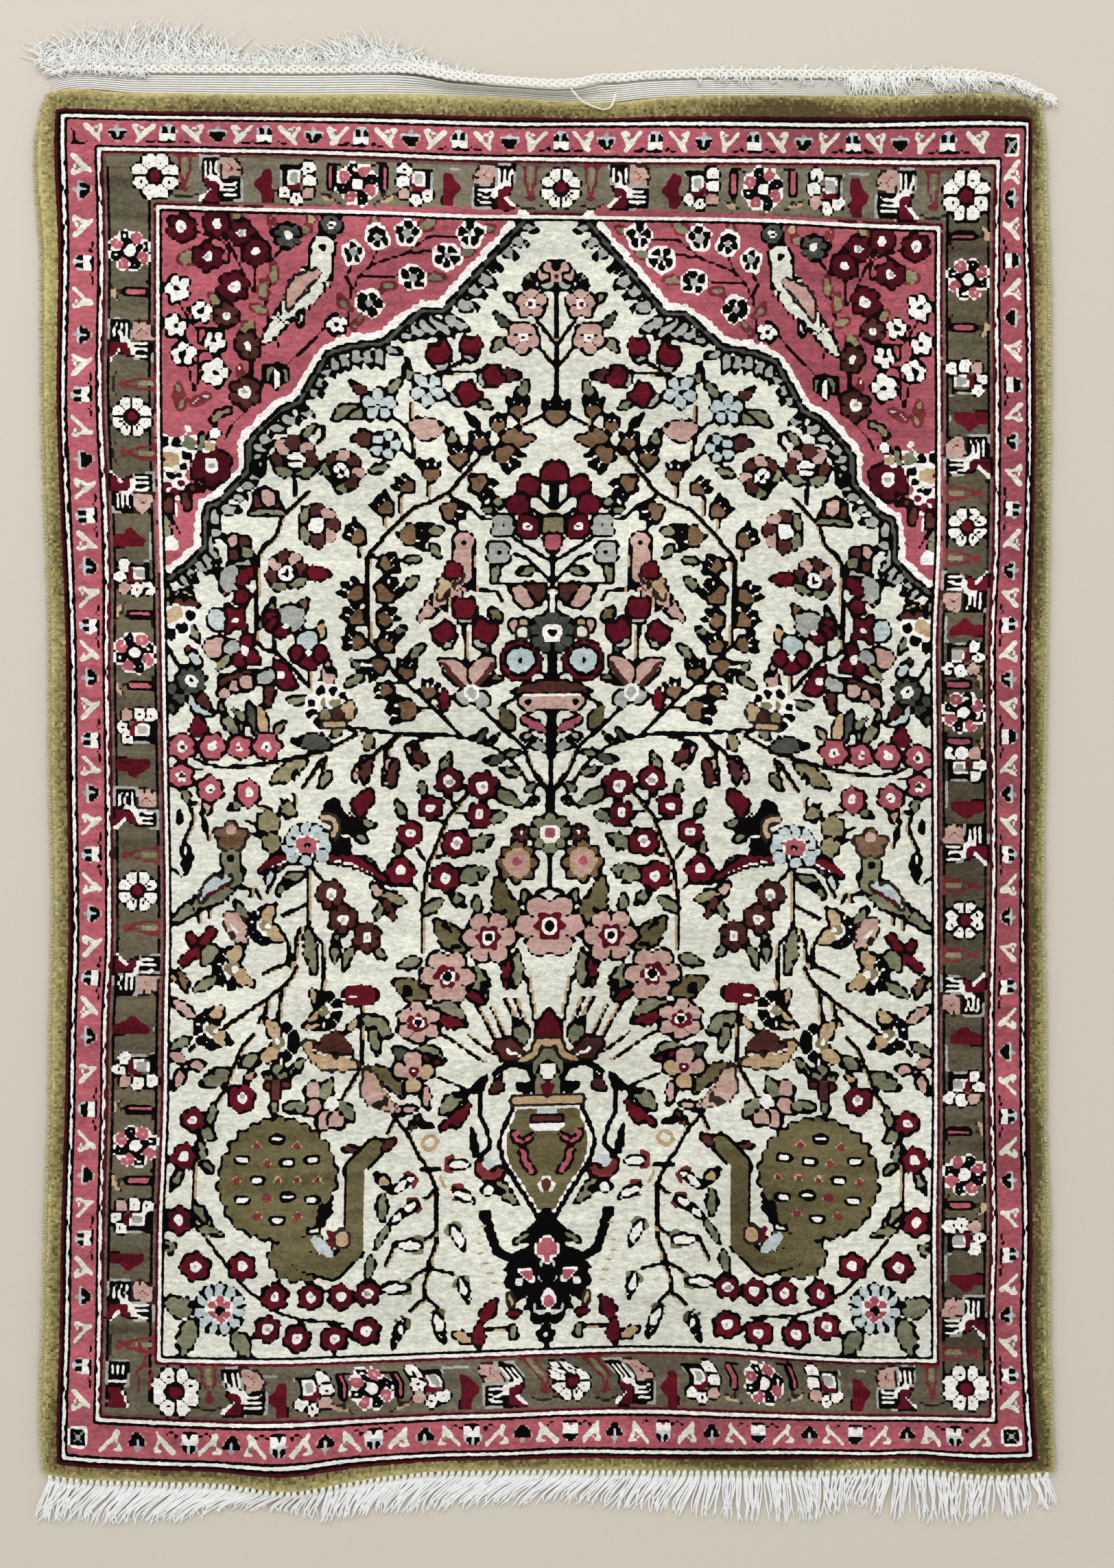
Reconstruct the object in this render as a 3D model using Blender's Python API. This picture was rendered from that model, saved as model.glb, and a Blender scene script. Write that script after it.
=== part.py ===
"""A small hand-knotted pile rug lying flat, with a flat-woven end, a plaited fringe and a looped fringe.

Millimetres are used in the tables and turned into metres where a mesh is made. The rug lies on its
back with the pile up: X runs across the width, Y along the length towards the plaited end, and Z up.
"""

import math

import bmesh
import bpy
import numpy as np
from mathutils import Vector

MM = 0.001

# Driving dimensions, mm.
WIDTH = 618.0
LENGTH = 848.0
PILE_THICK = 5.0
RIM_WIDTH = 3.0
RIM_DROP = 2.2
GAP = 0.3
ACROSS_CELLS = 44
ALONG_CELLS = 36

WEB_THICK = 1.2
WEB_STEPS = 4
FOLD_START = 4.0
FOLD_RISE = 2.5
FOLD_SAMPLES = 60
# Near its outer edge the folded web eases back: how far before the edge, over what length, by what share.
EASE_BEFORE = 1.5
EASE_LENGTH = 4.0
EASE_SHARE = 0.67

PLAIT_WIDTH = 5.0
PLAIT_THICK = 2.6
PLAIT_PITCH = 6.6
PLAIT_LOCK = 2.4
PLAIT_NUB = 0.6
LOCK_TIP = 1.1
LOCK_LEVEL = 0.7
LOCK_TAPER = 0.6

HEAD_PITCH = 4.2
HEAD_WIDTH = 2.5
HEAD_DEPTH = 3.0
HEAD_FRONT = 1.4
HEAD_BACK = 2.3
YARN_TIP = 1.3
YARN_LEVEL = 0.8

# The sides of a fringe's backing that its locks grow from, in the order of its section's corners.
OUTER_SIDE = 1
TOP_SIDE = 2

# The pile's outline. Left and right edges: y, x. Far and near ends: x, y.
LEFT_EDGE = (
    # y, x
    (427, -306.5),
    (410, -311.5),
    (320, -310.6),
    (222, -310.2),
    (165, -308.3),
    (123, -306.6),
    (-4, -305.6),
    (-60, -304.0),
    (-102, -304.2),
    (-144, -305.4),
    (-200, -306.0),
    (-271, -308.4),
    (-327, -309.6),
    (-411, -310.9),
    (-427, -309.5),
)
RIGHT_EDGE = (
    # y, x
    (420, 303.0),
    (404, 305.4),
    (361, 307.0),
    (320, 308.8),
    (222, 309.0),
    (151, 308.3),
    (39, 306.6),
    (-60, 305.2),
    (-144, 306.4),
    (-215, 307.0),
    (-271, 308.8),
    (-327, 308.9),
    (-379, 310.2),
    (-424, 312.0),
)
FAR_END = (
    # x, y
    (-308, 424.5),
    (-300, 426.8),
    (-252, 426.0),
    (-201, 425.2),
    (-150, 424.8),
    (-97, 425.2),
    (-59, 424.3),
    (-22, 422.6),
    (0, 421.0),
    (36, 419.8),
    (60, 422.6),
    (92, 424.3),
    (153, 424.3),
    (224, 424.1),
    (269, 425.2),
    (291, 423.0),
    (305, 417.5),
)
NEAR_END = (
    # x, y
    (-310, -425.0),
    (-287, -428.1),
    (-244, -429.8),
    (-190, -431.5),
    (-153, -434.0),
    (-133, -431.9),
    (-105, -427.3),
    (-70, -423.5),
    (0, -422.6),
    (102, -423.1),
    (170, -423.1),
    (224, -421.0),
    (252, -424.3),
    (271, -426.0),
    (312, -423.5),
)

# Ripples along the near end, where the edge lifts off the floor: x, half width, reach inwards, height.
NEAR_RIPPLES = (
    (-165, 48, 55, 6.5),
    (222, 34, 36, 2.2),
)

# The flat-woven end beyond the pile: x, width of the web, steepest angle of its upward fold.
WEB_END = (
    # x, width, fold_deg
    (-306, 10.2, 0),
    (-250, 11.2, 0),
    (-180, 12.0, 0),
    (-100, 12.0, 0),
    (-80, 11.6, 35),
    (-60, 10.6, 75),
    (-30, 10.0, 88),
    (5, 10.0, 88),
    (20, 10.6, 70),
    (34, 11.4, 25),
    (46, 10.6, 0),
    (90, 9.8, 0),
    (230, 9.6, 0),
    (262, 8.2, 12),
    (284, 6.0, 25),
    (303, 4.6, 30),
)

# Locks of the plaited fringe: x, reach outwards, lean to the right. A negative reach folds a lock
# forwards over the web.
FAR_LOCKS = (
    # x, reach, lean
    (-316, 10, 3),
    (-300, 16, 3),
    (-272, 24, -3),
    (-240, 27, 2),
    (-214, 22, -5),
    (-200, 20, -6),
    (-190, 10, -2),
    (-180, 5, 0),
    (-171, 13, -2),
    (-150, 14, 1),
    (-136, 8, -1),
    (-122, 18, -3),
    (-102, 22, -5),
    (-88, 16, -5),
    (-72, 9, -3),
    (-58, 8, -2),
    (-40, 5, -2),
    (60, 4, 2),
    (84, 5, 3),
    (85, -9, 2),
    (180, -9, 2),
    (188, -12, 1),
    (214, -12, 2),
    (240, -9, 3),
    (262, -8, 5),
)
FAR_BARE = (-46, 66)
SHORTEST_LOCK = 3.0
STANDING_ROOT = 3.0
STANDING_DROOP = 0.3
FAR_OVERHANG_LEFT = 8.0
FAR_OVERHANG_RIGHT = 12.0
FAR_BEND_LEFT = -1.1
FAR_BEND_RIGHT = -0.5

# A loose yarn that has pulled out of the plait and lies over the web and the pile's edge.
LOOSE_YARN = (
    # x, y, z
    (19.5, 421.0, 8.0),
    (24.0, 418.0, 7.2),
    (30.0, 415.6, 6.6),
    (35.0, 414.4, 6.4),
    (39.0, 415.6, 6.5),
    (41.0, 419.0, 6.6),
    (42.6, 425.0, 5.0),
)
LOOSE_THICK = 1.5
LOOSE_TAPER = 0.12

# Locks of the looped fringe: x of the loop, reach outwards, lean to the right.
NEAR_LOCKS = (
    # x, reach, lean
    (-308, 28, -5),
    (-287, 26, -15),
    (-244, 27, -19),
    (-210, 25, -25),
    (-192, 22, -26),
    (-180, 16, -21),
    (-167, 14, -15),
    (-153, 16, -10),
    (-133, 23, -5),
    (-105, 24, -11),
    (-70, 26, -18),
    (-30, 24, -22),
    (-3, 22, -22),
    (27, 20, -16),
    (56, 24, -12),
    (86, 27, -12),
    (112, 30, 0),
    (145, 32, 3),
    (162, 31, 4),
    (195, 23, -7),
    (212, 31, -4),
    (224, 33, 2),
    (242, 33, 5),
    (270, 27, -5),
    (282, 27, 3),
    (292, 24, 2),
    (306, 22, 7),
)
NEAR_INSET = 3.0

# Paths of locks that spread outwards: shares of the lean, of the reach and of the root's height kept.
FAR_PATH = (
    # lean, reach, height
    (0.25, 0.4, 0.75),
    (1.0, 1.0, 0.0),
)
NEAR_PATH = (
    # lean, reach, height
    (0.28, 0.34, 0.4),
    (0.64, 0.67, 0.0),
    (1.0, 1.0, 0.0),
)
# The path of a lock that folds forwards: shares of the lean and the reach, then mm outwards and upwards.
FOLDED_PATH = (
    # lean, reach, out, up
    (0.2, 0.0, 1.6, 1.9),
    (0.4, 0.0, -2.0, 3.5),
    (1.0, 1.0, 1.0, 1.9),
)


def table(rows, column=1):
    """The first column and one other of a short table, ordered by the first."""
    ordered = sorted(rows)
    return np.array([r[0] for r in ordered], float), np.array([r[column] for r in ordered], float)


def smooth(rows, at, column=1):
    """A smooth curve through a table's points, read at the given places."""
    xs, ys = table(rows, column)
    slopes = np.gradient(ys, xs)
    at = np.clip(np.asarray(at, float), xs[0], xs[-1])
    i = np.clip(np.searchsorted(xs, at) - 1, 0, len(xs) - 2)
    step = xs[i + 1] - xs[i]
    t = (at - xs[i]) / step
    rest = 1 - t
    return (
        ys[i] * (1 + 2 * t) * rest**2
        + slopes[i] * step * t * rest**2
        + ys[i + 1] * t**2 * (3 - 2 * t)
        - slopes[i + 1] * step * t**2 * rest
    )


def straight(rows, at, column=1):
    """A table's values joined by straight lines."""
    return np.interp(at, *table(rows, column))


def bump(distance):
    """1 at the middle and 0 from a distance of 1 on, rounded at both."""
    return np.cos(np.clip(np.abs(distance), 0, 1) * math.pi / 2) ** 2


def lift(x, y):
    """How high the rug's back is off the floor at a place."""
    near = smooth(NEAR_END, x)
    height = np.zeros(np.shape(x))
    for middle, half_width, reach, rise in NEAR_RIPPLES:
        height = height + rise * bump((x - middle) / half_width) * bump((y - near) / reach)
    return height


def outline_point(u, v):
    """The place on the rug for shares u of its width and v of its length."""
    y = LENGTH * (v - 0.5)
    x = smooth(LEFT_EDGE, y) * (1 - u) + smooth(RIGHT_EDGE, y) * u
    return x, smooth(NEAR_END, x) * (1 - v) + smooth(FAR_END, x) * v


def shares_with_rim(cells, length):
    """Even shares of a side, with a narrow cell at each end for the rounded rim."""
    rim = RIM_WIDTH / length
    return np.concatenate([[0.0], np.linspace(rim, 1 - rim, cells + 1), [1.0]])


def end_edge(x, v):
    """The pile's edge at one end as the slab has it, joined by straight lines: v is 0 near, 1 far."""
    xs, ys = outline_point(shares_with_rim(ACROSS_CELLS, WIDTH), v)
    return np.interp(x, xs, ys)


def material(name, colour, roughness):
    """A Principled material of one colour."""
    made = bpy.data.materials.new(name)
    made.use_nodes = True
    shader = made.node_tree.nodes["Principled BSDF"]
    shader.inputs["Base Color"].default_value = (*colour, 1.0)
    shader.inputs["Roughness"].default_value = roughness
    shader.inputs["Metallic"].default_value = 0.0
    return made


def finish_object(name, bm, surface):
    """Turn a millimetre bmesh into a named object in metres."""
    bmesh.ops.scale(bm, vec=(MM, MM, MM), verts=bm.verts)
    bmesh.ops.recalc_face_normals(bm, faces=bm.faces)
    mesh = bpy.data.meshes.new(name)
    bm.to_mesh(mesh)
    bm.free()
    mesh.materials.append(surface)
    made = bpy.data.objects.new(name, mesh)
    bpy.context.scene.collection.objects.link(made)
    return made


def closed_tube(bm, rings):
    """Skin between rings of equal length, with both ends capped. Returns the faces by ring and side."""
    loops = [[bm.verts.new(p) for p in ring] for ring in rings]
    sides = len(loops[0])
    faces = [
        [
            bm.faces.new((a[k], a[(k + 1) % sides], b[(k + 1) % sides], b[k]))
            for k in range(sides)
        ]
        for a, b in zip(loops, loops[1:])
    ]
    bm.faces.new(loops[0][::-1])
    bm.faces.new(loops[-1])
    return faces


def make_pile():
    """The knotted carpet: a thick slab with the true outline, a rounded rim and the edge's ripples."""
    us = shares_with_rim(ACROSS_CELLS, WIDTH)
    vs = shares_with_rim(ALONG_CELLS, LENGTH)
    u, v = np.meshgrid(us, vs, indexing="ij")
    x, y = outline_point(u, v)
    back = lift(x, y)
    on_rim = (u == 0) | (u == 1) | (v == 0) | (v == 1)
    face = back + PILE_THICK - np.where(on_rim, RIM_DROP, 0.0)

    bm = bmesh.new()
    top = [[bm.verts.new(p) for p in zip(*row)] for row in zip(x, y, face)]
    under = [[bm.verts.new(p) for p in zip(*row)] for row in zip(x, y, back)]
    last_i, last_j = len(us) - 1, len(vs) - 1
    for i in range(last_i):
        for j in range(last_j):
            bm.faces.new((top[i][j], top[i + 1][j], top[i + 1][j + 1], top[i][j + 1]))
            bm.faces.new((under[i][j], under[i][j + 1], under[i + 1][j + 1], under[i + 1][j]))
    rim = (
        [(i, 0) for i in range(last_i)]
        + [(last_i, j) for j in range(last_j)]
        + [(i, last_j) for i in range(last_i, 0, -1)]
        + [(0, j) for j in range(last_j, 0, -1)]
    )
    for (i, j), (m, n) in zip(rim, rim[1:] + rim[:1]):
        bm.faces.new((under[i][j], under[m][n], top[m][n], top[i][j]))
    return finish_object("pile_carpet", bm, material("silk_pile", (0.46, 0.36, 0.30), 0.75))


def web_line(x, start, length, steps):
    """Points of the flat-woven end's underside at one place, and the direction at each of them.

    The web runs out flat, folds up by the table's angle, and eases back to a third of it in the plait.
    start and length are measured along the web from the pile's edge.
    """
    width, fold = straight(WEB_END, x), math.radians(straight(WEB_END, x, 2))
    along = np.linspace(0, start + length, FOLD_SAMPLES)
    rise = np.clip((along - FOLD_START) / FOLD_RISE, 0, 1)
    ease = 1 - EASE_SHARE * np.clip((along - width + EASE_BEFORE) / EASE_LENGTH, 0, 1)
    angle = fold * rise * ease
    middle = (angle[1:] + angle[:-1]) / 2
    step = np.diff(along)
    edge = float(end_edge(x, 1.0)) + GAP
    y = edge + np.concatenate([[0], np.cumsum(np.cos(middle) * step)])
    z = np.concatenate([[0], np.cumsum(np.sin(middle) * step)])
    want = np.linspace(start, start + length, steps + 1)
    return np.interp(want, along, y), np.interp(want, along, z), np.interp(want, along, angle)


def strip_section(x, start, length, thick, steps):
    """A closed section of the web or the plait at one place: its back, then its face."""
    y, z, angle = web_line(x, start, length, steps)
    back = [(x, a, b) for a, b in zip(y, z)]
    face = [
        (x, a - thick * math.sin(c), b + thick * math.cos(c)) for a, b, c in zip(y, z, angle)
    ]
    return back + face[::-1]


def make_web():
    """The flat-woven end: the rug's own warps and wefts, without pile."""
    first, last = WEB_END[0][0], WEB_END[-1][0]
    pile_xs, _ = outline_point(shares_with_rim(ACROSS_CELLS, WIDTH), 1.0)
    ends = np.concatenate([[first], pile_xs[(pile_xs > first) & (pile_xs < last)], [last]])
    stations = np.sort(np.concatenate([ends, (ends[1:] + ends[:-1]) / 2]))
    bm = bmesh.new()
    sections = [
        strip_section(x, 0.0, float(straight(WEB_END, x)), WEB_THICK, WEB_STEPS) for x in stations
    ]
    closed_tube(bm, sections)
    return finish_object("flatweave_end", bm, material("cotton_web", (0.80, 0.79, 0.76), 0.85))


def grow_lock(bm, root, path, tip_width, taper=LOCK_TAPER):
    """Draw a lock of yarn out of a face of its backing, along a path that ends in a narrow tip.

    The face's corners turn with the path, without twisting, and close in on it by the lock's taper.
    """
    middle = root.calc_center_median()
    offsets = [vert.co - middle for vert in root.verts]
    width = max(offset.length for offset in offsets) * 2
    heading = root.normal.copy()
    points = [middle] + [Vector(point) for point in path]
    face = root
    for k in range(1, len(points)):
        ahead = (points[min(k + 1, len(points) - 1)] - points[k - 1]).normalized()
        turn = heading.rotation_difference(ahead)
        offsets = [turn @ offset for offset in offsets]
        heading = ahead
        share = (k / (len(points) - 1)) ** taper
        size = 1 + (tip_width * math.sqrt(2) / width - 1) * share
        face = bmesh.ops.extrude_discrete_faces(bm, faces=[face])["faces"][0]
        for vert, offset in zip(face.verts, offsets):
            vert.co = points[k] + offset * size


def spread_path(steps, root, reach, lean, tip_z):
    """A lock's path from its root's middle: by its reach along Y, its lean along X, down to its tip."""
    return [
        (root.x + lean * aside, root.y + reach * out, tip_z + (root.z - tip_z) * kept)
        for aside, out, kept in steps
    ]


def far_lock_path(root, reach, lean):
    """A plaited lock's path: outwards to the floor, or folded forwards over the plait and the web."""
    if reach < 0:
        return [
            (root.x + lean * aside, root.y + reach * share + out, root.z + up)
            for aside, share, out, up in FOLDED_PATH
        ]
    droop = STANDING_DROOP * reach if root.z > STANDING_ROOT else root.z
    tip_z = max(root.z - droop, LOCK_LEVEL)
    return spread_path(FAR_PATH, root, reach, lean, tip_z)


def make_far_fringe():
    """The plaited end: a chain of knotted warps, with its locks, along the web's outer edge."""
    first = WEB_END[0][0] - FAR_OVERHANG_LEFT
    last = WEB_END[-1][0] + FAR_OVERHANG_RIGHT
    count = int((last - first) / PLAIT_PITCH)
    middles = np.linspace(first + PLAIT_LOCK / 2, last - PLAIT_LOCK / 2, count)
    sections = []
    for middle in middles:
        sections.append(plait_section(middle - PLAIT_LOCK / 2, PLAIT_THICK))
        sections.append(plait_section(middle + PLAIT_LOCK / 2, PLAIT_THICK + PLAIT_NUB))

    bm = bmesh.new()
    faces = closed_tube(bm, sections)
    bmesh.ops.recalc_face_normals(bm, faces=bm.faces)
    for k, middle in enumerate(middles):
        reach = float(straight(FAR_LOCKS, middle))
        if FAR_BARE[0] < middle < FAR_BARE[1] or abs(reach) < SHORTEST_LOCK:
            continue
        root = faces[2 * k][OUTER_SIDE]
        lean = float(straight(FAR_LOCKS, middle, 2))
        grow_lock(bm, root, far_lock_path(root.calc_center_median(), reach, lean), LOCK_TIP)
    loose_root = faces[2 * int(np.argmin(np.abs(middles - LOOSE_YARN[0][0])))][TOP_SIDE]
    grow_lock(bm, loose_root, LOOSE_YARN, LOOSE_THICK, LOOSE_TAPER)
    return finish_object("fringe_plaited", bm, material("cotton_plait", (0.86, 0.86, 0.84), 0.8))


def plait_section(x, thick):
    """The plait's section at one place. Beyond the web its free ends bend away to the sides."""
    at = float(np.clip(x, WEB_END[0][0], WEB_END[-1][0]))
    start = float(straight(WEB_END, at)) + GAP
    past = x - at
    bend = FAR_BEND_LEFT * past if past < 0 else FAR_BEND_RIGHT * past
    return [
        (x, y + bend, z) for _, y, z in strip_section(at, start, PLAIT_WIDTH, thick, 1)
    ]


def make_near_fringe():
    """The looped end: each warp turns back on itself in a small loop, and its yarns hang as a lock.

    A lock goes straight off its loop, is swept to one side, and lies level on the floor.
    """
    first = NEAR_END[0][0] + NEAR_INSET
    last = NEAR_END[-1][0] - NEAR_INSET
    count = int((last - first - HEAD_WIDTH) / HEAD_PITCH) + 1
    middles = np.linspace(first + HEAD_WIDTH / 2, last - HEAD_WIDTH / 2, count)
    sections = []
    for middle in middles:
        for x in (middle - HEAD_WIDTH / 2, middle + HEAD_WIDTH / 2):
            edge = float(end_edge(x, 0.0)) - GAP
            back = float(lift(x, edge))
            sections.append(
                [
                    (x, edge, back),
                    (x, edge - HEAD_DEPTH, back),
                    (x, edge - HEAD_DEPTH, back + HEAD_FRONT),
                    (x, edge, back + HEAD_BACK),
                ]
            )
    bm = bmesh.new()
    faces = closed_tube(bm, sections)
    bmesh.ops.recalc_face_normals(bm, faces=bm.faces)
    for k, middle in enumerate(middles):
        root = faces[2 * k][OUTER_SIDE]
        reach = HEAD_DEPTH - float(straight(NEAR_LOCKS, middle))
        lean = float(straight(NEAR_LOCKS, middle, 2))
        path = spread_path(NEAR_PATH, root.calc_center_median(), reach, lean, YARN_LEVEL)
        grow_lock(bm, root, path, YARN_TIP)
    return finish_object("fringe_looped", bm, material("cotton_fringe", (0.88, 0.89, 0.88), 0.8))


def seat_on_origin(pieces):
    """Move the pieces so that the middle of the whole rug's underside is at the origin."""
    corners = np.array([tuple(v.co) for piece in pieces for v in piece.data.vertices])
    low, high = corners.min(axis=0), corners.max(axis=0)
    middle = (low + high) / 2
    for piece in pieces:
        piece.location = (-middle[0], -middle[1], -low[2])


def main():
    for old in list(bpy.data.objects):
        bpy.data.objects.remove(old, do_unlink=True)
    seat_on_origin([make_pile(), make_web(), make_far_fringe(), make_near_fringe()])


main()
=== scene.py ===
"""A small hand-knotted silk pile rug: its knots, its back, its flat-woven end and its two fringes.

The pile is a grid of knots whose colours come from a chart, and the chart is drawn here motif by motif
from short tables. Places in the tables are in drawing units of 0.4218 mm, x to the right and y towards
the looped fringe. One unit is one pixel of the photo, off which the places were read. The borders
waver as the woven ones do, so a layout turns drawing units into knots.
"""

from __future__ import annotations

import logging
import math
from dataclasses import dataclass, field
from enum import Enum, IntEnum

import bpy
import numpy as np
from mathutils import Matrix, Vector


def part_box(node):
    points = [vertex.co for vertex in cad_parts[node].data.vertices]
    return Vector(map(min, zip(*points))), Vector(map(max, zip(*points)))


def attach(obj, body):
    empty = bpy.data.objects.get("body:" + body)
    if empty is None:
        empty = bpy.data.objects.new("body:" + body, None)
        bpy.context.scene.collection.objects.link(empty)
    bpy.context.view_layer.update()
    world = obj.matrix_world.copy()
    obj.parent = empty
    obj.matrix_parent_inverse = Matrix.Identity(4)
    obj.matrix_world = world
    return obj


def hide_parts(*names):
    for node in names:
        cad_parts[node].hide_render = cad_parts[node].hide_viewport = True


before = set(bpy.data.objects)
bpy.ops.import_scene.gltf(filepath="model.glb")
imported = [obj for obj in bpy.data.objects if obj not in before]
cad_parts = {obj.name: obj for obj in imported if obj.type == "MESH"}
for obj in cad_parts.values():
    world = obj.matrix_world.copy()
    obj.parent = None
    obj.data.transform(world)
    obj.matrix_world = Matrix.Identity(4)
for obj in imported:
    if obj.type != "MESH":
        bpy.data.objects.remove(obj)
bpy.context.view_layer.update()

log = logging.getLogger("rug")

Points = list[tuple[float, float]]
Array = np.ndarray

MM = 0.001
# One drawing unit, which is one pixel of the photo, as a length on the rug.
UNIT = 0.4218 * MM
# The drawing's place where the tables in millimetres have their zero, before the layout's shift.
SHEET_MIDDLE = (797.0, 1143.0)
# The pile's lowest X and Y from that zero. The layout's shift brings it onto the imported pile's.
PILE_LOW = (-314.44 * MM, -433.992 * MM)
COLUMNS = 400
ROWS = 552
# A knot's side and an outline's usual width, in the pen's even units, which are about a drawing unit.
KNOT = 3.65
RIM = 4.5
# The pile's top over the rug's back, and how much lower its tips lie at the rug's edges.
PILE_TOP = 5.0 * MM
RIM_DROP = 2.2 * MM


class Seed(IntEnum):
    """The starts of the random draws, one for each thing that strays."""

    SPECKS = 3
    ROUGH = 7
    CORNERS = 11
    SURFACE = 12
    TUFTS = 21
    WISPS = 31
    HEADS = 41
    HANGING = 42


# ---------------------------------------------------------------------------------------------- layout

# Where the woven lines run down the rug: y, then x of each line.
LEFT_LINES = (
    # y, pile edge, outer white, inner white, field white
    (131, 70.4, 92, 143, 229.5),
    (171, 58.5, 91.4, 143, 229.5),
    (385, 60.6, 95.3, 147.7, 230),
    (617, 61.6, 92, 146, 230.6),
    (752, 66.1, 97.3, 153.4, 233),
    (852, 70.1, 102.3, 156, 236),
    (952, 71.3, 106.3, 155, 238),
    (1152, 72.5, 107.6, 158, 241.5),
    (1286, 76.3, 109.6, 158.7, 244),
    (1385, 75.8, 110, 158.7, 244),
    (1485, 73, 107, 152.7, 242),
    (1617, 71.5, 104.6, 151, 240.6),
    (1786, 65.8, 99.6, 146, 234),
    (1918, 63, 98, 144.4, 232.3),
    (2117, 59.9, 92.3, 141, 230),
    (2155, 63.2, 92, 141, 230),
)
AXIS_LINE = (
    # y, middle of the design
    (140, 817),
    (300, 812),
    (600, 811),
    (800, 806),
    (1000, 805),
    (1200, 802),
    (1400, 801),
    (1900, 800),
    (1985, 805),
    (2015, 832),
)
RIGHT_LINES = (
    # y, field white, inner white, outer white, pile edge
    (147, 1370, 1457, 1498, 1515.4),
    (185, 1370, 1457, 1498, 1521),
    (287, 1369, 1454, 1495, 1524.8),
    (385, 1368, 1453, 1498, 1529.1),
    (617, 1369, 1454, 1501, 1529.6),
    (785, 1368, 1452.5, 1497, 1527.9),
    (918, 1362, 1446.6, 1493, 1526),
    (1051, 1363, 1447.6, 1493, 1523.9),
    (1285, 1364, 1449, 1490.7, 1520.6),
    (1484, 1364.3, 1445, 1491, 1523.4),
    (1653, 1364, 1447, 1492, 1524.8),
    (1786, 1362, 1449, 1495, 1529.1),
    (1918, 1363, 1446, 1492, 1529.3),
    (2042, 1364, 1448, 1497, 1532.4),
    (2148, 1366, 1449, 1504, 1536.7),
)
# Where the woven lines run across the rug: x, then y of each line.
FAR_LINES = (
    # x, pile edge, outer white, inner white, field white
    (66.8, 136.6, 168, 216, 298),
    (85.8, 131.1, 168, 216, 298),
    (200, 133, 170.5, 217.5, 300),
    (320, 134.9, 172, 219, 304),
    (441, 135.9, 173.5, 221.5, 307),
    (567, 134.9, 176, 226, 310.5),
    (657, 137.1, 179, 230, 314.5),
    (745, 141.1, 181, 231.5, 316),
    (797, 144.9, 180.6, 232.3, 316.3),
    (882, 147.7, 180.2, 233.5, 317.5),
    (939, 141.1, 180, 234, 318.5),
    (1015, 137.1, 180.2, 234, 319.5),
    (1160, 137.1, 182, 234.8, 323.8),
    (1241, 137.3, 182.9, 235.4, 328.6),
    (1328, 137.5, 181.2, 237, 332),
    (1435, 134.9, 179.5, 236, 333),
    (1487, 140.2, 180.5, 235, 333),
    (1520, 153.2, 183, 235, 333),
)
NEAR_LINES = (
    # x, field white, inner white, outer white, pile edge
    (62.1, 1981, 2067, 2118, 2150.6),
    (116.6, 1981.5, 2067.5, 2126, 2157.9),
    (218.5, 1982.5, 2073, 2132.8, 2162),
    (346.5, 1985.5, 2078, 2136.2, 2166),
    (434.3, 1985.5, 2076.8, 2136, 2171.9),
    (481.7, 1983.5, 2074.5, 2131.5, 2166.9),
    (548.1, 1981, 2070.4, 2126, 2156),
    (631, 1977.8, 2066, 2121.5, 2147),
    (707, 1974.7, 2063.9, 2120, 2146),
    (797, 1971, 2059.5, 2116, 2144.9),
    (921, 1967.5, 2057.8, 2117.5, 2145.5),
    (1038.8, 1969.5, 2062, 2118, 2146.1),
    (1200, 1981, 2066.5, 2118, 2146.1),
    (1254.5, 1983.6, 2067.3, 2119.4, 2144),
    (1328.1, 1983.6, 2067.7, 2116, 2141.1),
    (1394.4, 1985.4, 2069, 2121.5, 2148.9),
    (1439.5, 1985.5, 2070, 2123, 2153),
    (1536.7, 1985.5, 2070, 2119, 2147),
)
# The knots at which those lines stand in the chart.
LINE_COLUMNS = (0, 9, 23, 46, 200, 354, 377, 391, 400)
LINE_ROWS = (0, 11, 25, 48, 505, 529, 544, 552)
# How far the knots on both sides of each white line are drawn in towards it, in drawing units.
PINCHED_COLUMNS = ((9, 1.5), (23, 1.3), (46, 1.5), (354, 1.5), (377, 1.3), (391, 1.5))
PINCHED_ROWS = ((11, 1.5), (25, 1.3), (48, 1.3), (505, 1.3), (529, 1.3), (544, 1.5))
# The even grid of drawing units between the lines, used to start the search for a knot's row and column.
EVEN_ROWS = (139, 179, 229.5, 314, 1978, 2068, 2124, 2151)

# Ripples where the looped end lifts off the floor, mm: x, half width, reach inwards, height.
NEAR_RIPPLES = (
    (-165, 48, 55, 6.5),
    (222, 34, 36, 2.2),
)


def smooth(rows: tuple, at: Array, column: int = 1) -> Array:
    """A smooth curve through the points of a short table.

    Each stretch is a cubic whose slopes at its ends are the mean slopes of the table there.

    Args:
        rows: the table, whose first column is the place along it.
        at: the places to read.
        column: the column to read.

    Returns:
        The values at those places.
    """
    ordered = np.array(sorted(rows), float)
    xs, ys = ordered[:, 0], ordered[:, column]
    slopes = np.gradient(ys, xs)
    at = np.clip(np.asarray(at, float), xs[0], xs[-1])
    i = np.clip(np.searchsorted(xs, at) - 1, 0, len(xs) - 2)
    step = xs[i + 1] - xs[i]
    t = (at - xs[i]) / step
    rest = 1 - t
    return (
        ys[i] * (1 + 2 * t) * rest**2
        + slopes[i] * step * t * rest**2
        + ys[i + 1] * t**2 * (3 - 2 * t)
        - slopes[i + 1] * step * t**2 * rest
    )


def straight(rows: tuple, at: Array, column: int = 1) -> Array:
    """A short table's values joined by straight lines."""
    ordered = np.array(sorted(rows), float)
    return np.interp(at, ordered[:, 0], ordered[:, column])


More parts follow.
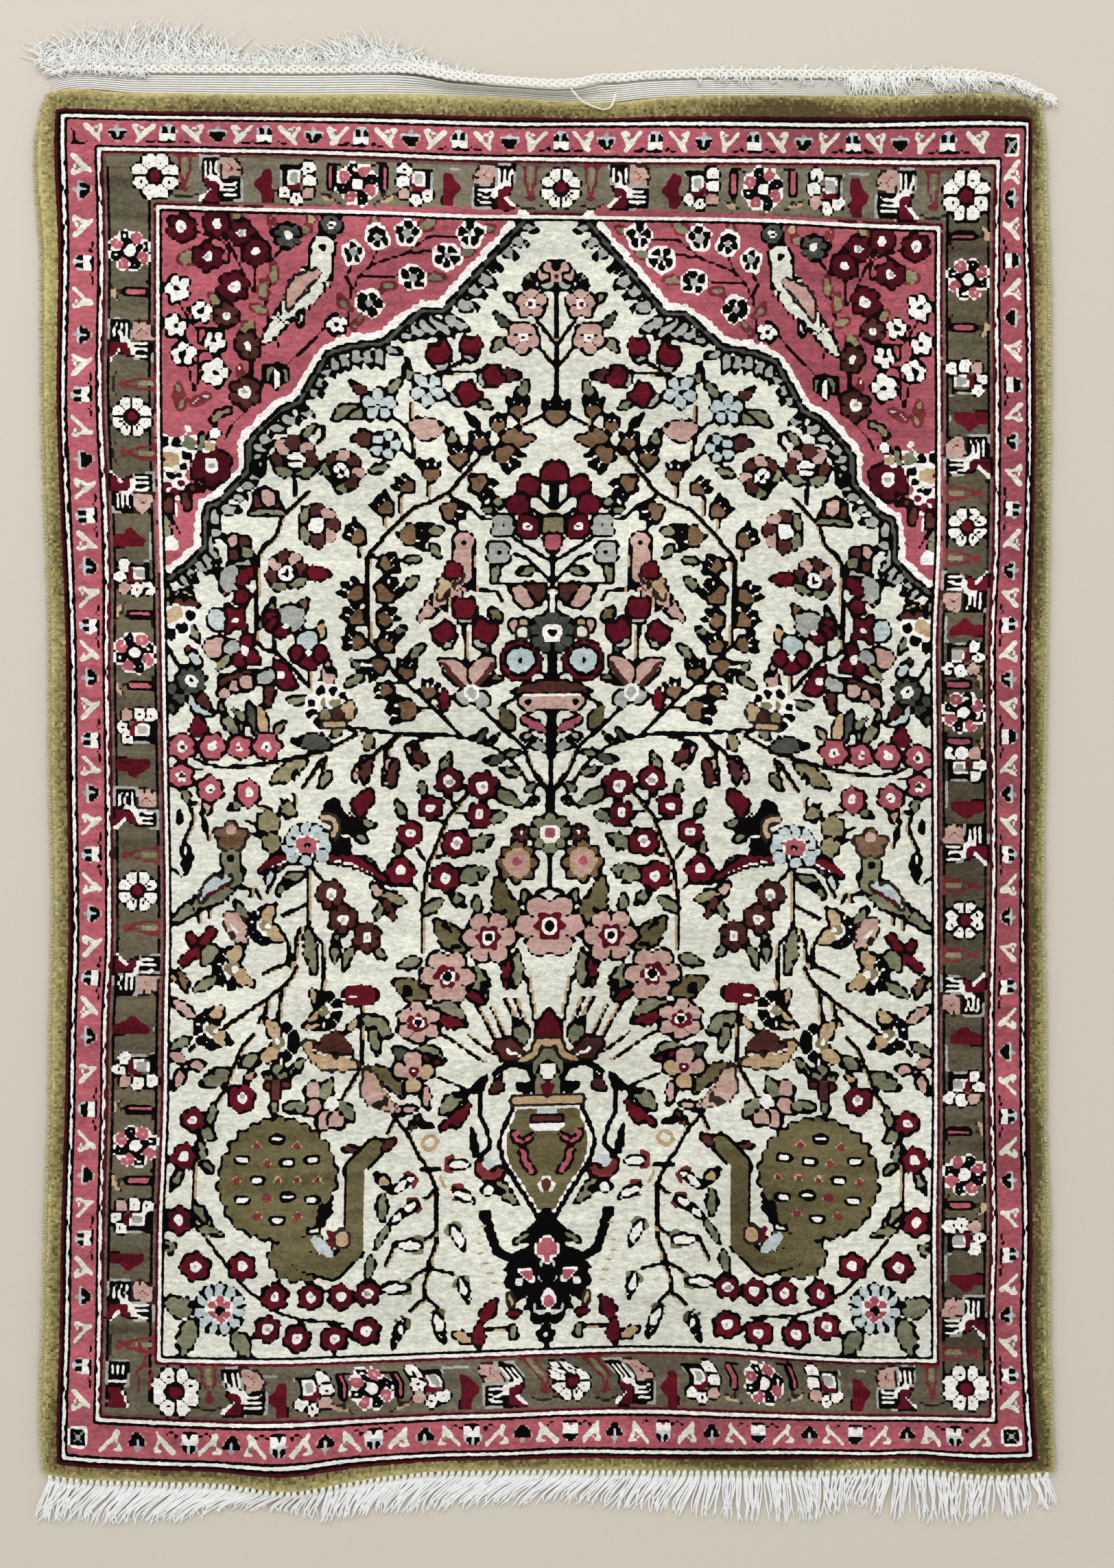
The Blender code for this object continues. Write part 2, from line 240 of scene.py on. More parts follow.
def spaced(path: tuple, step: float) -> Array:
    """Points at even steps along a path.

    Args:
        path: Points of a line, in drawing units.
        step: The spacing of the points, in drawing units.

    Returns:
        The points, one to a row.
    """
    corners = np.array(path, float)
    run = np.concatenate([[0.0], np.hypot(*np.diff(corners, axis=0).T).cumsum()])
    at = np.arange(0.0, run[-1], step)
    return np.stack([np.interp(at, run, corners[:, k]) for k in (0, 1)], axis=1)


def beside(path: tuple, step: float, aside: float) -> Array:
    """Points at even steps along a path, moved to its right as one walks it down the page.

    Args:
        path: Points of a line, in drawing units.
        step: The spacing of the points, in drawing units.
        aside: How far to move them, in drawing units.

    Returns:
        The points, one to a row.
    """
    points = spaced(path, step)
    run = np.gradient(points, axis=0)
    run = run / np.hypot(*run.T)[:, None]
    return points + aside * np.stack([-run[:, 1], run[:, 0]], axis=1)


def bump(distance: Array) -> Array:
    """1 at the middle and 0 from a distance of 1 on, rounded at both."""
    return np.cos(np.clip(np.abs(distance), 0, 1) * math.pi / 2) ** 2


@dataclass
class Layout:
    """How the chart's knots lie on the rug."""

    shift: tuple[float, float] = field(init=False)

    def __post_init__(self) -> None:
        """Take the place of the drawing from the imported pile."""
        low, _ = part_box("pile_carpet")
        self.shift = (low.x - PILE_LOW[0], low.y - PILE_LOW[1])

    def across(self, y: Array) -> Array:
        """The x of the lines that run down the rug, at each y. One more axis is added, for the lines.

        Args:
            y: Places down the rug, in drawing units.

        Returns:
            The lines' x, with the lines on the last axis.
        """
        lines = [smooth(LEFT_LINES, y, c) for c in (1, 2, 3, 4)]
        lines.append(smooth(AXIS_LINE, y))
        lines += [smooth(RIGHT_LINES, y, c) for c in (1, 2, 3, 4)]
        return np.stack(lines, axis=-1)

    def down(self, x: Array) -> Array:
        """The y of the lines that run across the rug, at each x. One more axis is added, for the lines.

        Args:
            x: Places across the rug, in drawing units.

        Returns:
            The lines' y, with the lines on the last axis.
        """
        lines = [smooth(FAR_LINES, x, c) for c in (1, 2, 3, 4)]
        lines += [smooth(NEAR_LINES, x, c) for c in (1, 2, 3, 4)]
        return np.stack(lines, axis=-1)

    def spots(self, columns: Array, rows: Array) -> tuple[Array, Array]:
        """Drawing units for whole or part knots.

        Between two lines a knot keeps its share of the distance, across and down.

        Args:
            columns: places along the chart's rows, one for each grid column.
            rows: places down the chart, one for each grid row.

        Returns:
            x and y, each with a row for each of rows and a column for each of columns.
        """
        first_y = np.interp(rows, LINE_ROWS, EVEN_ROWS)
        lines = self.across(first_y)
        x = np.stack([np.interp(columns, LINE_COLUMNS, line) for line in lines])
        first_x = x[len(rows) // 2]
        lines = self.down(first_x)
        y = np.stack([np.interp(rows, LINE_ROWS, line) for line in lines], axis=1)
        return x + self.pinch(columns, PINCHED_COLUMNS), y + self.pinch(rows, PINCHED_ROWS)[:, None]

    @staticmethod
    def pinch(at: Array, lines: tuple) -> Array:
        """How far knots by the white lines move towards them, in drawing units."""
        return sum(np.interp(at - line, (-5, -1, 1, 5), (0, size, -size, 0)) for line, size in lines)

    def knots(self, points: Points) -> Array:
        """The column and row of places given in drawing units.

        Args:
            points: Places, in drawing units.

        Returns:
            Columns and rows, not rounded.
        """
        found = []
        for x, y in points:
            column = np.interp(x, self.across(np.array(y)), LINE_COLUMNS)
            row = np.interp(y, self.down(np.array(x)), LINE_ROWS)
            found.append((column, row))
        return np.array(found)

    def metres(self, x: Array, y: Array) -> tuple[Array, Array]:
        """The frame's X and Y of drawing units.

        Args:
            x: Places across, in drawing units.
            y: Places down, in drawing units.

        Returns:
            X and Y, in metres.
        """
        return (
            (x - SHEET_MIDDLE[0]) * UNIT + self.shift[0],
            (SHEET_MIDDLE[1] - y) * UNIT + self.shift[1],
        )

    def place(self, x: Array, y: Array, z: Array) -> Array:
        """Points in the frame, in metres, of millimetres from the middle of the drawing's sheet."""
        x, y, z = np.broadcast_arrays(x, y, z)
        return np.stack([x * MM + self.shift[0], y * MM + self.shift[1], z * MM], axis=-1)

    def lift(self, x: Array, y: Array) -> Array:
        """How far the rug's back is off the floor, in metres, at drawing units.

        Args:
            x: Places across, in drawing units.
            y: Places down, in drawing units.

        Returns:
            Heights, in metres.
        """
        x_mm = (x - SHEET_MIDDLE[0]) * UNIT / MM
        y_mm = (SHEET_MIDDLE[1] - y) * UNIT / MM
        near = (SHEET_MIDDLE[1] - smooth(NEAR_LINES, x, 4)) * UNIT / MM
        height = np.zeros(np.broadcast(x, y).shape)
        for middle, half_width, reach, rise in NEAR_RIPPLES:
            height = height + rise * bump((x_mm - middle) / half_width) * bump((y_mm - near) / reach)
        return height * MM


# ----------------------------------------------------------------------------------------------- inks


class Ink(IntEnum):
    """The silks' colours."""

    IVORY = 0
    ROSE = 1
    WINE = 2
    CRIMSON = 3
    DARK = 4
    BLACK = 5
    WHITE = 6
    PINK = 7
    MAROON = 8
    GREY = 9
    PALE = 10
    TULIP = 11
    SAGE = 12
    KHAKI = 13
    TAN = 14
    OLIVE = 15
    GROUND = 16
    MOSS = 17
    SLATE = 18
    RUST = 19
    BARK = 20
    UMBER = 21
    LODEN = 22


# Each silk's two tones, between which a knot's own tone lies: light, deep.
TONES = {
    Ink.IVORY: ("EDEDDE", "D8D8CA"),
    Ink.ROSE: ("BC636D", "9C505A"),
    Ink.WINE: ("56121E", "3C0A14"),
    Ink.CRIMSON: ("6C1624", "4C0E1A"),
    Ink.DARK: ("1C0608", "0E0304"),
    Ink.BLACK: ("060304", "010101"),
    Ink.WHITE: ("FBF8F2", "EFECE2"),
    Ink.PINK: ("CDAB9F", "B89488"),
    Ink.MAROON: ("5A302A", "3E221E"),
    Ink.GREY: ("B4B6AE", "9A9C94"),
    Ink.PALE: ("CCD6D4", "B2C0C0"),
    Ink.TULIP: ("84684E", "664E38"),
    Ink.SAGE: ("8E8D72", "6E6F58"),
    Ink.KHAKI: ("9A9270", "7C7456"),
    Ink.TAN: ("C8AE8A", "B0946E"),
    Ink.OLIVE: ("736B4A", "585136"),
    Ink.GROUND: ("7E7864", "625B4A"),
    # Moss's light tone is a painted highlight along the rug's outer edge; its deep tone is the band further in.
    Ink.MOSS: ("CABE80", "554A2C"),
    Ink.SLATE: ("55574E", "3B3E38"),
    Ink.RUST: ("84383A", "66282A"),
    Ink.BARK: ("342A24", "1E1814"),
    Ink.UMBER: ("7C6256", "5E483E"),
    Ink.LODEN: ("6C6450", "50493A"),
}

# How much deeper a silk grows from left to right and from the plaited end to the looped one.
DRIFTS = {Ink.ROSE: (0.7, 0.0), Ink.GROUND: (0.35, 0.7), Ink.LODEN: (0.5, 0.0), Ink.MOSS: (0.28, 0.12)}


def linear(code: str) -> Array:
    """Linear light of a colour written as six hexadecimal digits."""
    parts = np.array([int(code[k : k + 2], 16) for k in (0, 2, 4)]) / 255
    return np.where(parts <= 0.04045, parts / 12.92, ((parts + 0.055) / 1.055) ** 2.4)


# ---------------------------------------------------------------------------------------------- chart


@dataclass
class Chart:
    """The knots' silks, row by row from the plaited end."""

    layout: Layout
    inks: Array = field(init=False)
    rough: Array = field(init=False)

    def __post_init__(self) -> None:
        """Start with a plain ivory rug, and the wandering of its shapes' edges in drawing units."""
        self.inks = np.full((ROWS, COLUMNS), Ink.IVORY, np.uint8)
        self.rough = 1.1 * blur(np.random.default_rng(Seed.ROUGH).standard_normal((ROWS, COLUMNS)), 1, 1)

    def rows(self, start: int, stop: int, ink: Ink, left: int = 0, right: int = COLUMNS) -> None:
        """Fill some rows between two columns."""
        self.inks[start:stop, left:right] = ink

    def mirror(self) -> None:
        """Copy the left half to the right."""
        half = COLUMNS // 2
        self.inks[:, half:] = self.inks[:, :half][:, ::-1]

    @staticmethod
    def from_edge() -> Array:
        """How many knots each knot is in from the nearest side, up to 8.

        Returns:
            A count for each knot.
        """
        rows, columns = np.meshgrid(np.arange(ROWS), np.arange(COLUMNS), indexing="ij")
        aside = np.minimum(columns, COLUMNS - 1 - columns)
        ends = np.minimum(rows, ROWS - 1 - rows)
        return np.minimum(np.minimum(aside, ends), 8)

    def colours(self, seed: int = 5) -> Array:
        """Linear colours of the knots.

        A knot's tone lies between its silk's two, by noise that is drawn out along the rows, as when one
        batch of yarn follows another, and by a little noise of its own. Moss knots are painted lighter
        towards the rug's edge, as a highlight, and deepen inwards.

        Args:
            seed: the seed of the noise.

        Returns:
            Rows by columns by red, green and blue.
        """
        rng = np.random.default_rng(seed)
        streaks = blur(rng.standard_normal((ROWS, COLUMNS)), 1, 14)
        clouds = blur(rng.standard_normal((ROWS, COLUMNS)), 10, 16)
        own = rng.standard_normal((ROWS, COLUMNS))
        share = 0.5 + 0.22 * streaks + 0.2 * clouds + 0.16 * own
        # Painted highlight on the moss band: its knots are lighter the nearer they lie to the rug's edge.
        moss_edge_highlight = 1 - 0.9 * np.exp(-0.42 * self.from_edge())
        share = np.where(self.inks == Ink.MOSS, moss_edge_highlight + 0.1 * clouds + 0.13 * own, share)
        for ink, (across, down) in DRIFTS.items():
            aside = np.linspace(-0.5, 0.5, COLUMNS) * across
            along = np.linspace(-0.5, 0.5, ROWS)[:, None] * down
            share = share + np.where(self.inks == ink, aside + along, 0)
        share = np.where(self.inks == Ink.MOSS, np.clip(share, 0, 1), np.clip(share, -0.25, 1.25))
        share = share[..., None]
        light = np.array([linear(TONES[ink][0]) for ink in Ink])
        deep = np.array([linear(TONES[ink][1]) for ink in Ink])
        return np.clip(light[self.inks] * (1 - share) + deep[self.inks] * share, 0.0, 1.0)


def blur(noise: Array, down: int, across: int) -> Array:
    """Noise averaged over a box of the given half sizes, twice, and brought back to unit spread.

    Args:
        noise: A grid of values.
        down: Half the box's height, in cells.
        across: Half the box's width, in cells.

    Returns:
        The averaged grid, with a spread of 1.
    """
    for _ in range(2):
        for axis, half in ((0, down), (1, across)):
            if half:
                width = 2 * half + 1
                padded = np.concatenate([noise.take(range(-half, 0), axis), noise], axis)
                padded = np.concatenate([padded, noise.take(range(half + 1), axis)], axis)
                total = np.cumsum(padded, axis)
                high = total.take(range(width, total.shape[axis]), axis)
                low = total.take(range(total.shape[axis] - width), axis)
                noise = (high - low) / width
    return noise / noise.std()


class Turn(Enum):
    """How a motif lies: where its own right and its own down point, as x, y."""

    PLAIN = ((1, 0), (0, 1))
    MIRRORED = ((-1, 0), (0, 1))
    UPRIGHT = ((1, 0), (0, -1))
    LEFT_IN = ((0, 1), (1, 0))
    RIGHT_IN = ((0, 1), (-1, 0))
    LEFT_ON = ((0, 1), (-1, 0))
    LEFT_BACK = ((0, -1), (-1, 0))
    RIGHT_ON = ((0, 1), (1, 0))
    RIGHT_BACK = ((0, -1), (1, 0))


@dataclass
class Pen:
    """Draws shapes into the chart, in drawing units around a place.

    A free pen stands at the chart's own corner and finds each point's knot through the layout. A pen at
    a motif uses the motif's own units, with its right and its down turned as the motif lies, or its top
    turned clockwise by some degrees.
    """

    chart: Chart
    at: tuple[float, float] | None = None
    turn: Turn | float = Turn.PLAIN
    wander: float = 1.0
    origin: Array = field(init=False)
    axes: Array = field(init=False)

    def __post_init__(self) -> None:
        """Find the knot that the pen stands on."""
        if self.at is None:
            self.origin = np.zeros(2)
        else:
            self.origin = self.chart.layout.knots([self.at])[0] * KNOT
        if isinstance(self.turn, Turn):
            self.axes = np.array(self.turn.value, float)
        else:
            c, d = math.cos(math.radians(self.turn)), math.sin(math.radians(self.turn))
            self.axes = np.array([(c, d), (-d, c)])

    def fit(self, points: Points) -> Array:
        """Points in the pen's own even units.

        Args:
            points: Places in drawing units, or round the pen's own place if it has one.

        Returns:
            The points as an array.
        """
        if self.at is None:
            return self.chart.layout.knots(points) * KNOT
        return np.array(points, float)

    def near(self, points: Array, margin: float) -> tuple[tuple[slice, slice], Array, Array]:
        """The part of the chart around some points, and its knots' places in the pen's units.

        Args:
            points: Places in the pen's own even units.
            margin: How far beyond them to reach.

        Returns:
            The part's slices, and its knots' x and y in the pen's units.
        """
        low, high = points.min(axis=0) - margin, points.max(axis=0) + margin
        box = np.array([low, (high[0], low[1]), high, (low[0], high[1])])
        ends = (box @ self.axes + self.origin) / KNOT
        first = np.clip(np.floor(ends.min(axis=0)).astype(int) - 1, 0, (COLUMNS, ROWS))
        last = np.clip(np.ceil(ends.max(axis=0)).astype(int) + 1, 0, (COLUMNS, ROWS))
        x, y = np.meshgrid(
            (np.arange(first[0], last[0]) + 0.5) * KNOT, (np.arange(first[1], last[1]) + 0.5) * KNOT
        )
        local = (np.stack([x, y], axis=-1) - self.origin) @ self.axes.T
        part = (slice(first[1], last[1]), slice(first[0], last[0]))
        return part, local[..., 0], local[..., 1]

    def paint(
        self,
        part: tuple[slice, slice],
        distance: Array,
        ink: Ink | None,
        rim: Ink | None,
        rim_width: float,
    ) -> None:
        """Fill where the distance is under 0, and the rim outside it up to its width.

        Args:
            part: The slices of the chart to paint in.
            distance: Each knot's distance from the form, under 0 inside it.
            ink: Its silk.
            rim: The outline's silk, or none.
            rim_width: The outline's width, in drawing units.
        """
        inks = self.chart.inks[part]
        if rim is not None:
            inks[(distance >= 0) & (distance < rim_width)] = rim
        if ink is not None:
            inks[distance < 0] = ink

    def flower(
        self,
        x: float,
        y: float,
        size: float,
        petals: int,
        ink: Ink,
        rim: Ink | None = Ink.DARK,
        cut: float = 0.3,
        turn: float = 0.0,
        squash: float = 1.0,
        rim_width: float = RIM,
    ) -> None:
        """A round flower. Its radius falls between two petals by the cut, as |cos| of the angle.

        Args:
            x: Its middle, across.
            y: Its middle, down.
            size: Its radius at a petal's tip.
            petals: How many petals.
            ink: Its silk.
            rim: The outline's silk, or none.
            cut: The share of the radius lost between petals.
            turn: Its turn, in degrees.
            squash: Its height over its width.
            rim_width: The outline's width, in drawing units.
        """
        middle = self.fit([(x, y)])
        part, px, py = self.near(middle, size + 8)
        dx, dy = px - middle[0, 0], (py - middle[0, 1]) / squash
        angle = np.arctan2(dx, -dy) - math.radians(turn)
        limit = size * (1 - cut * (1 - np.abs(np.cos(angle * petals / 2))))
        self.paint(part, np.hypot(dx, dy) - limit + self.wander * self.chart.rough[part], ink, rim, rim_width)

    def disc(self, x: float, y: float, size: float, ink: Ink, rim: Ink | None = None) -> None:
        """A round spot."""
        self.flower(x, y, size, 1, ink, rim, 0.0)

    def rays(
        self,
        x: float,
        y: float,
        inner: float,
        outer: float,
        count: int,
        ink: Ink,
        width: float = 3.0,
        turn: float = 0.0,
    ) -> None:
        """Straight lines from a middle, evenly round it, as between a flower's petals.

        Args:
            x: The middle, across.
            y: The middle, down.
            inner: Where they start, from the middle.
            outer: Where they end, from the middle.
            count: How many.
            ink: Their silk.
            width: Their width.
            turn: Their turn, in degrees.
        """
        middle = self.fit([(x, y)])
        part, px, py = self.near(middle, outer + 4)
        dx, dy = px - middle[0, 0], py - middle[0, 1]
        step = 2 * math.pi / count
        angle = (np.arctan2(dx, -dy) - math.radians(turn) + step / 2) % step - step / 2
        reach = np.hypot(dx, dy)
        on = (np.abs(reach * np.sin(angle)) < width / 2) & (reach > inner) & (reach < outer)
        self.paint(part, np.where(on, -1.0, 1.0), ink, None, 0)

    def leaf(
        self,
        tail: tuple[float, float],
        tip: tuple[float, float],
        width: float,
        ink: Ink,
        rim: Ink | None = Ink.BLACK,
        bend: float = 0.0,
        teeth: int = 0,
        vein: Ink | None = None,
        rim_width: float = RIM,
    ) -> None:
        """A leaf from its tail to its tip.

        Its half width is a sine along it, with teeth as a saw's edge, and its middle line bends aside by
        a share of its length, also as a sine.

        Args:
            tail: Its tail, where it leaves the stem.
            tip: Its tip.
            width: Its greatest width.
            ink: Its silk.
            rim: The outline's silk, or none.
            bend: How far it bows to one side, as a share of its length.
            teeth: How many teeth along its edge, or 0 for one to each 11 units.
            vein: The silk of its middle vein, or none.
            rim_width: The outline's width, in drawing units.
        """
        ends = self.fit([tail, tip])
        run = ends[1] - ends[0]
        length = float(np.hypot(*run)) or 1.0
        heading = run / length
        part, px, py = self.near(ends, width + abs(bend) * length + 6)
        dx, dy = px - ends[0, 0], py - ends[0, 1]
        along = (dx * heading[0] + dy * heading[1]) / length
        aside = dy * heading[0] - dx * heading[1]
        inside = np.clip(along, 0, 1)
        aside = aside - bend * length * np.sin(math.pi * inside)
        half = width / 2 * np.sin(math.pi * np.clip(inside, 0.03, 0.97) ** 0.85) ** 0.7
        count = teeth or round(length / 11)
        if count > 1:
            half = half * (0.7 + 0.3 * ((inside * count + 0.5 * (aside > 0)) % 1.0))
        beyond = np.abs(along - inside) * length
        distance = np.hypot(np.maximum(np.abs(aside) - half, 0), beyond)
        distance = np.where((np.abs(aside) < half) & (beyond <= 0), -1.0, distance)
        self.paint(part, distance + 0.8 * self.wander * self.chart.rough[part], ink, rim, rim_width)
        if vein is not None:
            on_vein = (np.abs(aside) < 1.6) & (along > 0.1) & (along < 0.85)
            self.paint(part, np.where(on_vein, -1.0, 1.0), vein, None, 0)

    def stem(
        self, points: Points, ink: Ink = Ink.BLACK, width: float = 3.6, rim: Ink | None = None
    ) -> None:
        """A line of even width through some points: the knots within half its width of it.

        Args:
            points: The line's points.
            ink: Its silk.
            width: Its width.
            rim: The outline's silk, or none.
        """
        spots = self.fit(points)
        part, px, py = self.near(spots, width + 6)
        distance = np.full(px.shape, 1e9)
        for a, b in zip(spots, spots[1:]):
            run = b - a
            length = float(run @ run) or 1.0
            share = np.clip(((px - a[0]) * run[0] + (py - a[1]) * run[1]) / length, 0, 1)
            gap = np.hypot(px - a[0] - share * run[0], py - a[1] - share * run[1])
            distance = np.minimum(distance, gap)
        self.paint(part, distance - width / 2, ink, rim, RIM)

    def shape(
        self, points: Points, ink: Ink | None, rim: Ink | None = Ink.DARK, rim_width: float = RIM
    ) -> None:
        """A closed outline. Inside is where a ray to the right crosses its edges an odd number of times.

        Args:
            points: The outline's corners.
            ink: Its silk.
            rim: The outline's silk, or none.
            rim_width: The outline's width, in drawing units.
        """
        spots = self.fit(points)
        part, px, py = self.near(spots, rim_width + 3)
        distance = np.full(px.shape, 1e9)
        inside = np.zeros(px.shape, bool)
        for a, b in zip(spots, np.roll(spots, -1, axis=0)):
            run = b - a
            length = float(run @ run) or 1.0
            share = np.clip(((px - a[0]) * run[0] + (py - a[1]) * run[1]) / length, 0, 1)
            gap = np.hypot(px - a[0] - share * run[0], py - a[1] - share * run[1])
            distance = np.minimum(distance, gap)
            if a[1] != b[1]:
                crosses = (a[1] > py) != (b[1] > py)
                inside ^= crosses & (px < (py - a[1]) / (b[1] - a[1]) * run[0] + a[0])
        distance = np.where(inside, -distance - 0.01, distance) + 0.8 * self.wander * self.chart.rough[part]
        self.paint(part, distance, ink, rim, rim_width)


# -------------------------------------------------------------------------------------------- borders

# The guard stripe's motifs, by side: places along the side of its buds and of its trefoils.
GUARD_MOTIFS = {
    "far": (
        (171, 317, 457, 598.6, 743, 884, 1026, 1171, 1312),
        (246, 386.7, 526.8, 669, 817.5, 956, 1099, 1243, 1383),
    ),
    "near": (
        (200, 338, 474.7, 620, 762, 896, 1038, 1180, 1322),
        (276, 407, 545, 689, 831.7, 966.5, 1105, 1247, 1392),
    ),
    "left": (
        (276, 488, 670, 826, 988, 1156, 1332, 1511, 1713, 1890),
        (382, 576, 753, 912, 1078, 1246, 1425, 1617, 1806, 1991),
    ),
    "right": (
        (289, 463, 643, 831, 990, 1158, 1337, 1534, 1721, 1918),
        (380, 561, 743, 910, 1074, 1246, 1438, 1627, 1829, 2005),
    ),
}
# The slanting motifs that stand beyond the last bud or trefoil of a side.
GUARD_ENDS = {"far": (137, 1425), "near": (163, 1430), "left": (240, 2041), "right": (250, 2044)}
# Small square motifs in three of the guard's corners.
GUARD_CORNERS = ((1475, 212), (114, 2094), (1475, 2095))


class Motif(Enum):
    """What stands in the main border."""

    ROSETTE = "rosette"
    EIGHT = "eight"
    PALMETTE = "palmette"
    HEART = "heart"
    HALF = "half"
    BAR = "bar"
    COLUMN = "column"


# The main border's motifs: place along the side, place across it, motif, and 1 or -1 for its sense.
FAR_BORDER = (
    # x, y, motif, sense
    (269, 256, Motif.COLUMN, 1),
    (320, 261, Motif.PALMETTE, 1),
    (388, 266, Motif.HEART, 1),
    (431, 266, Motif.HALF, 1),
    (482, 264, Motif.BAR, 1),
    (521, 268, Motif.EIGHT, 1),
    (560, 265, Motif.BAR, -1),
    (608, 269, Motif.HALF, -1),
    (655, 272, Motif.HEART, -1),
    (723, 272, Motif.PALMETTE, -1),
    (773, 272, Motif.COLUMN, -1),
    (818, 274, Motif.ROSETTE, 1),
    (862, 272, Motif.COLUMN, 1),
    (915, 273, Motif.PALMETTE, 1),
    (982, 275, Motif.HEART, 1),
    (1020, 275, Motif.HALF, 1),
    (1069, 274, Motif.BAR, 1),
    (1112, 276, Motif.EIGHT, 1),
    (1156, 275, Motif.BAR, -1),
    (1207, 280, Motif.HALF, -1),
    (1250, 284, Motif.HEART, -1),
    (1309, 284, Motif.PALMETTE, -1),
    (1360, 283, Motif.COLUMN, -1),
)
NEAR_BORDER = (
    (305, 2023, Motif.COLUMN, 1),
    (354, 2030, Motif.PALMETTE, 1),
    (409, 2038, Motif.HEART, 1),
    (455, 2031, Motif.HALF, 1),
    (501, 2028, Motif.BAR, 1),
    (542, 2024, Motif.EIGHT, 1),
    (583, 2024, Motif.BAR, -1),
    (631, 2020, Motif.HALF, -1),
    (681, 2024, Motif.HEART, -1),
    (739, 2018, Motif.PALMETTE, -1),
    (788, 2008, Motif.COLUMN, -1),
    (832, 2012, Motif.ROSETTE, 1),
    (877, 2008, Motif.COLUMN, 1),
    (924, 2014, Motif.PALMETTE, 1),
    (979, 2021, Motif.HEART, 1),
    (1023, 2015, Motif.HALF, 1),
    (1070, 2014, Motif.BAR, 1),
    (1115, 2018, Motif.EIGHT, 1),
    (1157, 2014, Motif.BAR, -1),
    (1206, 2021, Motif.HALF, -1),
    (1252, 2030, Motif.HEART, -1),
    (1309, 2024, Motif.PALMETTE, -1),
    (1358, 2020, Motif.COLUMN, -1),
)
LEFT_BORDER = (
    # y, x, motif, sense
    (365, 189, Motif.EIGHT, 1),
    (425, 192, Motif.BAR, -1),
    (497, 190, Motif.PALMETTE, -1),
    (559, 196, Motif.COLUMN, -1),
    (607, 192, Motif.ROSETTE, 1),
    (660, 196, Motif.COLUMN, 1),
    (716, 192, Motif.PALMETTE, 1),
    (787, 192, Motif.HEART, 1),
    (839, 196, Motif.HALF, 1),
    (895, 198, Motif.BAR, 1),
    (952, 196, Motif.EIGHT, 1),
    (1000, 198, Motif.BAR, -1),
    (1061, 200, Motif.HALF, -1),
    (1117, 198, Motif.HEART, -1),
    (1180, 198, Motif.PALMETTE, -1),
    (1246, 200, Motif.COLUMN, -1),
    (1299, 201, Motif.ROSETTE, 1),
    (1352, 202, Motif.COLUMN, 1),
    (1419, 199, Motif.PALMETTE, 1),
    (1498, 196, Motif.HEART, 1),
    (1558, 198, Motif.HALF, 1),
    (1617, 196, Motif.BAR, 1),
    (1671, 197, Motif.EIGHT, 1),
    (1721, 195, Motif.BAR, -1),
    (1776, 192, Motif.HALF, -1),
    (1836, 190, Motif.HEART, -1),
    (1899, 190, Motif.PALMETTE, -1),
    (1960, 192, Motif.COLUMN, -1),
)
RIGHT_BORDER = (
    (345, 1411, Motif.BAR, 1),
    (407, 1411, Motif.EIGHT, 1),
    (477, 1411, Motif.BAR, -1),
    (554, 1410, Motif.HALF, -1),
    (611, 1411, Motif.HEART, -1),
    (667, 1411, Motif.PALMETTE, -1),
    (719, 1411, Motif.COLUMN, -1),
    (768, 1410, Motif.ROSETTE, 1),
    (814, 1408, Motif.COLUMN, 1),
    (862, 1406, Motif.PALMETTE, 1),
    (918, 1404, Motif.HEART, 1),
    (958, 1404, Motif.HALF, 1),
    (998, 1404, Motif.BAR, 1),
    (1039, 1405, Motif.EIGHT, 1),
    (1081, 1405, Motif.BAR, -1),
    (1117, 1406, Motif.HALF, -1),
    (1178, 1406, Motif.HEART, -1),
    (1232, 1407, Motif.PALMETTE, -1),
    (1292, 1406, Motif.COLUMN, -1),
    (1342, 1406, Motif.ROSETTE, 1),
    (1393, 1405, Motif.COLUMN, 1),
    (1449, 1404, Motif.PALMETTE, 1),
    (1513, 1404, Motif.HEART, 1),
    (1584, 1405, Motif.HALF, 1),
    (1650, 1405, Motif.BAR, 1),
    (1713, 1406, Motif.EIGHT, 1),
    (1758, 1406, Motif.BAR, -1),
    (1806, 1405, Motif.HALF, -1),
    (1867, 1405, Motif.HEART, -1),
    (1922, 1405, Motif.PALMETTE, -1),
    (1972, 1406, Motif.COLUMN, -1),
)
CORNER_ROSETTES = ((226, 257), (1409, 286), (255, 2029), (1408, 2024))


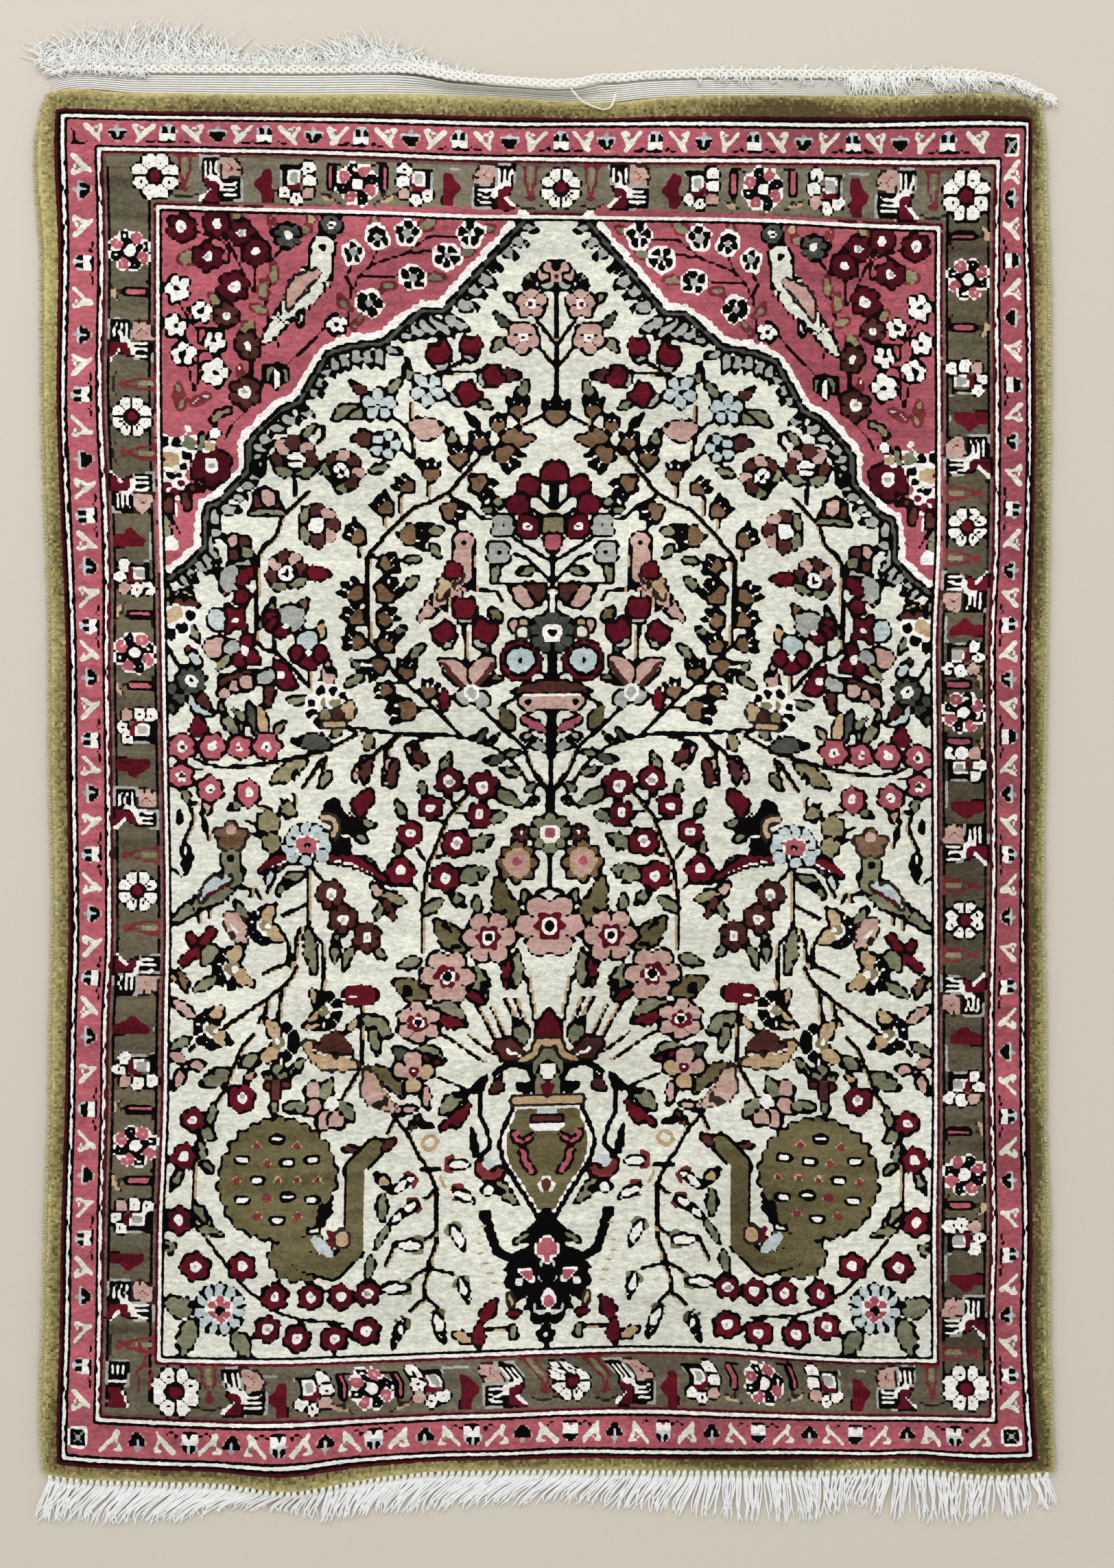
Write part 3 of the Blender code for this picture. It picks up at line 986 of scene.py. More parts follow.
@dataclass
class Borders:
    """The plain outer band, the guard stripe and the main border, with their white lines."""

    chart: Chart

    def draw(self) -> None:
        """Draw the bands and then what stands in them."""
        self.bands()
        self.guards()
        self.main_border()

    def bands(self) -> None:
        """Fill the bands as nested frames, from the outermost to the field."""
        frames = (
            # inset left and right, inset far, inset near, ink
            (0, 0, 0, Ink.MOSS),
            (6, 8, 5, Ink.WINE),
            (7, 9, 6, Ink.BLACK),
            (8, 10, 7, Ink.WHITE),
            (10, 12, 9, Ink.BLACK),
            (11, 13, 10, Ink.ROSE),
            (21, 23, 21, Ink.BLACK),
            (22, 24, 22, Ink.WHITE),
            (24, 26, 24, Ink.WINE),
            (25, 27, 25, Ink.UMBER),
            (26, 28, 26, Ink.GROUND),
            (43, 45, 44, Ink.UMBER),
            (44, 46, 45, Ink.WINE),
            (45, 47, 46, Ink.WHITE),
            (47, 49, 48, Ink.BLACK),
        )
        for side, far, near, ink in frames:
            self.chart.rows(far, ROWS - near, ink, side, COLUMNS - side)
        self.chart.rows(50, ROWS - 49, Ink.IVORY, 48, COLUMNS - 48)
        for start, stop, ink in ((26, 43, Ink.LODEN), (26, 27, Ink.BLACK), (42, 43, Ink.BLACK)):
            self.chart.rows(32, ROWS - 31, ink, start, stop)
            self.chart.rows(32, ROWS - 31, ink, COLUMNS - stop, COLUMNS - start)
        self.thin_lines()

    def thin_lines(self) -> None:
        """Wear the side lines down to one knot here and there, where the next band's silk covers them."""
        inks, rng = self.chart.inks, np.random.default_rng(Seed.SPECKS)
        for side, outer, inner in (
            (8, Ink.BLACK, Ink.BLACK),
            (22, Ink.BLACK, Ink.WINE),
            (45, Ink.WINE, Ink.BLACK),
        ):
            for columns in ((side, side + 1), (COLUMNS - side - 1, COLUMNS - side - 2)):
                worn = np.repeat(rng.random(ROWS // 2), 2)
                for column, ink, part in zip(columns, (outer, inner), (worn < 0.1, worn > 0.76)):
                    part = part & (inks[:, column] == Ink.WHITE)
                    part[: side + 4] = part[ROWS - side - 4 :] = False
                    inks[part, column] = ink

    def inner_lines(self) -> None:
        """The two thin lines round the field, again, over what grows up to them."""
        for side, far, near, ink in ((45, 47, 46, Ink.WHITE), (47, 49, 48, Ink.BLACK)):
            low, high, right = far, ROWS - near, COLUMNS - side
            width = 2 if ink is Ink.WHITE else 1
            self.chart.rows(low, low + width, ink, side, right)
            self.chart.rows(high - width, high, ink, side, right)
            self.chart.rows(low, high, ink, side, side + width)
            self.chart.rows(low, high, ink, right - width, right)

    def guards(self) -> None:
        """The guard stripe: buds and trefoils by turns, with a slanting Y between each two."""
        sides = {
            "far": (Turn.PLAIN, FAR_LINES, False, (2, 3)),
            "near": (Turn.UPRIGHT, NEAR_LINES, False, (2, 3)),
            "left": (Turn.LEFT_IN, LEFT_LINES, True, (2, 3)),
            "right": (Turn.RIGHT_IN, RIGHT_LINES, True, (2, 3)),
        }
        for side, (turn, lines, sideways, columns) in sides.items():
            buds, trefoils = GUARD_MOTIFS[side]
            stops = sorted([(at, True) for at in buds] + [(at, False) for at in trefoils])

            def pen(at: float) -> Pen:
                """A pen in the middle of the stripe at one place along it."""
                middle = sum(float(smooth(lines, at, c)) for c in columns) / 2
                return Pen(self.chart, (middle, at) if sideways else (at, middle), turn, 0.25)

            for at, is_bud in stops:
                self.bud(pen(at)) if is_bud else self.trefoil(pen(at))
            for (a, a_bud), (b, _) in zip(stops, stops[1:]):
                self.slant(pen((a + b) / 2), -1 if a_bud else 1)
            for at in GUARD_ENDS[side]:
                self.slant(pen(at), 1)
        for at in GUARD_CORNERS:
            pen_at = Pen(self.chart, at, wander=0.0)
            pen_at.shape([(-11, -11), (11, -11), (11, 11), (-11, 11)], Ink.BLACK, Ink.WHITE, 2.6)
            pen_at.stem([(-8, -8), (8, 8)], Ink.GREY, 3.0)
            pen_at.stem([(8, -8), (-8, 8)], Ink.GREY, 3.0)
        free = Pen(self.chart)
        for line in (
            ((103, 186), (110, 192), (106, 200), (114, 208)),
            ((104, 208), (112, 205), (124, 209), (127, 203)),
        ):
            free.stem(list(line), Ink.DARK, 3.4)

    @staticmethod
    def bud(pen: Pen) -> None:
        """A black bud, split by a pale thread, with a grey tip towards the rug's edge.

        Args:
            pen: The pen that draws it, set at its place.
        """
        pen.shape([(-12, -4), (12, -4), (10, 3), (3, 12), (-3, 12), (-10, 3)], Ink.BLACK, Ink.PINK, 2.2)
        pen.shape([(-6, -6), (0, -15), (6, -6)], Ink.GREY, None)
        pen.stem([(-13, -5), (13, -5)], Ink.PALE, 2.2)
        pen.stem([(0, -3), (0, 5)], Ink.PALE, 2.6)

    @staticmethod
    def trefoil(pen: Pen) -> None:
        """A trefoil with a black top and a white foot between two dark sprigs.

        Args:
            pen: The pen that draws it, set at its place.
        """
        pen.shape([(-10, 0), (-9, -8), (-4, -12), (4, -12), (9, -8), (10, 0)], Ink.BLACK, Ink.PALE, 2.0)
        pen.shape([(-11, 0), (11, 0), (11, 12), (3, 12), (0, 8), (-3, 12), (-11, 12)], Ink.WHITE, None)
        pen.stem([(0, -13), (0, -2)], Ink.PALE, 2.8)
        pen.stem([(-10, 13.5), (10, 13.5)], Ink.BLACK, 2.6)
        pen.stem([(0, 7), (0, 13)], Ink.BLACK, 2.6)
        for side in (-1, 1):
            pen.stem([(side * 14, 12), (side * 19, 9)], Ink.DARK, 3.6)
            pen.stem([(side * 22, 14), (side * 31, 12)], Ink.DARK, 3.6)

    @staticmethod
    def slant(pen: Pen, sense: int) -> None:
        """An ivory Y that leans away from the bud at its outer end.

        Args:
            pen: The pen that draws it, set at its place.
            sense: 1 or -1, for the way it leans.
        """
        s = sense
        pen.stem([(-14 * s, -12), (-4 * s, -2), (8 * s, 12)], Ink.IVORY, 6.4)
        pen.stem([(13 * s, -11), (7 * s, 0), (6 * s, 8)], Ink.IVORY, 5.2)
        pen.stem([(1 * s, -9), (9 * s, -12)], Ink.IVORY, 3.6)
        pen.stem([(4 * s, -5), (6 * s, -4)], Ink.KHAKI, 3.6)

    def main_border(self) -> None:
        """The main border's motifs, on all four sides."""
        for x, y, motif, sense in FAR_BORDER + NEAR_BORDER:
            self.place((x, y), Turn.PLAIN if sense > 0 else Turn.MIRRORED, motif)
        for y, x, motif, sense in LEFT_BORDER:
            self.place((x, y), Turn.LEFT_ON if sense > 0 else Turn.LEFT_BACK, motif)
        for y, x, motif, sense in RIGHT_BORDER:
            self.place((x, y), Turn.RIGHT_ON if sense > 0 else Turn.RIGHT_BACK, motif)
        for at in CORNER_ROSETTES:
            self.rosette(Pen(self.chart, at, wander=0.25), 33.5)
        self.corner_bars(Pen(self.chart, (172, 2020), wander=0.25))

    @staticmethod
    def corner_bars(pen: Pen) -> None:
        """The barred block over a crimson heart in the near left corner.

        Args:
            pen: The pen that draws it, set at its place.
        """
        pen.shape([(-15, -34), (15, -34), (13, 0), (-14, 0)], Ink.BLACK, Ink.GREY, 2.0)
        for x in (-8, 0, 8):
            pen.stem([(x, -28), (x - 1, -16)], Ink.WHITE, 3.8)
        pen.stem([(-11, -8), (10, -6)], Ink.WHITE, 3.8)
        pen.shape([(-14, 3), (6, 3), (9, 14), (13, 30), (-14, 30), (-10, 14)], Ink.CRIMSON, Ink.DARK, 3.0)
        pen.stem([(6, 8), (14, 30)], Ink.WHITE, 3.6)
        for points in (
            ((28, -60), (38, -48), (36, -30)), ((36, -30), (26, -20), (30, 8)),
            ((38, -30), (46, -22), (42, 6)),
        ):
            pen.stem(list(points), Ink.RUST, 4.0)

    def place(self, at: tuple[float, float], turn: Turn, motif: Motif) -> None:
        """Draw one motif of the main border."""
        getattr(self, motif.value)(Pen(self.chart, at, turn, 0.25))

    @staticmethod
    def rosette(pen: Pen, size: float = 28.5) -> None:
        """A white flower of eight petals, each with a black dot, round a crimson middle.

        Args:
            pen: The pen that draws it, set at its place.
            size: Its radius, or a bud's half height, in drawing units.
        """
        pen.flower(0, 0, size, 8, Ink.WHITE, Ink.BLACK, 0.16, 22.5, rim_width=3.4)
        pen.rays(0, 0, size * 0.3, size * 0.95, 8, Ink.BLACK, 3.2)
        pen.disc(0, 0, size * 0.4, Ink.WHITE)
        for angle in np.radians(22.5 + 45 * np.arange(8)):
            pen.disc(0.65 * size * math.sin(angle), -0.65 * size * math.cos(angle), 2.5, Ink.BLACK)
        pen.disc(0, 0, size * 0.27, Ink.CRIMSON, Ink.DARK)

    @staticmethod
    def eight(pen: Pen) -> None:
        """A flower of eight petals, by turns black and rose, round a white middle.

        Args:
            pen: The pen that draws it, set at its place.
        """
        spots = [(k, math.radians(-17 + 45 * k)) for k in range(8)]
        for k, angle in spots:
            ink = Ink.ROSE if k % 2 else Ink.BLACK
            x, y = 21 * math.sin(angle), -21 * math.cos(angle)
            pen.flower(x, y, 8.6, 1, ink, Ink.WHITE, 0.0, rim_width=2.6)
        for k, angle in spots:
            x, y = math.sin(angle), -math.cos(angle)
            pen.disc(15 * x, 15 * y, 5.0, Ink.ROSE if k % 2 else Ink.BLACK)
            pen.disc(22 * x, 22 * y, 2.6, Ink.PINK if k % 2 else Ink.WHITE)
        pen.disc(0, 0, 8.6, Ink.WHITE, Ink.BLACK)

    @staticmethod
    def palmette(pen: Pen) -> None:
        """Quarters: barred black and white, a pink fan, a crimson heart and bars the other way.

        Args:
            pen: The pen that draws it, set at its place.
        """
        pen.shape([(-27, -31), (-2, -31), (-2, -3), (-24, -5)], Ink.BLACK, Ink.GREY, 2.0)
        for x in (-21, -12.5, -4):
            pen.stem([(x, -25), (x + 1, -7)], Ink.WHITE, 3.8)
        pen.shape([(2, -31), (24, -28), (31, -14), (28, -4), (4, -3)], Ink.PINK, Ink.BARK, 3.0)
        pen.stem([(30, -26), (24, -24)], Ink.DARK, 3.2)
        pen.stem([(31, -12), (25, -13)], Ink.DARK, 3.2)
        pen.stem([(10, -24), (18, -16), (12, -10)], Ink.RUST, 2.4)
        pen.shape([(2, 0), (31, 0), (31, 29), (2, 31)], Ink.BLACK, Ink.GREY, 2.0)
        for y in (6, 14, 22):
            pen.stem([(5, y), (15, y + 1), (25, y - 1)], Ink.WHITE, 3.8)
        pen.shape([(-22, 0), (-3, 4), (-1, 30), (-24, 31), (-14, 16)], Ink.CRIMSON, Ink.DARK, 3.4)
        pen.stem([(-28, 29), (-20, 22), (-12, 15)], Ink.WHITE, 4.2)
        pen.stem([(-16, -3), (-4, 0), (2, 5), (2, 13)], Ink.WHITE, 6.5)

    @staticmethod
    def heart(pen: Pen) -> None:
        """A crimson half heart with its straight side towards the half flower.

        Args:
            pen: The pen that draws it, set at its place.
        """
        pen.shape(
            [(10, -20), (-2, -21), (-8, -10), (-18, 1), (-15, 8), (-8, 14), (-6, 28), (8, 29), (13, 22), (9, 8)],
            Ink.CRIMSON,
            None,
        )
        pen.stem([(12, 12), (11, 26)], Ink.DARK, 3.2)

    @staticmethod
    def half(pen: Pen) -> None:
        """Half a white flower with a black bracket round its crimson and grey middle.

        Args:
            pen: The pen that draws it, set at its place.
        """
        for x, y, size in ((18, -20, 9.5), (20, -3, 9.5), (1, 22, 8.6), (-15, 15, 8.6)):
            pen.flower(x, y, size, 1, Ink.WHITE, Ink.BLACK, 0.0, rim_width=3.0)
            pen.disc(x, y, 2.5, Ink.BLACK)
        pen.flower(18, 15, 9, 3, Ink.PINK, Ink.DARK, 0.12, rim_width=2.6)
        pen.stem([(6, -6), (5, 6), (-10, 7)], Ink.CRIMSON, 6.0)
        pen.shape([(-9, -15), (3, -15), (3, -2), (-9, 1)], Ink.GREY, Ink.WHITE, 3.0)
        pen.stem([(-20, -21), (5, -21)], Ink.BLACK, 6.4)
        pen.stem([(-15, -19), (-15, 6)], Ink.BLACK, 5.4)
        pen.stem([(-62, -25), (-24, -26), (-20, -12), (-20, 6)], Ink.GREY, 2.2)

    @staticmethod
    def bar(pen: Pen) -> None:
        """A rose bar with a dark outline over a hooked twig.

        Args:
            pen: The pen that draws it, set at its place.
        """
        pen.stem([(0, -20), (0, 8)], Ink.ROSE, 5.0, Ink.BLACK)
        pen.stem([(2, -24), (10, -25), (18, -22)], Ink.DARK, 3.4)
        pen.stem([(-16, 16), (-6, 22), (2, 17), (0, 26), (14, 31)], Ink.BARK, 3.2)
        pen.stem([(-13, 22), (-5, 27), (4, 27)], Ink.TAN, 4.2)

    @staticmethod
    def column(pen: Pen) -> None:
        """A narrow vase shape in rust outline on the border's ground.

        Args:
            pen: The pen that draws it, set at its place.
        """
        pen.stem([(-13, -29), (-8, -26), (-8, -8), (-3, 6), (-1, 21)], Ink.RUST, 4.2)
        pen.stem([(13, -29), (8, -26), (8, -8), (3, 6), (-1, 21)], Ink.RUST, 4.2)
        pen.stem([(0, -24), (0, -8)], Ink.KHAKI, 7.0)
        pen.stem([(-13, -29), (13, -29)], Ink.RUST, 3.6)
        pen.stem([(-7, 17), (-1, 21), (7, 16)], Ink.RUST, 3.6)
        pen.stem([(-18, 27), (-6, 31), (8, 31), (18, 26)], Ink.BARK, 3.2)


# ---------------------------------------------------------------------------------------------- field


class Bloom(Enum):
    """The kinds of flower and bud in the field."""

    WINE = "wine"
    BROWN = "brown"
    WHITE = "white"
    EBONY = "ebony"
    SAGE = "sage"
    PINK = "pink"
    BLUE = "blue"
    STAR = "star"
    ROSE = "rose"
    BUD = "bud"
    TULIP = "tulip"
    FAN = "fan"
    BLOSSOM = "blossom"
    RING = "ring"
    TEAR = "tear"
    SEPAL = "sepal"


@dataclass
class Flora:
    """Draws flowers. Each stands upright in its own units, its middle at 0, its size 1 from there."""

    chart: Chart

    def grow(self, rows: tuple) -> None:
        """Draw flowers from a table of kind, x, y, size and clockwise turn."""
        for kind, x, y, size, turn in rows:
            getattr(self, kind.value)(Pen(self.chart, (x, y), float(turn)), size)

    def leaves(self, rows: tuple, rim: Ink = Ink.BLACK) -> None:
        """Draw leaves from a table of tail x and y, tip x and y, width, silk and bend.

        Args:
            rows: The table's rows.
            rim: The outline's silk, or none.
        """
        pen = Pen(self.chart)
        for x, y, tip_x, tip_y, width, ink, bend in rows:
            pen.leaf((x, y), (tip_x, tip_y), width, ink, rim, bend)

    def stems(self, rows: tuple, ink: Ink = Ink.BLACK, width: float = 5.4) -> None:
        """Draw stems, each from a row of points.

        Args:
            rows: A row of points for each stem.
            ink: Their silk.
            width: Their width, in drawing units.
        """
        pen = Pen(self.chart)
        for points in rows:
            if ink is Ink.BLACK:
                pen.stem([(x + 3.2, y + 1.4) for x, y in points], Ink.TAN, 3.8)
            pen.stem(list(points), ink, width)

    @staticmethod
    def poly(pen: Pen, size: float, points: Points, ink: Ink | None, rim: Ink | None = Ink.BLACK) -> None:
        """A closed outline whose points are shares of a flower's size."""
        pen.shape([(size * x, size * y) for x, y in points], ink, rim)

    @staticmethod
    def fowl(pen: Pen, head: tuple, breast: tuple, rump: tuple, size: float, ink: Ink, wing: Ink) -> None:
        """A bird of plain forms: a round head, a thick neck, leaves for its body, tail and wing.

        Args:
            pen: The pen that draws it, set at its place.
            head: The head's middle.
            breast: The breast, where the neck ends.
            rump: The rump, which gives the body's way and length.
            size: What all its breadths are worked out from, in drawing units.
            ink: The body's silk.
            wing: The wing's silk.
        """
        (hx, hy), (bx, by), (rx, ry) = head, breast, rump
        dx, dy = rx - bx, ry - by
        pen.leaf((bx + 0.6 * dx, by + 0.6 * dy), (bx + 1.75 * dx, by + 1.75 * dy), size * 0.8, ink)
        pen.leaf((bx - 0.3 * dx, by - 0.3 * dy), (bx + 1.15 * dx, by + 1.15 * dy), size * 1.55, ink)
        pen.stem([(hx, hy), (bx, by)], ink, size * 0.95, Ink.BLACK)
        pen.disc(hx, hy, size * 0.52, ink, Ink.BLACK)
        pen.stem([(hx, hy), (bx, by), (bx + 0.5 * dx, by + 0.5 * dy)], ink, size * 0.8)
        pen.leaf((bx + 0.05 * dx, by), (bx + 0.95 * dx, by + 0.9 * dy), size * 0.8, wing, Ink.BARK, 0.12)
        pen.stem([(bx + 0.25 * dx, by + 0.25 * dy), (bx + 0.7 * dx, by + 0.7 * dy)], Ink.BARK, 3.4)
        pen.disc(hx, hy, 4.6, Ink.BLACK)

    @staticmethod
    def wine(pen: Pen, size: float, ink: Ink = Ink.WINE) -> None:
        """A dark flower of six petals with a white eye.

        Args:
            pen: The pen that draws it, set at its place.
            size: Its radius, or a bud's half height, in drawing units.
            ink: Its silk.
        """
        pen.flower(0, 0, size, 6, ink, Ink.DARK, 0.2)
        pen.rays(0, 0, size * 0.5, size * 0.95, 6, Ink.DARK, 2.2, 30)
        pen.disc(0, 0, size * 0.36, Ink.WHITE)
        pen.disc(0, 0, size * 0.14, Ink.GREY)

    @staticmethod
    def brown(pen: Pen, size: float) -> None:
        """A brown flower with a white eye."""
        Flora.wine(pen, size, Ink.MAROON)

    @staticmethod
    def white(pen: Pen, size: float) -> None:
        """A white flower of five petals with a black eye and one dark parting.

        Args:
            pen: The pen that draws it, set at its place.
            size: Its radius, or a bud's half height, in drawing units.
        """
        pen.flower(0, 0, size, 5, Ink.WHITE, Ink.BLACK, 0.34)
        pen.rays(0, 0, size * 0.5, size * 0.95, 5, Ink.BLACK, 2.2, 36)
        pen.disc(0, 0, size * 0.26, Ink.BLACK)
        pen.stem([(0, 0), (size * 0.5, -size * 0.75)], Ink.BLACK, 3.0)

    @staticmethod
    def ebony(pen: Pen, size: float) -> None:
        """A black flower whose petals are outlined and parted in white.

        Args:
            pen: The pen that draws it, set at its place.
            size: Its radius, or a bud's half height, in drawing units.
        """
        pen.flower(0, 0, size * 0.86, 5, Ink.BLACK, Ink.WHITE, 0.18, rim_width=4.2)
        pen.rays(0, 0, 0, size * 0.84, 5, Ink.WHITE, 2.8, 36)
        pen.disc(0, 0, size * 0.26, Ink.GREY)

    @staticmethod
    def sage(pen: Pen, size: float) -> None:
        """A dark sage flower of many narrow petals with a white eye.

        Args:
            pen: The pen that draws it, set at its place.
            size: Its radius, or a bud's half height, in drawing units.
        """
        pen.flower(0, 0, size, 9, Ink.SLATE, Ink.BLACK, 0.16)
        pen.rays(0, 0, size * 0.45, size, 9, Ink.BLACK, 2.2, 20)
        pen.disc(0, 0, size * 0.42, Ink.WHITE)
        pen.disc(0, 0, size * 0.16, Ink.BLACK)

    @staticmethod
    def pink(pen: Pen, size: float) -> None:
        """A pale pink flower of five petals.

        Args:
            pen: The pen that draws it, set at its place.
            size: Its radius, or a bud's half height, in drawing units.
        """
        pen.flower(0, 0, size, 5, Ink.PINK, Ink.BLACK, 0.24)
        pen.rays(0, 0, size * 0.3, size * 0.95, 5, Ink.BLACK, 2.6, 36)
        pen.disc(0, 0, size * 0.28, Ink.WHITE)
        pen.disc(0, 0, size * 0.13, Ink.CRIMSON)

    @staticmethod
    def blue(pen: Pen, size: float) -> None:
        """A pale blue-grey flower of five petals, parted by dark lines.

        Args:
            pen: The pen that draws it, set at its place.
            size: Its radius, or a bud's half height, in drawing units.
        """
        pen.flower(0, 0, size, 5, Ink.PALE, Ink.BLACK, 0.3)
        pen.rays(0, 0, size * 0.25, size * 0.95, 5, Ink.BLACK, 3.6, 36)
        pen.disc(0, 0, size * 0.15, Ink.BLACK)

    @staticmethod
    def star(pen: Pen, size: float) -> None:
        """A crimson flower of six petals round a white star.

        Args:
            pen: The pen that draws it, set at its place.
            size: Its radius, or a bud's half height, in drawing units.
        """
        pen.flower(0, 0, size * 0.94, 6, Ink.CRIMSON, Ink.BLACK, 0.24)
        pen.disc(0, 0, size * 0.38, Ink.WHITE)
        pen.disc(0, 0, size * 0.14, Ink.GREY)

    @staticmethod
    def rose(pen: Pen, size: float) -> None:
        """A rose-red flower of six petals with a white eye.

        Args:
            pen: The pen that draws it, set at its place.
            size: Its radius, or a bud's half height, in drawing units.
        """
        pen.flower(0, 0, size, 6, Ink.ROSE, Ink.DARK, 0.2)
        pen.flower(0, 0, size * 0.45, 5, Ink.WHITE, None, 0.3)
        pen.disc(0, 0, size * 0.18, Ink.BARK)

    @staticmethod
    def bud(pen: Pen, size: float) -> None:
        """A crimson bud in a grey calyx.

        Args:
            pen: The pen that draws it, set at its place.
            size: Its radius, or a bud's half height, in drawing units.
        """
        poly = Flora.poly
        poly(pen, size, [(-0.75, 0.1), (-0.4, 0.8), (0, 1), (0.4, 0.8), (0.75, 0.1)], Ink.GREY)
        top = [(-0.5, 0.4), (-0.8, -0.2), (-0.6, -0.85), (0, -0.6), (0.5, -0.95), (0.8, -0.3), (0.55, 0.4)]
        poly(pen, size, top, Ink.CRIMSON, Ink.DARK)

    @staticmethod
    def tulip(pen: Pen, size: float) -> None:
        """A brown tulip with a black jagged crown.

        Args:
            pen: The pen that draws it, set at its place.
            size: Its radius, or a bud's half height, in drawing units.
        """
        poly = Flora.poly
        poly(pen, size, [(-0.5, -0.1), (-0.62, 0.45), (0, 1), (0.62, 0.45), (0.5, -0.1)], Ink.TULIP)
        crown = [(-0.9, -0.8), (-0.4, -0.6), (0, -1), (0.4, -0.6), (0.9, -0.8), (0.85, 0), (-0.85, 0)]
        poly(pen, size, crown, Ink.BLACK, None)
        for x in (-0.34, 0.34):
            pen.stem([(size * x, -size * 0.42), (size * x * 0.7, -size * 0.12)], Ink.WHITE, 2.8)

    @staticmethod
    def fan(pen: Pen, size: float) -> None:
        """A palmette: maroon and pink petals over a chequered heart, between two sage sepals.

        Args:
            pen: The pen that draws it, set at its place.
            size: Its radius, or a bud's half height, in drawing units.
        """
        for side in (-1, 1):
            tip = (side * size * 0.95, size * 0.1)
            pen.leaf((0, size * 0.7), tip, size * 0.5, Ink.SAGE, Ink.BLACK, side * 0.15)
        for k, angle in enumerate((-92, -46, 0, 46, 92)):
            a = math.radians(angle)
            x, y = 0.66 * size * math.sin(a), -0.66 * size * math.cos(a)
            pen.flower(x, y, size * 0.33, 1, (Ink.MAROON, Ink.PINK)[k % 2], Ink.BLACK, 0, rim_width=2.6)
        pen.disc(0, size * 0.1, size * 0.36, Ink.WHITE, Ink.BLACK)
        pen.stem([(-size * 0.3, size * 0.1), (size * 0.3, size * 0.1)], Ink.BLACK, 2.6)
        pen.stem([(0, -size * 0.2), (0, size * 0.4)], Ink.BLACK, 2.6)

    @staticmethod
    def blossom(pen: Pen, size: float) -> None:
        """A broad pink flower with a crimson cross, outlined white, round a black middle.

        Args:
            pen: The pen that draws it, set at its place.
            size: Its radius, or a bud's half height, in drawing units.
        """
        pen.flower(0, 0, size, 6, Ink.PINK, Ink.BLACK, 0.26, 0, 0.92)
        pen.rays(0, 0, size * 0.5, size * 0.95, 6, Ink.BLACK, 2.8, 30)
        pen.flower(0, 0, size * 0.5, 6, Ink.CRIMSON, Ink.PINK, 0.3, 0, 0.92, 2.0)
        pen.disc(0, 0, size * 0.26, Ink.WHITE)
        pen.disc(0, 0, size * 0.17, Ink.BLACK)

    @staticmethod
    def ring(pen: Pen, size: float) -> None:
        """A round crimson flower with a large pale middle.

        Args:
            pen: The pen that draws it, set at its place.
            size: Its radius, or a bud's half height, in drawing units.
        """
        pen.flower(0, 0, size, 9, Ink.CRIMSON, Ink.DARK, 0.12)
        pen.disc(0, 0, size * 0.64, Ink.PALE, Ink.BLACK)
        pen.disc(0, 0, size * 0.16, Ink.BLACK)

    @staticmethod
    def tear(pen: Pen, size: float) -> None:
        """A crimson drop."""
        pen.leaf((0, size), (0, -size), size * 1.1, Ink.CRIMSON, Ink.DARK)

    @staticmethod
    def sepal(pen: Pen, size: float) -> None:
        """A small sage bud of three leaves with a white tip.

        Args:
            pen: The pen that draws it, set at its place.
            size: Its radius, or a bud's half height, in drawing units.
        """
        for side in (-1, 1):
            tip = (side * size * 0.8, -size * 0.4)
            pen.leaf((0, size), tip, size * 0.6, Ink.SAGE, Ink.BLACK, side * 0.2)
        pen.leaf((0, size * 0.9), (0, -size), size * 0.6, Ink.WHITE, Ink.BLACK)


# The rose corner's flowers: kind, x, y, size, turn.
CORNER_FLOWERS = (
    (Bloom.WINE, 265, 331, 19.5, 5),
    (Bloom.WINE, 316.5, 325.5, 18, 0),
    (Bloom.WINE, 352, 339, 18.5, 20),
    (Bloom.WINE, 373, 367.5, 19.5, 0),
    (Bloom.WINE, 303, 374, 20, 0),
    (Bloom.WINE, 340, 418, 21, 10),
    (Bloom.BROWN, 330, 460, 17.5, 0),
    (Bloom.BROWN, 361.5, 503, 19, 15),
    (Bloom.BROWN, 358, 571, 22, 0),
    (Bloom.WHITE, 259, 420, 19.5, -20),
    (Bloom.WHITE, 292, 454.5, 15.5, 0),
    (Bloom.WHITE, 256, 475.5, 16.5, 0),
    (Bloom.WHITE, 312, 496.5, 17.5, -30),
    (Bloom.WHITE, 266.5, 516, 17, 0),
    (Bloom.WHITE, 313.5, 542.5, 20, 90),
    (Bloom.SAGE, 419, 343, 19, 0),
    (Bloom.SAGE, 483, 328, 15, 0),
    (Bloom.EBONY, 514, 369, 18, 0),
    (Bloom.EBONY, 550.5, 346, 18, 36),
    (Bloom.EBONY, 593, 339.5, 18.5, 10),
    (Bloom.EBONY, 686, 341, 20, 0),
    (Bloom.EBONY, 651.5, 374, 21, 36),
    (Bloom.EBONY, 603, 405, 20, 0),
    (Bloom.EBONY, 539, 441.5, 20.5, 20),
    (Bloom.WHITE, 490, 473, 14, 60),
    (Bloom.SEPAL, 404, 549, 16, 180),
)
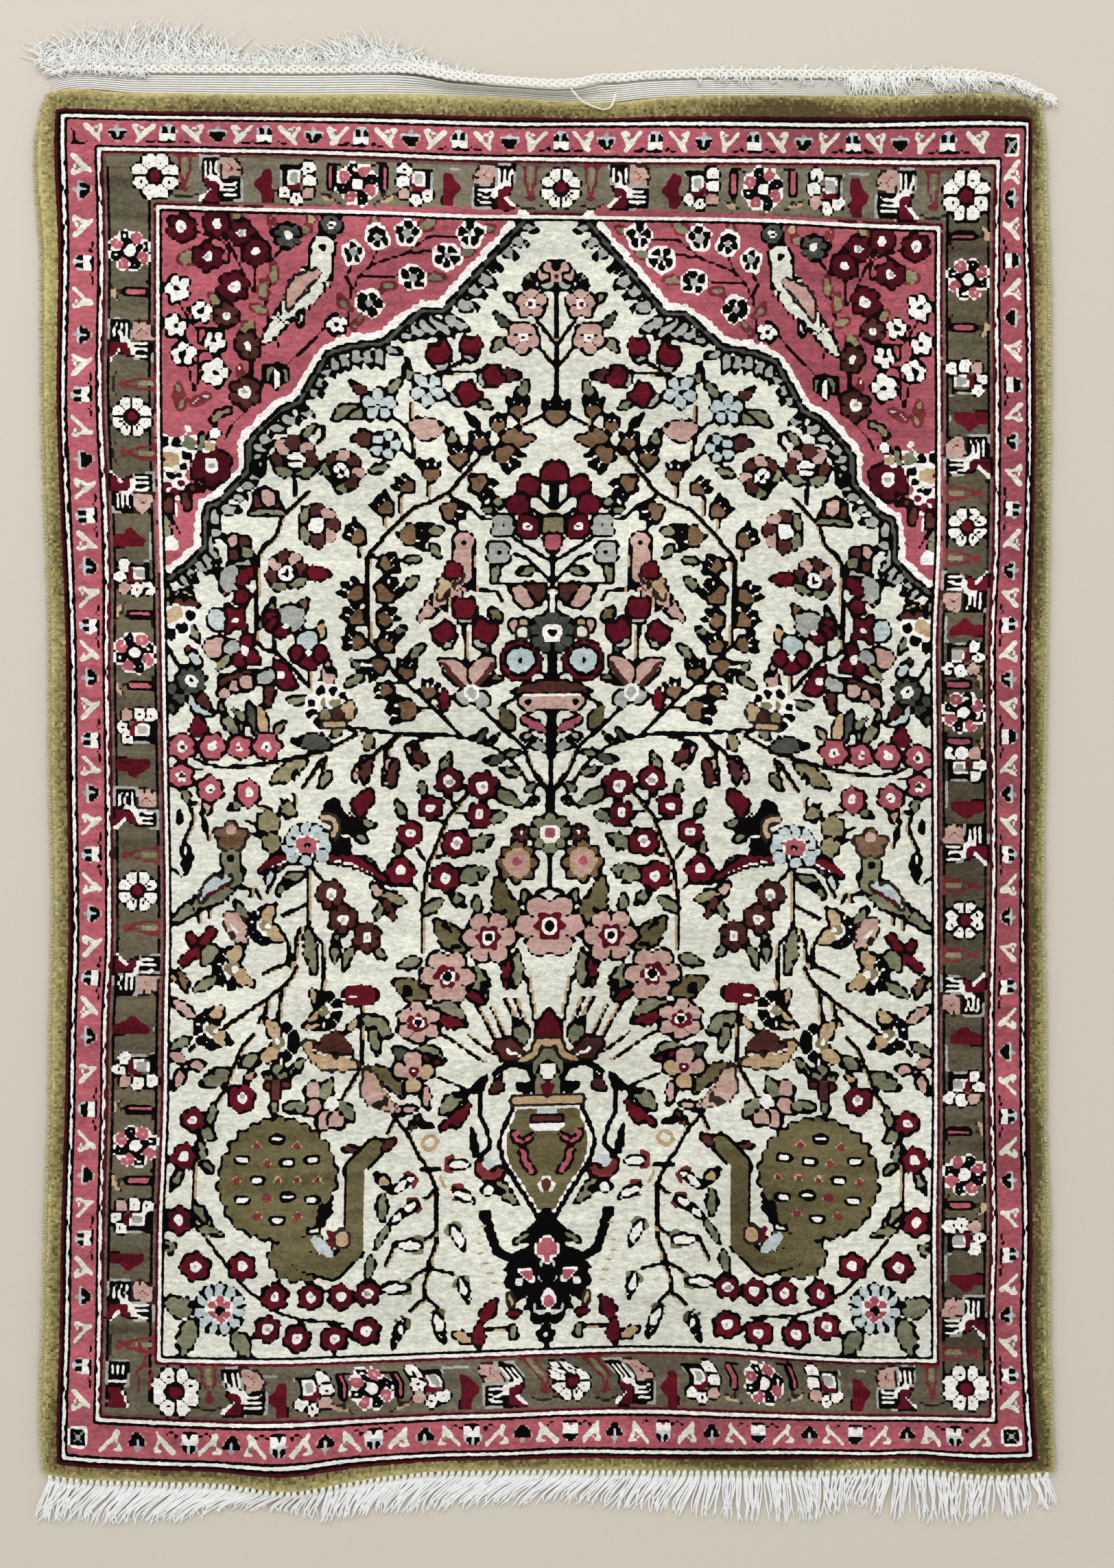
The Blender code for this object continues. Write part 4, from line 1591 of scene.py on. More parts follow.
# Leaves in the rose corner: tail x, y, tip x, y, width, silk, bend.
CORNER_LEAVES = (
    (262, 378, 283, 370, 20, Ink.KHAKI, 0.1),
    (340, 322, 351, 309, 12, Ink.KHAKI, 0),
    (318, 446, 306, 430, 11, Ink.KHAKI, 0.1),
    (389, 455, 367, 446, 13, Ink.KHAKI, 0),
    (352, 482, 369, 470, 16, Ink.KHAKI, 0.1),
    (385, 436, 384, 410, 12, Ink.KHAKI, 0),
    (399, 411, 399, 384, 9, Ink.KHAKI, 0),
    (404, 333, 392, 318, 10, Ink.TAN, 0),
    (448, 322, 462, 316, 9, Ink.TAN, 0),
    (436, 338, 452, 334, 10, Ink.KHAKI, 0),
    (350, 552, 350, 534, 11, Ink.WHITE, 0),
    (263, 596, 260, 560, 17, Ink.KHAKI, 0),
    (281, 588, 306, 577, 12, Ink.PALE, 0),
    (622, 404, 646, 405, 12, Ink.SAGE, 0),
    (670, 370, 690, 366, 12, Ink.SAGE, 0),
    (704, 338, 720, 331, 10, Ink.SAGE, 0),
    (611, 332, 636, 324, 12, Ink.KHAKI, 0),
    (547, 333, 544, 314, 10, Ink.KHAKI, 0),
    (555, 424, 574, 416, 12, Ink.SAGE, -0.2),
    (516, 478, 527, 460, 8, Ink.SAGE, 0),
    (494, 430, 512, 452, 8, Ink.SAGE, 0.1),
)
CORNER_STEMS = (
    ((283, 336), (300, 342), (322, 350), (333, 362), (334, 382), (322, 384)),
    ((326, 343), (342, 370), (350, 388), (362, 412), (370, 425), (386, 436), (390, 456), (389, 482)),
    ((372, 388), (371, 420)),
    ((411, 362), (393, 384), (393, 412), (390, 440)),
    ((260, 440), (274, 462), (284, 477), (340, 477)),
    ((288, 482), (288, 498), (300, 500)),
    ((300, 510), (289, 514), (288, 555), (283, 572)),
    ((274, 533), (283, 572)),
    ((366, 523), (366, 552)),
    ((385, 530), (384, 555), (378, 560)),
    ((472, 478), (461, 492), (440, 512), (417, 532)),
    ((513, 388), (504, 403), (512, 418), (508, 445), (509, 476)),
    ((518, 416), (522, 402), (542, 386), (590, 370), (624, 346), (670, 344)),
    ((590, 370), (632, 365)),
    ((524, 404), (586, 402)),
    ((552, 362), (538, 389)),
    ((512, 418), (520, 424)),
)
# The niche's rope from its top to the side border.
ROPE = (
    (768, 318), (647, 454), (615, 454), (559, 500), (513, 505), (478, 516), (436, 587), (411, 597),
    (379, 627), (363, 646), (362, 685), (350, 700), (319, 734), (302, 738), (298, 780), (300, 796),
    (277, 822), (245, 845),
)
# Hooked leaves along the rope: root x, y, tip x, y, width.
ACANTHUS = (
    (764, 326, 781, 336, 8),
    (748, 346, 768, 356, 12),
    (736, 362, 752, 374, 12),
    (716, 384, 731, 392, 12),
    (702, 400, 721, 416, 14),
    (686, 416, 706, 431, 14),
    (668, 436, 697, 450, 15),
    (652, 462, 682, 480, 16),
    (630, 464, 662, 488, 14),
    (612, 466, 642, 488, 12),
    (598, 474, 622, 490, 11),
    (582, 486, 604, 492, 11),
    (564, 506, 584, 512, 9),
    (556, 510, 558, 534, 12),
    (538, 512, 541, 532, 12),
    (522, 512, 524, 532, 12),
    (500, 518, 508, 536, 12),
    (484, 524, 496, 540, 12),
    (468, 536, 486, 546, 12),
    (456, 552, 474, 560, 12),
    (450, 570, 468, 575, 12),
    (438, 592, 458, 606, 12),
    (412, 608, 436, 614, 12),
    (394, 620, 417, 627, 11),
    (382, 634, 395, 647, 12),
    (372, 652, 389, 655, 9),
    (370, 664, 386, 669, 9),
    (370, 677, 386, 678, 9),
    (368, 689, 384, 688, 9),
    (360, 700, 379, 693, 9),
    (352, 708, 373, 705, 10),
    (340, 722, 359, 725, 11),
    (326, 739, 348, 744, 12),
    (311, 743, 318, 766, 14),
    (310, 770, 325, 782, 9),
    (308, 788, 319, 818, 11),
    (301, 800, 309, 832, 11),
    (291, 816, 300, 834, 9),
    (277, 827, 287, 846, 10),
    (266, 834, 277, 856, 9),
)


@dataclass
class Corner:
    """The rose corner outside the niche, with its flowers and its pale bird."""

    chart: Chart

    def draw(self) -> None:
        """Fill the corner, the pale band and the rope, and then what stands there."""
        pen, flora = Pen(self.chart), Flora(self.chart)
        band = [tuple(p) for p in beside(ROPE, 10.0, 12.0)]
        pen.shape([(228, 300), (752, 300), *band, (228, 838)], Ink.ROSE, None)
        pen.stem([(228, 306), (750, 320)], Ink.ROSE, 8)
        pen.stem([(232, 306), (236, 820)], Ink.ROSE, 8)
        pen.stem([tuple(p) for p in beside(ROPE, 10.0, 7.0)], Ink.WHITE, 14)
        for x, y in band:
            pen.disc(x, y, 5.4, Ink.WHITE)
        flora.stems(CORNER_STEMS, Ink.DARK, 3.8)
        flora.leaves(CORNER_LEAVES, Ink.RUST)
        flora.grow(CORNER_FLOWERS)
        self.bird(pen)
        for x, y, tip_x, tip_y, width in ACANTHUS:
            pen.leaf((x - 3, y - 3), (tip_x, tip_y), width * 1.15, Ink.GREY, Ink.BLACK, 0.12, 3, rim_width=4.2)
            pen.stem([(tip_x - 5, tip_y - 1), (tip_x, tip_y), (tip_x + 1, tip_y + 6)], Ink.BLACK, 3.4)
        pen.stem(list(ROPE), Ink.SLATE, 4.4, Ink.BLACK)

    @staticmethod
    def bird(pen: Pen) -> None:
        """A pale bird with a barred pink wing.

        Args:
            pen: The pen that draws it, in the drawing's own places.
        """
        Flora.fowl(pen, (470, 360), (466, 396), (418, 456), 31, Ink.IVORY, Ink.PINK)
        pen.stem([(486, 356), (492, 353)], Ink.BLACK, 4.0)
        pen.stem([(440, 458), (437, 472)], Ink.IVORY, 4.0, Ink.BLACK)
        pen.stem([(403, 492), (406, 508)], Ink.BLACK, 3.6)


# The upper field's stems, from the niche's top down to the pink birds.
CROWN_STEMS = (
    ((811, 425), (811, 565), (809, 585)),
    ((784, 468), (810, 502)),
    ((780, 500), (811, 537)),
    ((674, 526), (655, 536), (632, 556)),
    ((706, 541), (652, 543)),
    ((599, 587), (598, 629), (604, 669), (612, 682)),
    ((569, 604), (599, 629)),
    ((582, 652), (603, 669)),
    ((799, 602), (755, 623), (727, 648), (698, 667), (677, 692), (652, 719), (626, 732), (601, 741), (569, 772),
     (536, 810), (535, 870)),
    ((652, 719), (664, 728), (681, 736), (700, 755), (719, 758)),
    ((757, 605), (757, 622)),
    ((729, 625), (736, 631)),
    ((700, 651), (700, 664)),
    ((668, 676), (671, 688)),
    ((624, 700), (622, 724)),
    ((582, 722), (582, 748)),
    ((558, 752), (560, 766)),
    ((520, 790), (524, 812)),
    ((809, 612), (809, 622)),
    ((450, 716), (423, 742), (411, 754), (402, 780), (383, 798), (376, 811), (376, 870)),
    ((430, 700), (430, 722)),
    ((805, 700), (805, 870)),
    ((782, 719), (803, 743), (826, 719)),
    ((768, 738), (800, 758)),
    ((746, 783), (804, 819)),
    ((748, 808), (768, 813), (803, 849)),
    ((723, 850), (784, 851)),
    ((784, 858), (805, 858)),
    ((687, 788), (692, 860)),
    ((471, 622), (471, 637), (464, 645)),
    ((488, 612), (500, 606)),
    ((538, 811), (552, 812)),
)
# The upper field's flowers: kind, x, y, size, turn.
CROWN_FLOWERS = (
    (Bloom.PINK, 774, 442, 22, 0),
    (Bloom.PINK, 762, 492, 23, 36),
    (Bloom.BUD, 641, 519, 20, -10),
    (Bloom.BUD, 686, 509, 18, 5),
    (Bloom.BUD, 716, 549, 19, 70),
    (Bloom.BUD, 679, 575, 21, 60),
    (Bloom.BLUE, 624, 568, 24, 36),
    (Bloom.BLUE, 551, 590, 24, 0),
    (Bloom.BLUE, 562, 648, 21, 20),
    (Bloom.TULIP, 809, 597, 22, 0),
    (Bloom.TULIP, 756, 593, 19, 0),
    (Bloom.TULIP, 726, 615, 16, 0),
    (Bloom.TULIP, 699, 640, 18, 0),
    (Bloom.TULIP, 669, 661, 20, 0),
    (Bloom.TULIP, 629, 684, 19, 0),
    (Bloom.TULIP, 588, 706, 17, -50),
    (Bloom.TULIP, 557, 735, 20, -40),
    (Bloom.TULIP, 517, 778, 19, -50),
    (Bloom.TULIP, 742, 668, 23, 130),
    (Bloom.TULIP, 704, 710, 22, 128),
    (Bloom.TULIP, 662, 748, 21, 118),
    (Bloom.TULIP, 605, 781, 23, 95),
    (Bloom.TULIP, 569, 821, 18, 78),
    (Bloom.FAN, 430, 668, 33, 0),
    (Bloom.FAN, 500, 686, 31, 52),
    (Bloom.FAN, 464, 766, 31, 90),
    (Bloom.FAN, 418, 833, 30, -10),
    (Bloom.TEAR, 463, 836, 18, 90),
    (Bloom.WINE, 308, 679, 30, 0),
)
# The upper field's leaves: tail x, y, tip x, y, width, silk, bend.
CROWN_LEAVES = (
    (775, 424, 772, 400, 14, Ink.SAGE, -0.1),
    (753, 438, 736, 428, 11, Ink.SAGE, 0),
    (743, 478, 722, 458, 10, Ink.SLATE, 0),
    (742, 494, 716, 512, 17, Ink.SAGE, 0.1),
    (606, 556, 592, 525, 12, Ink.SAGE, -0.15),
    (536, 578, 512, 556, 13, Ink.MAROON, 0),
    (566, 574, 584, 552, 12, Ink.SAGE, 0),
    (730, 546, 756, 548, 20, Ink.MAROON, 0),
    (754, 578, 767, 556, 14, Ink.SAGE, 0.1),
    (697, 583, 716, 596, 11, Ink.SAGE, 0),
    (488, 611, 520, 590, 13, Ink.SAGE, -0.1),
    (440, 637, 461, 619, 10, Ink.SAGE, 0),
    (512, 608, 532, 592, 13, Ink.SAGE, 0.2),
    (546, 640, 514, 640, 22, Ink.MAROON, 0),
    (658, 650, 658, 628, 13, Ink.SAGE, 0.1),
    (698, 622, 680, 605, 10, Ink.SAGE, 0),
    (540, 686, 566, 680, 11, Ink.SAGE, 0),
    (730, 638, 776, 640, 26, Ink.TULIP, 0),
    (626, 774, 646, 774, 14, Ink.SAGE, 0),
    (629, 794, 641, 812, 10, Ink.SAGE, 0),
    (591, 815, 613, 815, 9, Ink.SAGE, 0),
    (590, 856, 608, 842, 13, Ink.SAGE, 0),
    (730, 738, 722, 725, 9, Ink.SAGE, 0),
    (718, 746, 704, 740, 8, Ink.SAGE, 0),
    (724, 822, 720, 848, 13, Ink.SAGE, 0),
    (752, 834, 780, 830, 11, Ink.SAGE, 0),
    (321, 862, 334, 858, 12, Ink.TAN, 0),
)


@dataclass
class Crown:
    """The upper field: the sprig at the niche's top, the branch of tulips, palmettes and a pink bird."""

    chart: Chart

    def draw(self) -> None:
        """Draw stems first, then leaves, flowers and the odd shapes."""
        pen, flora = Pen(self.chart), Flora(self.chart)
        flora.stems(CROWN_STEMS)
        flora.leaves(CROWN_LEAVES)
        flora.grow(CROWN_FLOWERS)
        self.top_fan(pen)
        self.sprig(pen)
        self.side_palmette(pen)
        self.cup(pen)
        self.bird(pen)
        pen.leaf((598, 620), (648, 624), 34, Ink.PINK, Ink.BLACK, 0.1, 4)

    @staticmethod
    def top_fan(pen: Pen) -> None:
        """The sprig's top flower: three pink petals over two grey ones.

        Args:
            pen: The pen that draws it, in the drawing's own places.
        """
        for x, y, ink in (
            (797, 413, Ink.GREY), (820, 413, Ink.GREY), (793, 401, Ink.PINK), (826, 401, Ink.PINK),
            (801, 391, Ink.PINK), (818, 391, Ink.PINK),
        ):
            pen.disc(x, y, 8.5, ink, Ink.BLACK)
        pen.disc(810, 402, 9, Ink.PINK)
        pen.disc(810, 402, 4, Ink.CRIMSON)

    @staticmethod
    def sprig(pen: Pen) -> None:
        """The sprig in the middle: crimson buds, a sage heart and small grey flowers.

        Args:
            pen: The pen that draws it, in the drawing's own places.
        """
        for x, y, size in ((805, 689, 14), (770, 708, 15), (755, 735, 15)):
            pen.flower(x, y, size, 3, Ink.CRIMSON, Ink.DARK, 0.12)
        pen.flower(771, 768, 17, 4, Ink.CRIMSON, Ink.DARK, 0.12, 45)
        pen.flower(770, 768, 7, 4, Ink.WHITE, None, 0.2)
        pen.disc(770, 768, 3, Ink.CRIMSON)
        pen.disc(805, 768, 15, Ink.KHAKI, Ink.BLACK)
        pen.flower(805, 789, 12, 3, Ink.ROSE, Ink.DARK, 0.2, 60)
        for x, y in ((734, 766), (727, 806)):
            pen.flower(x, y, 18, 4, Ink.GREY, Ink.BLACK, 0.3, 45)
            pen.disc(x, y, 3.5, Ink.BLACK)

    @staticmethod
    def side_palmette(pen: Pen) -> None:
        """The many-coloured palmette that grows from the side border under the rose corner.

        Args:
            pen: The pen that draws it, in the drawing's own places.
        """
        blocks = ((241, 644, 8), (256, 646, 7), (272, 664, 8), (268, 680, 7), (262, 693, 6), (250, 694, 7))
        for x, y, size in blocks:
            pen.flower(x, y, size, 1, Ink.BLACK, Ink.WHITE, 0.0, rim_width=2.4)
        pen.shape([(266, 648), (270, 632), (284, 638), (285, 657), (272, 655)], Ink.SAGE, Ink.WHITE, 2.6)
        pen.shape([(289, 634), (297, 630), (299, 644), (294, 657), (288, 654)], Ink.SAGE, Ink.BLACK, 3.0)
        pen.shape([(299, 644), (313, 645), (314, 654), (300, 656)], Ink.TAN, Ink.WHITE, 2.6)
        pen.shape([(304, 634), (312, 621), (322, 630), (314, 641)], Ink.WHITE, Ink.BLACK, 3.0)
        pen.disc(274, 625, 6, Ink.WHITE)
        pen.disc(247, 669, 13, Ink.TAN, Ink.WHITE)
        pen.disc(241, 670, 4.5, Ink.CRIMSON)
        for x, y, ink in ((264, 704, Ink.CRIMSON), (244, 708, Ink.CRIMSON), (256, 718, Ink.CRIMSON)):
            pen.disc(x, y, 6, ink, Ink.WHITE)
        pen.shape([(242, 724), (251, 724), (248, 748), (242, 748)], Ink.MAROON, Ink.DARK)
        pen.shape([(264, 718), (276, 716), (275, 744), (268, 744)], Ink.MAROON, Ink.DARK)
        pen.stem([(257, 734), (257, 752)], Ink.WHITE, 6)
        pen.leaf((276, 712), (296, 713), 11, Ink.MAROON, Ink.DARK)
        pen.leaf((242, 785), (243, 752), 12, Ink.SAGE)
        pen.stem([(248, 752), (262, 778)], Ink.BLACK, 3.6)
        pen.flower(251, 793, 11.5, 5, Ink.WHITE, None, 0.2)
        pen.stem([(363, 594), (336, 622), (328, 640)], Ink.DARK, 3.8)
        pen.stem([(311, 612), (320, 602), (334, 599)], Ink.KHAKI, 6, Ink.DARK)

    @staticmethod
    def cup(pen: Pen) -> None:
        """A pink and maroon cup and a small flower beside the long stem.

        Args:
            pen: The pen that draws it, in the drawing's own places.
        """
        pen.shape([(368, 744), (373, 718), (384, 712), (404, 718), (411, 744)], Ink.MAROON, Ink.BLACK)
        pen.shape([(380, 720), (386, 713), (401, 718), (399, 734), (391, 739), (384, 730)], Ink.PINK, Ink.BLACK)
        pen.stem([(366, 748), (390, 746), (412, 748)], Ink.SAGE, 5, Ink.BLACK)
        for x, y, ink in (
            (341, 789, Ink.PINK),
            (356, 792, Ink.MAROON),
            (343, 810, Ink.MAROON),
            (360, 808, Ink.SAGE),
        ):
            pen.disc(x, y, 9, ink, Ink.BLACK)
        pen.stem([(336, 822), (364, 820)], Ink.GREY, 5, Ink.BLACK)

    @staticmethod
    def bird(pen: Pen) -> None:
        """The pink bird, its shoulder crimson."""
        Flora.fowl(pen, (676, 790), (674, 838), (638, 876), 27, Ink.PINK, Ink.TAN)
        pen.disc(660, 831, 11, Ink.CRIMSON, Ink.DARK)


# The middle field's stems, from the pink birds down to the spray.
MIDDLE_STEMS = (
    ((535, 850), (536, 900), (539, 938), (563, 968), (584, 991), (618, 1018), (647, 1046), (668, 1069)),
    ((376, 811), (374, 852), (372, 932), (384, 946), (404, 953), (427, 974), (452, 1004)),
    ((398, 924), (400, 948)),
    ((450, 975), (451, 1002)),
    ((247, 945), (256, 965), (266, 975)),
    ((277, 1102), (296, 1112), (320, 1119), (354, 1117), (386, 1114), (430, 1104), (472, 1095), (520, 1070),
     (506, 1060), (584, 1070), (647, 1071), (683, 1077), (721, 1090), (746, 1109), (763, 1130), (772, 1145)),
    ((277, 1122), (293, 1121)),
    ((471, 1104), (440, 1150)),
    ((475, 1104), (463, 1150)),
    ((580, 1071), (562, 1086), (542, 1102)),
    ((582, 1072), (563, 1092), (563, 1106)),
    ((636, 1072), (600, 1082), (592, 1090)),
    ((545, 936), (560, 936)),
    ((556, 998), (584, 995)),
    ((606, 1033), (624, 1033)),
    ((676, 902), (679, 972)),
    ((696, 1029), (738, 1067), (765, 1092), (774, 1120), (790, 1145)),
    ((802, 868), (800, 1150)),
    ((788, 980), (804, 990), (820, 980)),
    ((734, 1026), (756, 1016)),
    ((682, 858), (724, 862), (732, 876)),
    ((692, 860), (690, 850)),
    ((652, 873), (650, 892)),
)
MIDDLE_FLOWERS = (
    (Bloom.TULIP, 513, 860, 21, -50),
    (Bloom.TULIP, 515, 896, 19, -50),
    (Bloom.TULIP, 515, 934, 19, -75),
    (Bloom.TULIP, 545, 973, 20, -112),
    (Bloom.TULIP, 557, 1006, 16, -88),
    (Bloom.TULIP, 583, 1035, 26, -92),
    (Bloom.TULIP, 567, 859, 23, 42),
    (Bloom.TULIP, 565, 898, 19, 48),
    (Bloom.TULIP, 565, 935, 18, 30),
    (Bloom.TULIP, 593, 974, 19, 4),
    (Bloom.TULIP, 626, 1002, 17, 12),
    (Bloom.BUD, 678, 890, 20, 0),
    (Bloom.BUD, 648, 926, 21, -30),
    (Bloom.BUD, 706, 924, 21, 25),
    (Bloom.TEAR, 648, 1022, 14, 0),
    (Bloom.RING, 759, 963, 29, 0),
    (Bloom.SAGE, 804, 922, 31, 0),
    (Bloom.SAGE, 279, 992, 20, 0),
    (Bloom.ROSE, 266, 1089, 18, 0),
    (Bloom.ROSE, 309, 1088, 19, 30),
    (Bloom.ROSE, 350, 1089, 17, 0),
    (Bloom.ROSE, 388, 1088, 20, 30),
    (Bloom.ROSE, 265, 1132, 18, 0),
)
MIDDLE_LEAVES = (
    (244, 884, 246, 858, 10, Ink.SAGE, 0),
    (252, 868, 282, 866, 9, Ink.TAN, 0),
    (250, 878, 291, 884, 13, Ink.MAROON, -0.1),
    (272, 908, 289, 934, 13, Ink.SAGE, 0),
    (377, 914, 398, 873, 14, Ink.SAGE, 0.1),
    (436, 890, 447, 874, 12, Ink.TULIP, 0),
    (270, 944, 284, 952, 9, Ink.MAROON, 0.1),
    (278, 950, 294, 968, 12, Ink.PALE, 0.1),
    (244, 1012, 258, 998, 16, Ink.SLATE, 0),
    (250, 1030, 268, 1012, 18, Ink.SLATE, 0),
    (244, 1040, 254, 1026, 13, Ink.SLATE, 0),
    (276, 1014, 311, 1041, 22, Ink.PALE, 0.1),
    (284, 1006, 306, 1034, 13, Ink.MAROON, 0),
    (302, 1076, 288, 1044, 26, Ink.CRIMSON, -0.2),
    (352, 1072, 321, 1027, 15, Ink.SAGE, -0.1),
    (352, 1066, 340, 1034, 13, Ink.SAGE, 0.25),
    (374, 1071, 363, 1024, 14, Ink.SLATE, 0),
    (386, 1070, 379, 1032, 17, Ink.TAN, 0),
    (399, 1070, 413, 1054, 8, Ink.KHAKI, 0),
    (421, 1021, 452, 1017, 13, Ink.SAGE, 0.1),
    (392, 998, 392, 1030, 15, Ink.MAROON, 0),
    (479, 1000, 478, 966, 21, Ink.PINK, 0),
    (458, 936, 470, 906, 14, Ink.TAN, 0.1),
    (484, 1072, 498, 1062, 12, Ink.SAGE, 0),
    (482, 1087, 428, 1082, 24, Ink.SLATE, 0.05),
    (446, 1108, 393, 1143, 24, Ink.KHAKI, 0),
    (468, 1146, 480, 1126, 12, Ink.SAGE, 0),
    (597, 960, 618, 940, 11, Ink.SAGE, 0),
    (530, 984, 504, 999, 12, Ink.SAGE, 0),
    (524, 974, 512, 962, 9, Ink.SAGE, 0),
    (577, 922, 592, 914, 9, Ink.SAGE, 0),
    (728, 905, 716, 888, 15, Ink.OLIVE, 0),
    (700, 996, 732, 990, 15, Ink.OLIVE, -0.1),
    (700, 938, 714, 950, 12, Ink.SLATE, 0),
    (746, 1063, 731, 1032, 22, Ink.OLIVE, 0),
    (762, 1048, 795, 1066, 14, Ink.ROSE, 0),
    (764, 1072, 796, 1094, 16, Ink.GREY, 0),
    (534, 1092, 540, 1070, 18, Ink.KHAKI, 0),
    (644, 1124, 655, 1100, 11, Ink.SAGE, 0),
    (686, 1076, 708, 1066, 12, Ink.SLATE, 0.2),
    (712, 1084, 726, 1072, 9, Ink.SAGE, 0),
    (708, 1110, 736, 1100, 14, Ink.SLATE, 0.1),
    (738, 1102, 756, 1096, 10, Ink.SAGE, 0),
    (730, 1122, 760, 1128, 11, Ink.SAGE, 0),
)


@dataclass
class Middle:
    """The middle field: the branch's foot, mixed palmettes, the round crimson flower and the rose rows."""

    chart: Chart

    def draw(self) -> None:
        """Draw stems first, then leaves, flowers and the odd shapes."""
        pen, flora = Pen(self.chart), Flora(self.chart)
        flora.stems(MIDDLE_STEMS)
        flora.leaves(MIDDLE_LEAVES)
        flora.grow(MIDDLE_FLOWERS)
        self.side_palmette(pen)
        self.crosses(pen)
        self.wing(pen)
        self.pads(pen)
        self.cup(pen)
        self.ridge(pen)
        for x, y, turn in ((530, 1121, 20), (569, 1126, 10), (607, 1101, -30)):
            self.half_bud(Pen(self.chart, (x, y), turn))

    @staticmethod
    def side_palmette(pen: Pen) -> None:
        """Tan and black blocks by the side border, and a grey flower with a crimson wing above.

        Args:
            pen: The pen that draws it, in the drawing's own places.
        """
        pen.flower(256, 897, 14, 5, Ink.TAN, Ink.WHITE, 0.15)
        for x, y, size in ((279, 897, 8), (264, 915, 9), (247, 923, 8)):
            pen.flower(x, y, size, 4, Ink.BLACK, Ink.WHITE, 0.1, 45)
        pen.flower(338, 844, 20, 5, Ink.GREY, Ink.BLACK, 0.2)
        pen.leaf((346, 852), (368, 830), 20, Ink.CRIMSON, Ink.DARK)
        pen.shape([(346, 862), (356, 858), (364, 868), (356, 880), (344, 878)], Ink.CRIMSON, Ink.DARK)

    @staticmethod
    def crosses(pen: Pen) -> None:
        """Three flowers of crimson petals, each with a grey one.

        Args:
            pen: The pen that draws it, in the drawing's own places.
        """
        pen.disc(318, 904, 14, Ink.PALE, Ink.BLACK)
        outline = [
            (328, 882), (342, 890), (358, 884), (355, 902), (361, 920), (343, 912), (330, 922),
            (333, 902),
        ]
        pen.shape(outline, Ink.CRIMSON, Ink.DARK)
        pen.disc(343, 903, 7, Ink.WHITE)
        pen.flower(425, 901, 19, 6, Ink.GREY, Ink.BLACK, 0.12)
        for x, y, size in ((396, 903, 11), (399, 912, 9), (410, 920, 9)):
            pen.flower(x, y, size, 3, Ink.CRIMSON, Ink.DARK, 0.1)
        pen.disc(415, 913, 5, Ink.WHITE)
        pen.flower(315, 945, 17, 4, Ink.PINK, Ink.BLACK, 0.2, 20)
        pen.disc(340, 948, 14, Ink.GREY, Ink.BLACK)
        for x, y in ((360, 935), (352, 962), (368, 958)):
            pen.flower(x, y, 10, 4, Ink.CRIMSON, Ink.DARK, 0.1, 45)
        pen.disc(357, 948, 7, Ink.WHITE)
        pen.leaf((330, 958), (318, 976), 14, Ink.KHAKI)
        pen.disc(449, 934, 14, Ink.PALE, Ink.BLACK)
        for x, y in ((434, 953), (450, 966), (466, 953)):
            pen.flower(x, y, 10, 3, Ink.CRIMSON, Ink.DARK, 0.1)
        pen.flower(450, 952, 7, 4, Ink.WHITE, None, 0.2)

    @staticmethod
    def wing(pen: Pen) -> None:
        """A palmette on its side: a maroon arch over pink scallops, grey middle and crimson end.

        Args:
            pen: The pen that draws it, in the drawing's own places.
        """
        outline = [
            (318, 1012), (321, 986), (344, 980), (368, 977), (370, 990), (350, 996), (332, 1010),
        ]
        pen.shape(outline, Ink.MAROON, Ink.BLACK)
        for x, y, size in ((328, 1010, 7), (343, 1001, 9), (359, 995, 10)):
            pen.disc(x, y, size, Ink.PINK, Ink.BLACK)
        pen.shape([(372, 980), (398, 976), (404, 986), (394, 996), (376, 994)], Ink.GREY, Ink.BLACK)
        outline = [
            (400, 962), (414, 968), (424, 982), (433, 1000), (418, 1006), (402, 996), (410, 984),
            (400, 976),
        ]
        pen.shape(outline, Ink.CRIMSON, Ink.DARK)
        pen.disc(409, 985, 6.5, Ink.WHITE)

    @staticmethod
    def pads(pen: Pen) -> None:
        """The black-petalled palmette with khaki pads and tan petals.

        Args:
            pen: The pen that draws it, in the drawing's own places.
        """
        for x, y in ((455, 1026), (455, 1040), (466, 1054), (470, 1008), (487, 1010), (499, 1018)):
            pen.disc(x, y, 8.5, Ink.BLACK, Ink.WHITE)
        pen.shape([(466, 1018), (500, 1018), (516, 1030), (516, 1050), (498, 1058), (472, 1056)], Ink.WHITE, None)
        pen.disc(473, 1025, 8, Ink.KHAKI, Ink.WHITE)
        pen.disc(488, 1025, 8, Ink.KHAKI, Ink.WHITE)
        pen.disc(506, 1038, 11, Ink.TAN, Ink.BARK)
        pen.disc(490, 1042, 8, Ink.MAROON, Ink.BARK)
        pen.disc(475, 1043, 7, Ink.KHAKI, Ink.BARK)
        pen.stem([(474, 1056), (500, 1056)], Ink.TAN, 6, Ink.BARK)

    @staticmethod
    def cup(pen: Pen) -> None:
        """The pink and maroon cup over its grey foot.

        Args:
            pen: The pen that draws it, in the drawing's own places.
        """
        outline = [
            (640, 962), (662, 960), (683, 974), (700, 960), (723, 960), (716, 984), (694, 1000),
            (670, 1000), (650, 984),
        ]
        pen.shape(outline, Ink.PINK, Ink.BLACK)
        pen.stem([(648, 968), (658, 984), (674, 998)], Ink.MAROON, 8)
        pen.stem([(718, 968), (708, 984), (694, 998)], Ink.MAROON, 8)
        pen.stem([(679, 955), (684, 996)], Ink.BLACK, 4)
        pen.flower(676, 1018, 11, 4, Ink.GREY, Ink.BLACK, 0.15)
        pen.flower(702, 1020, 11, 4, Ink.GREY, Ink.BLACK, 0.15)
        pen.disc(688, 1010, 8, Ink.GREY, Ink.WHITE)

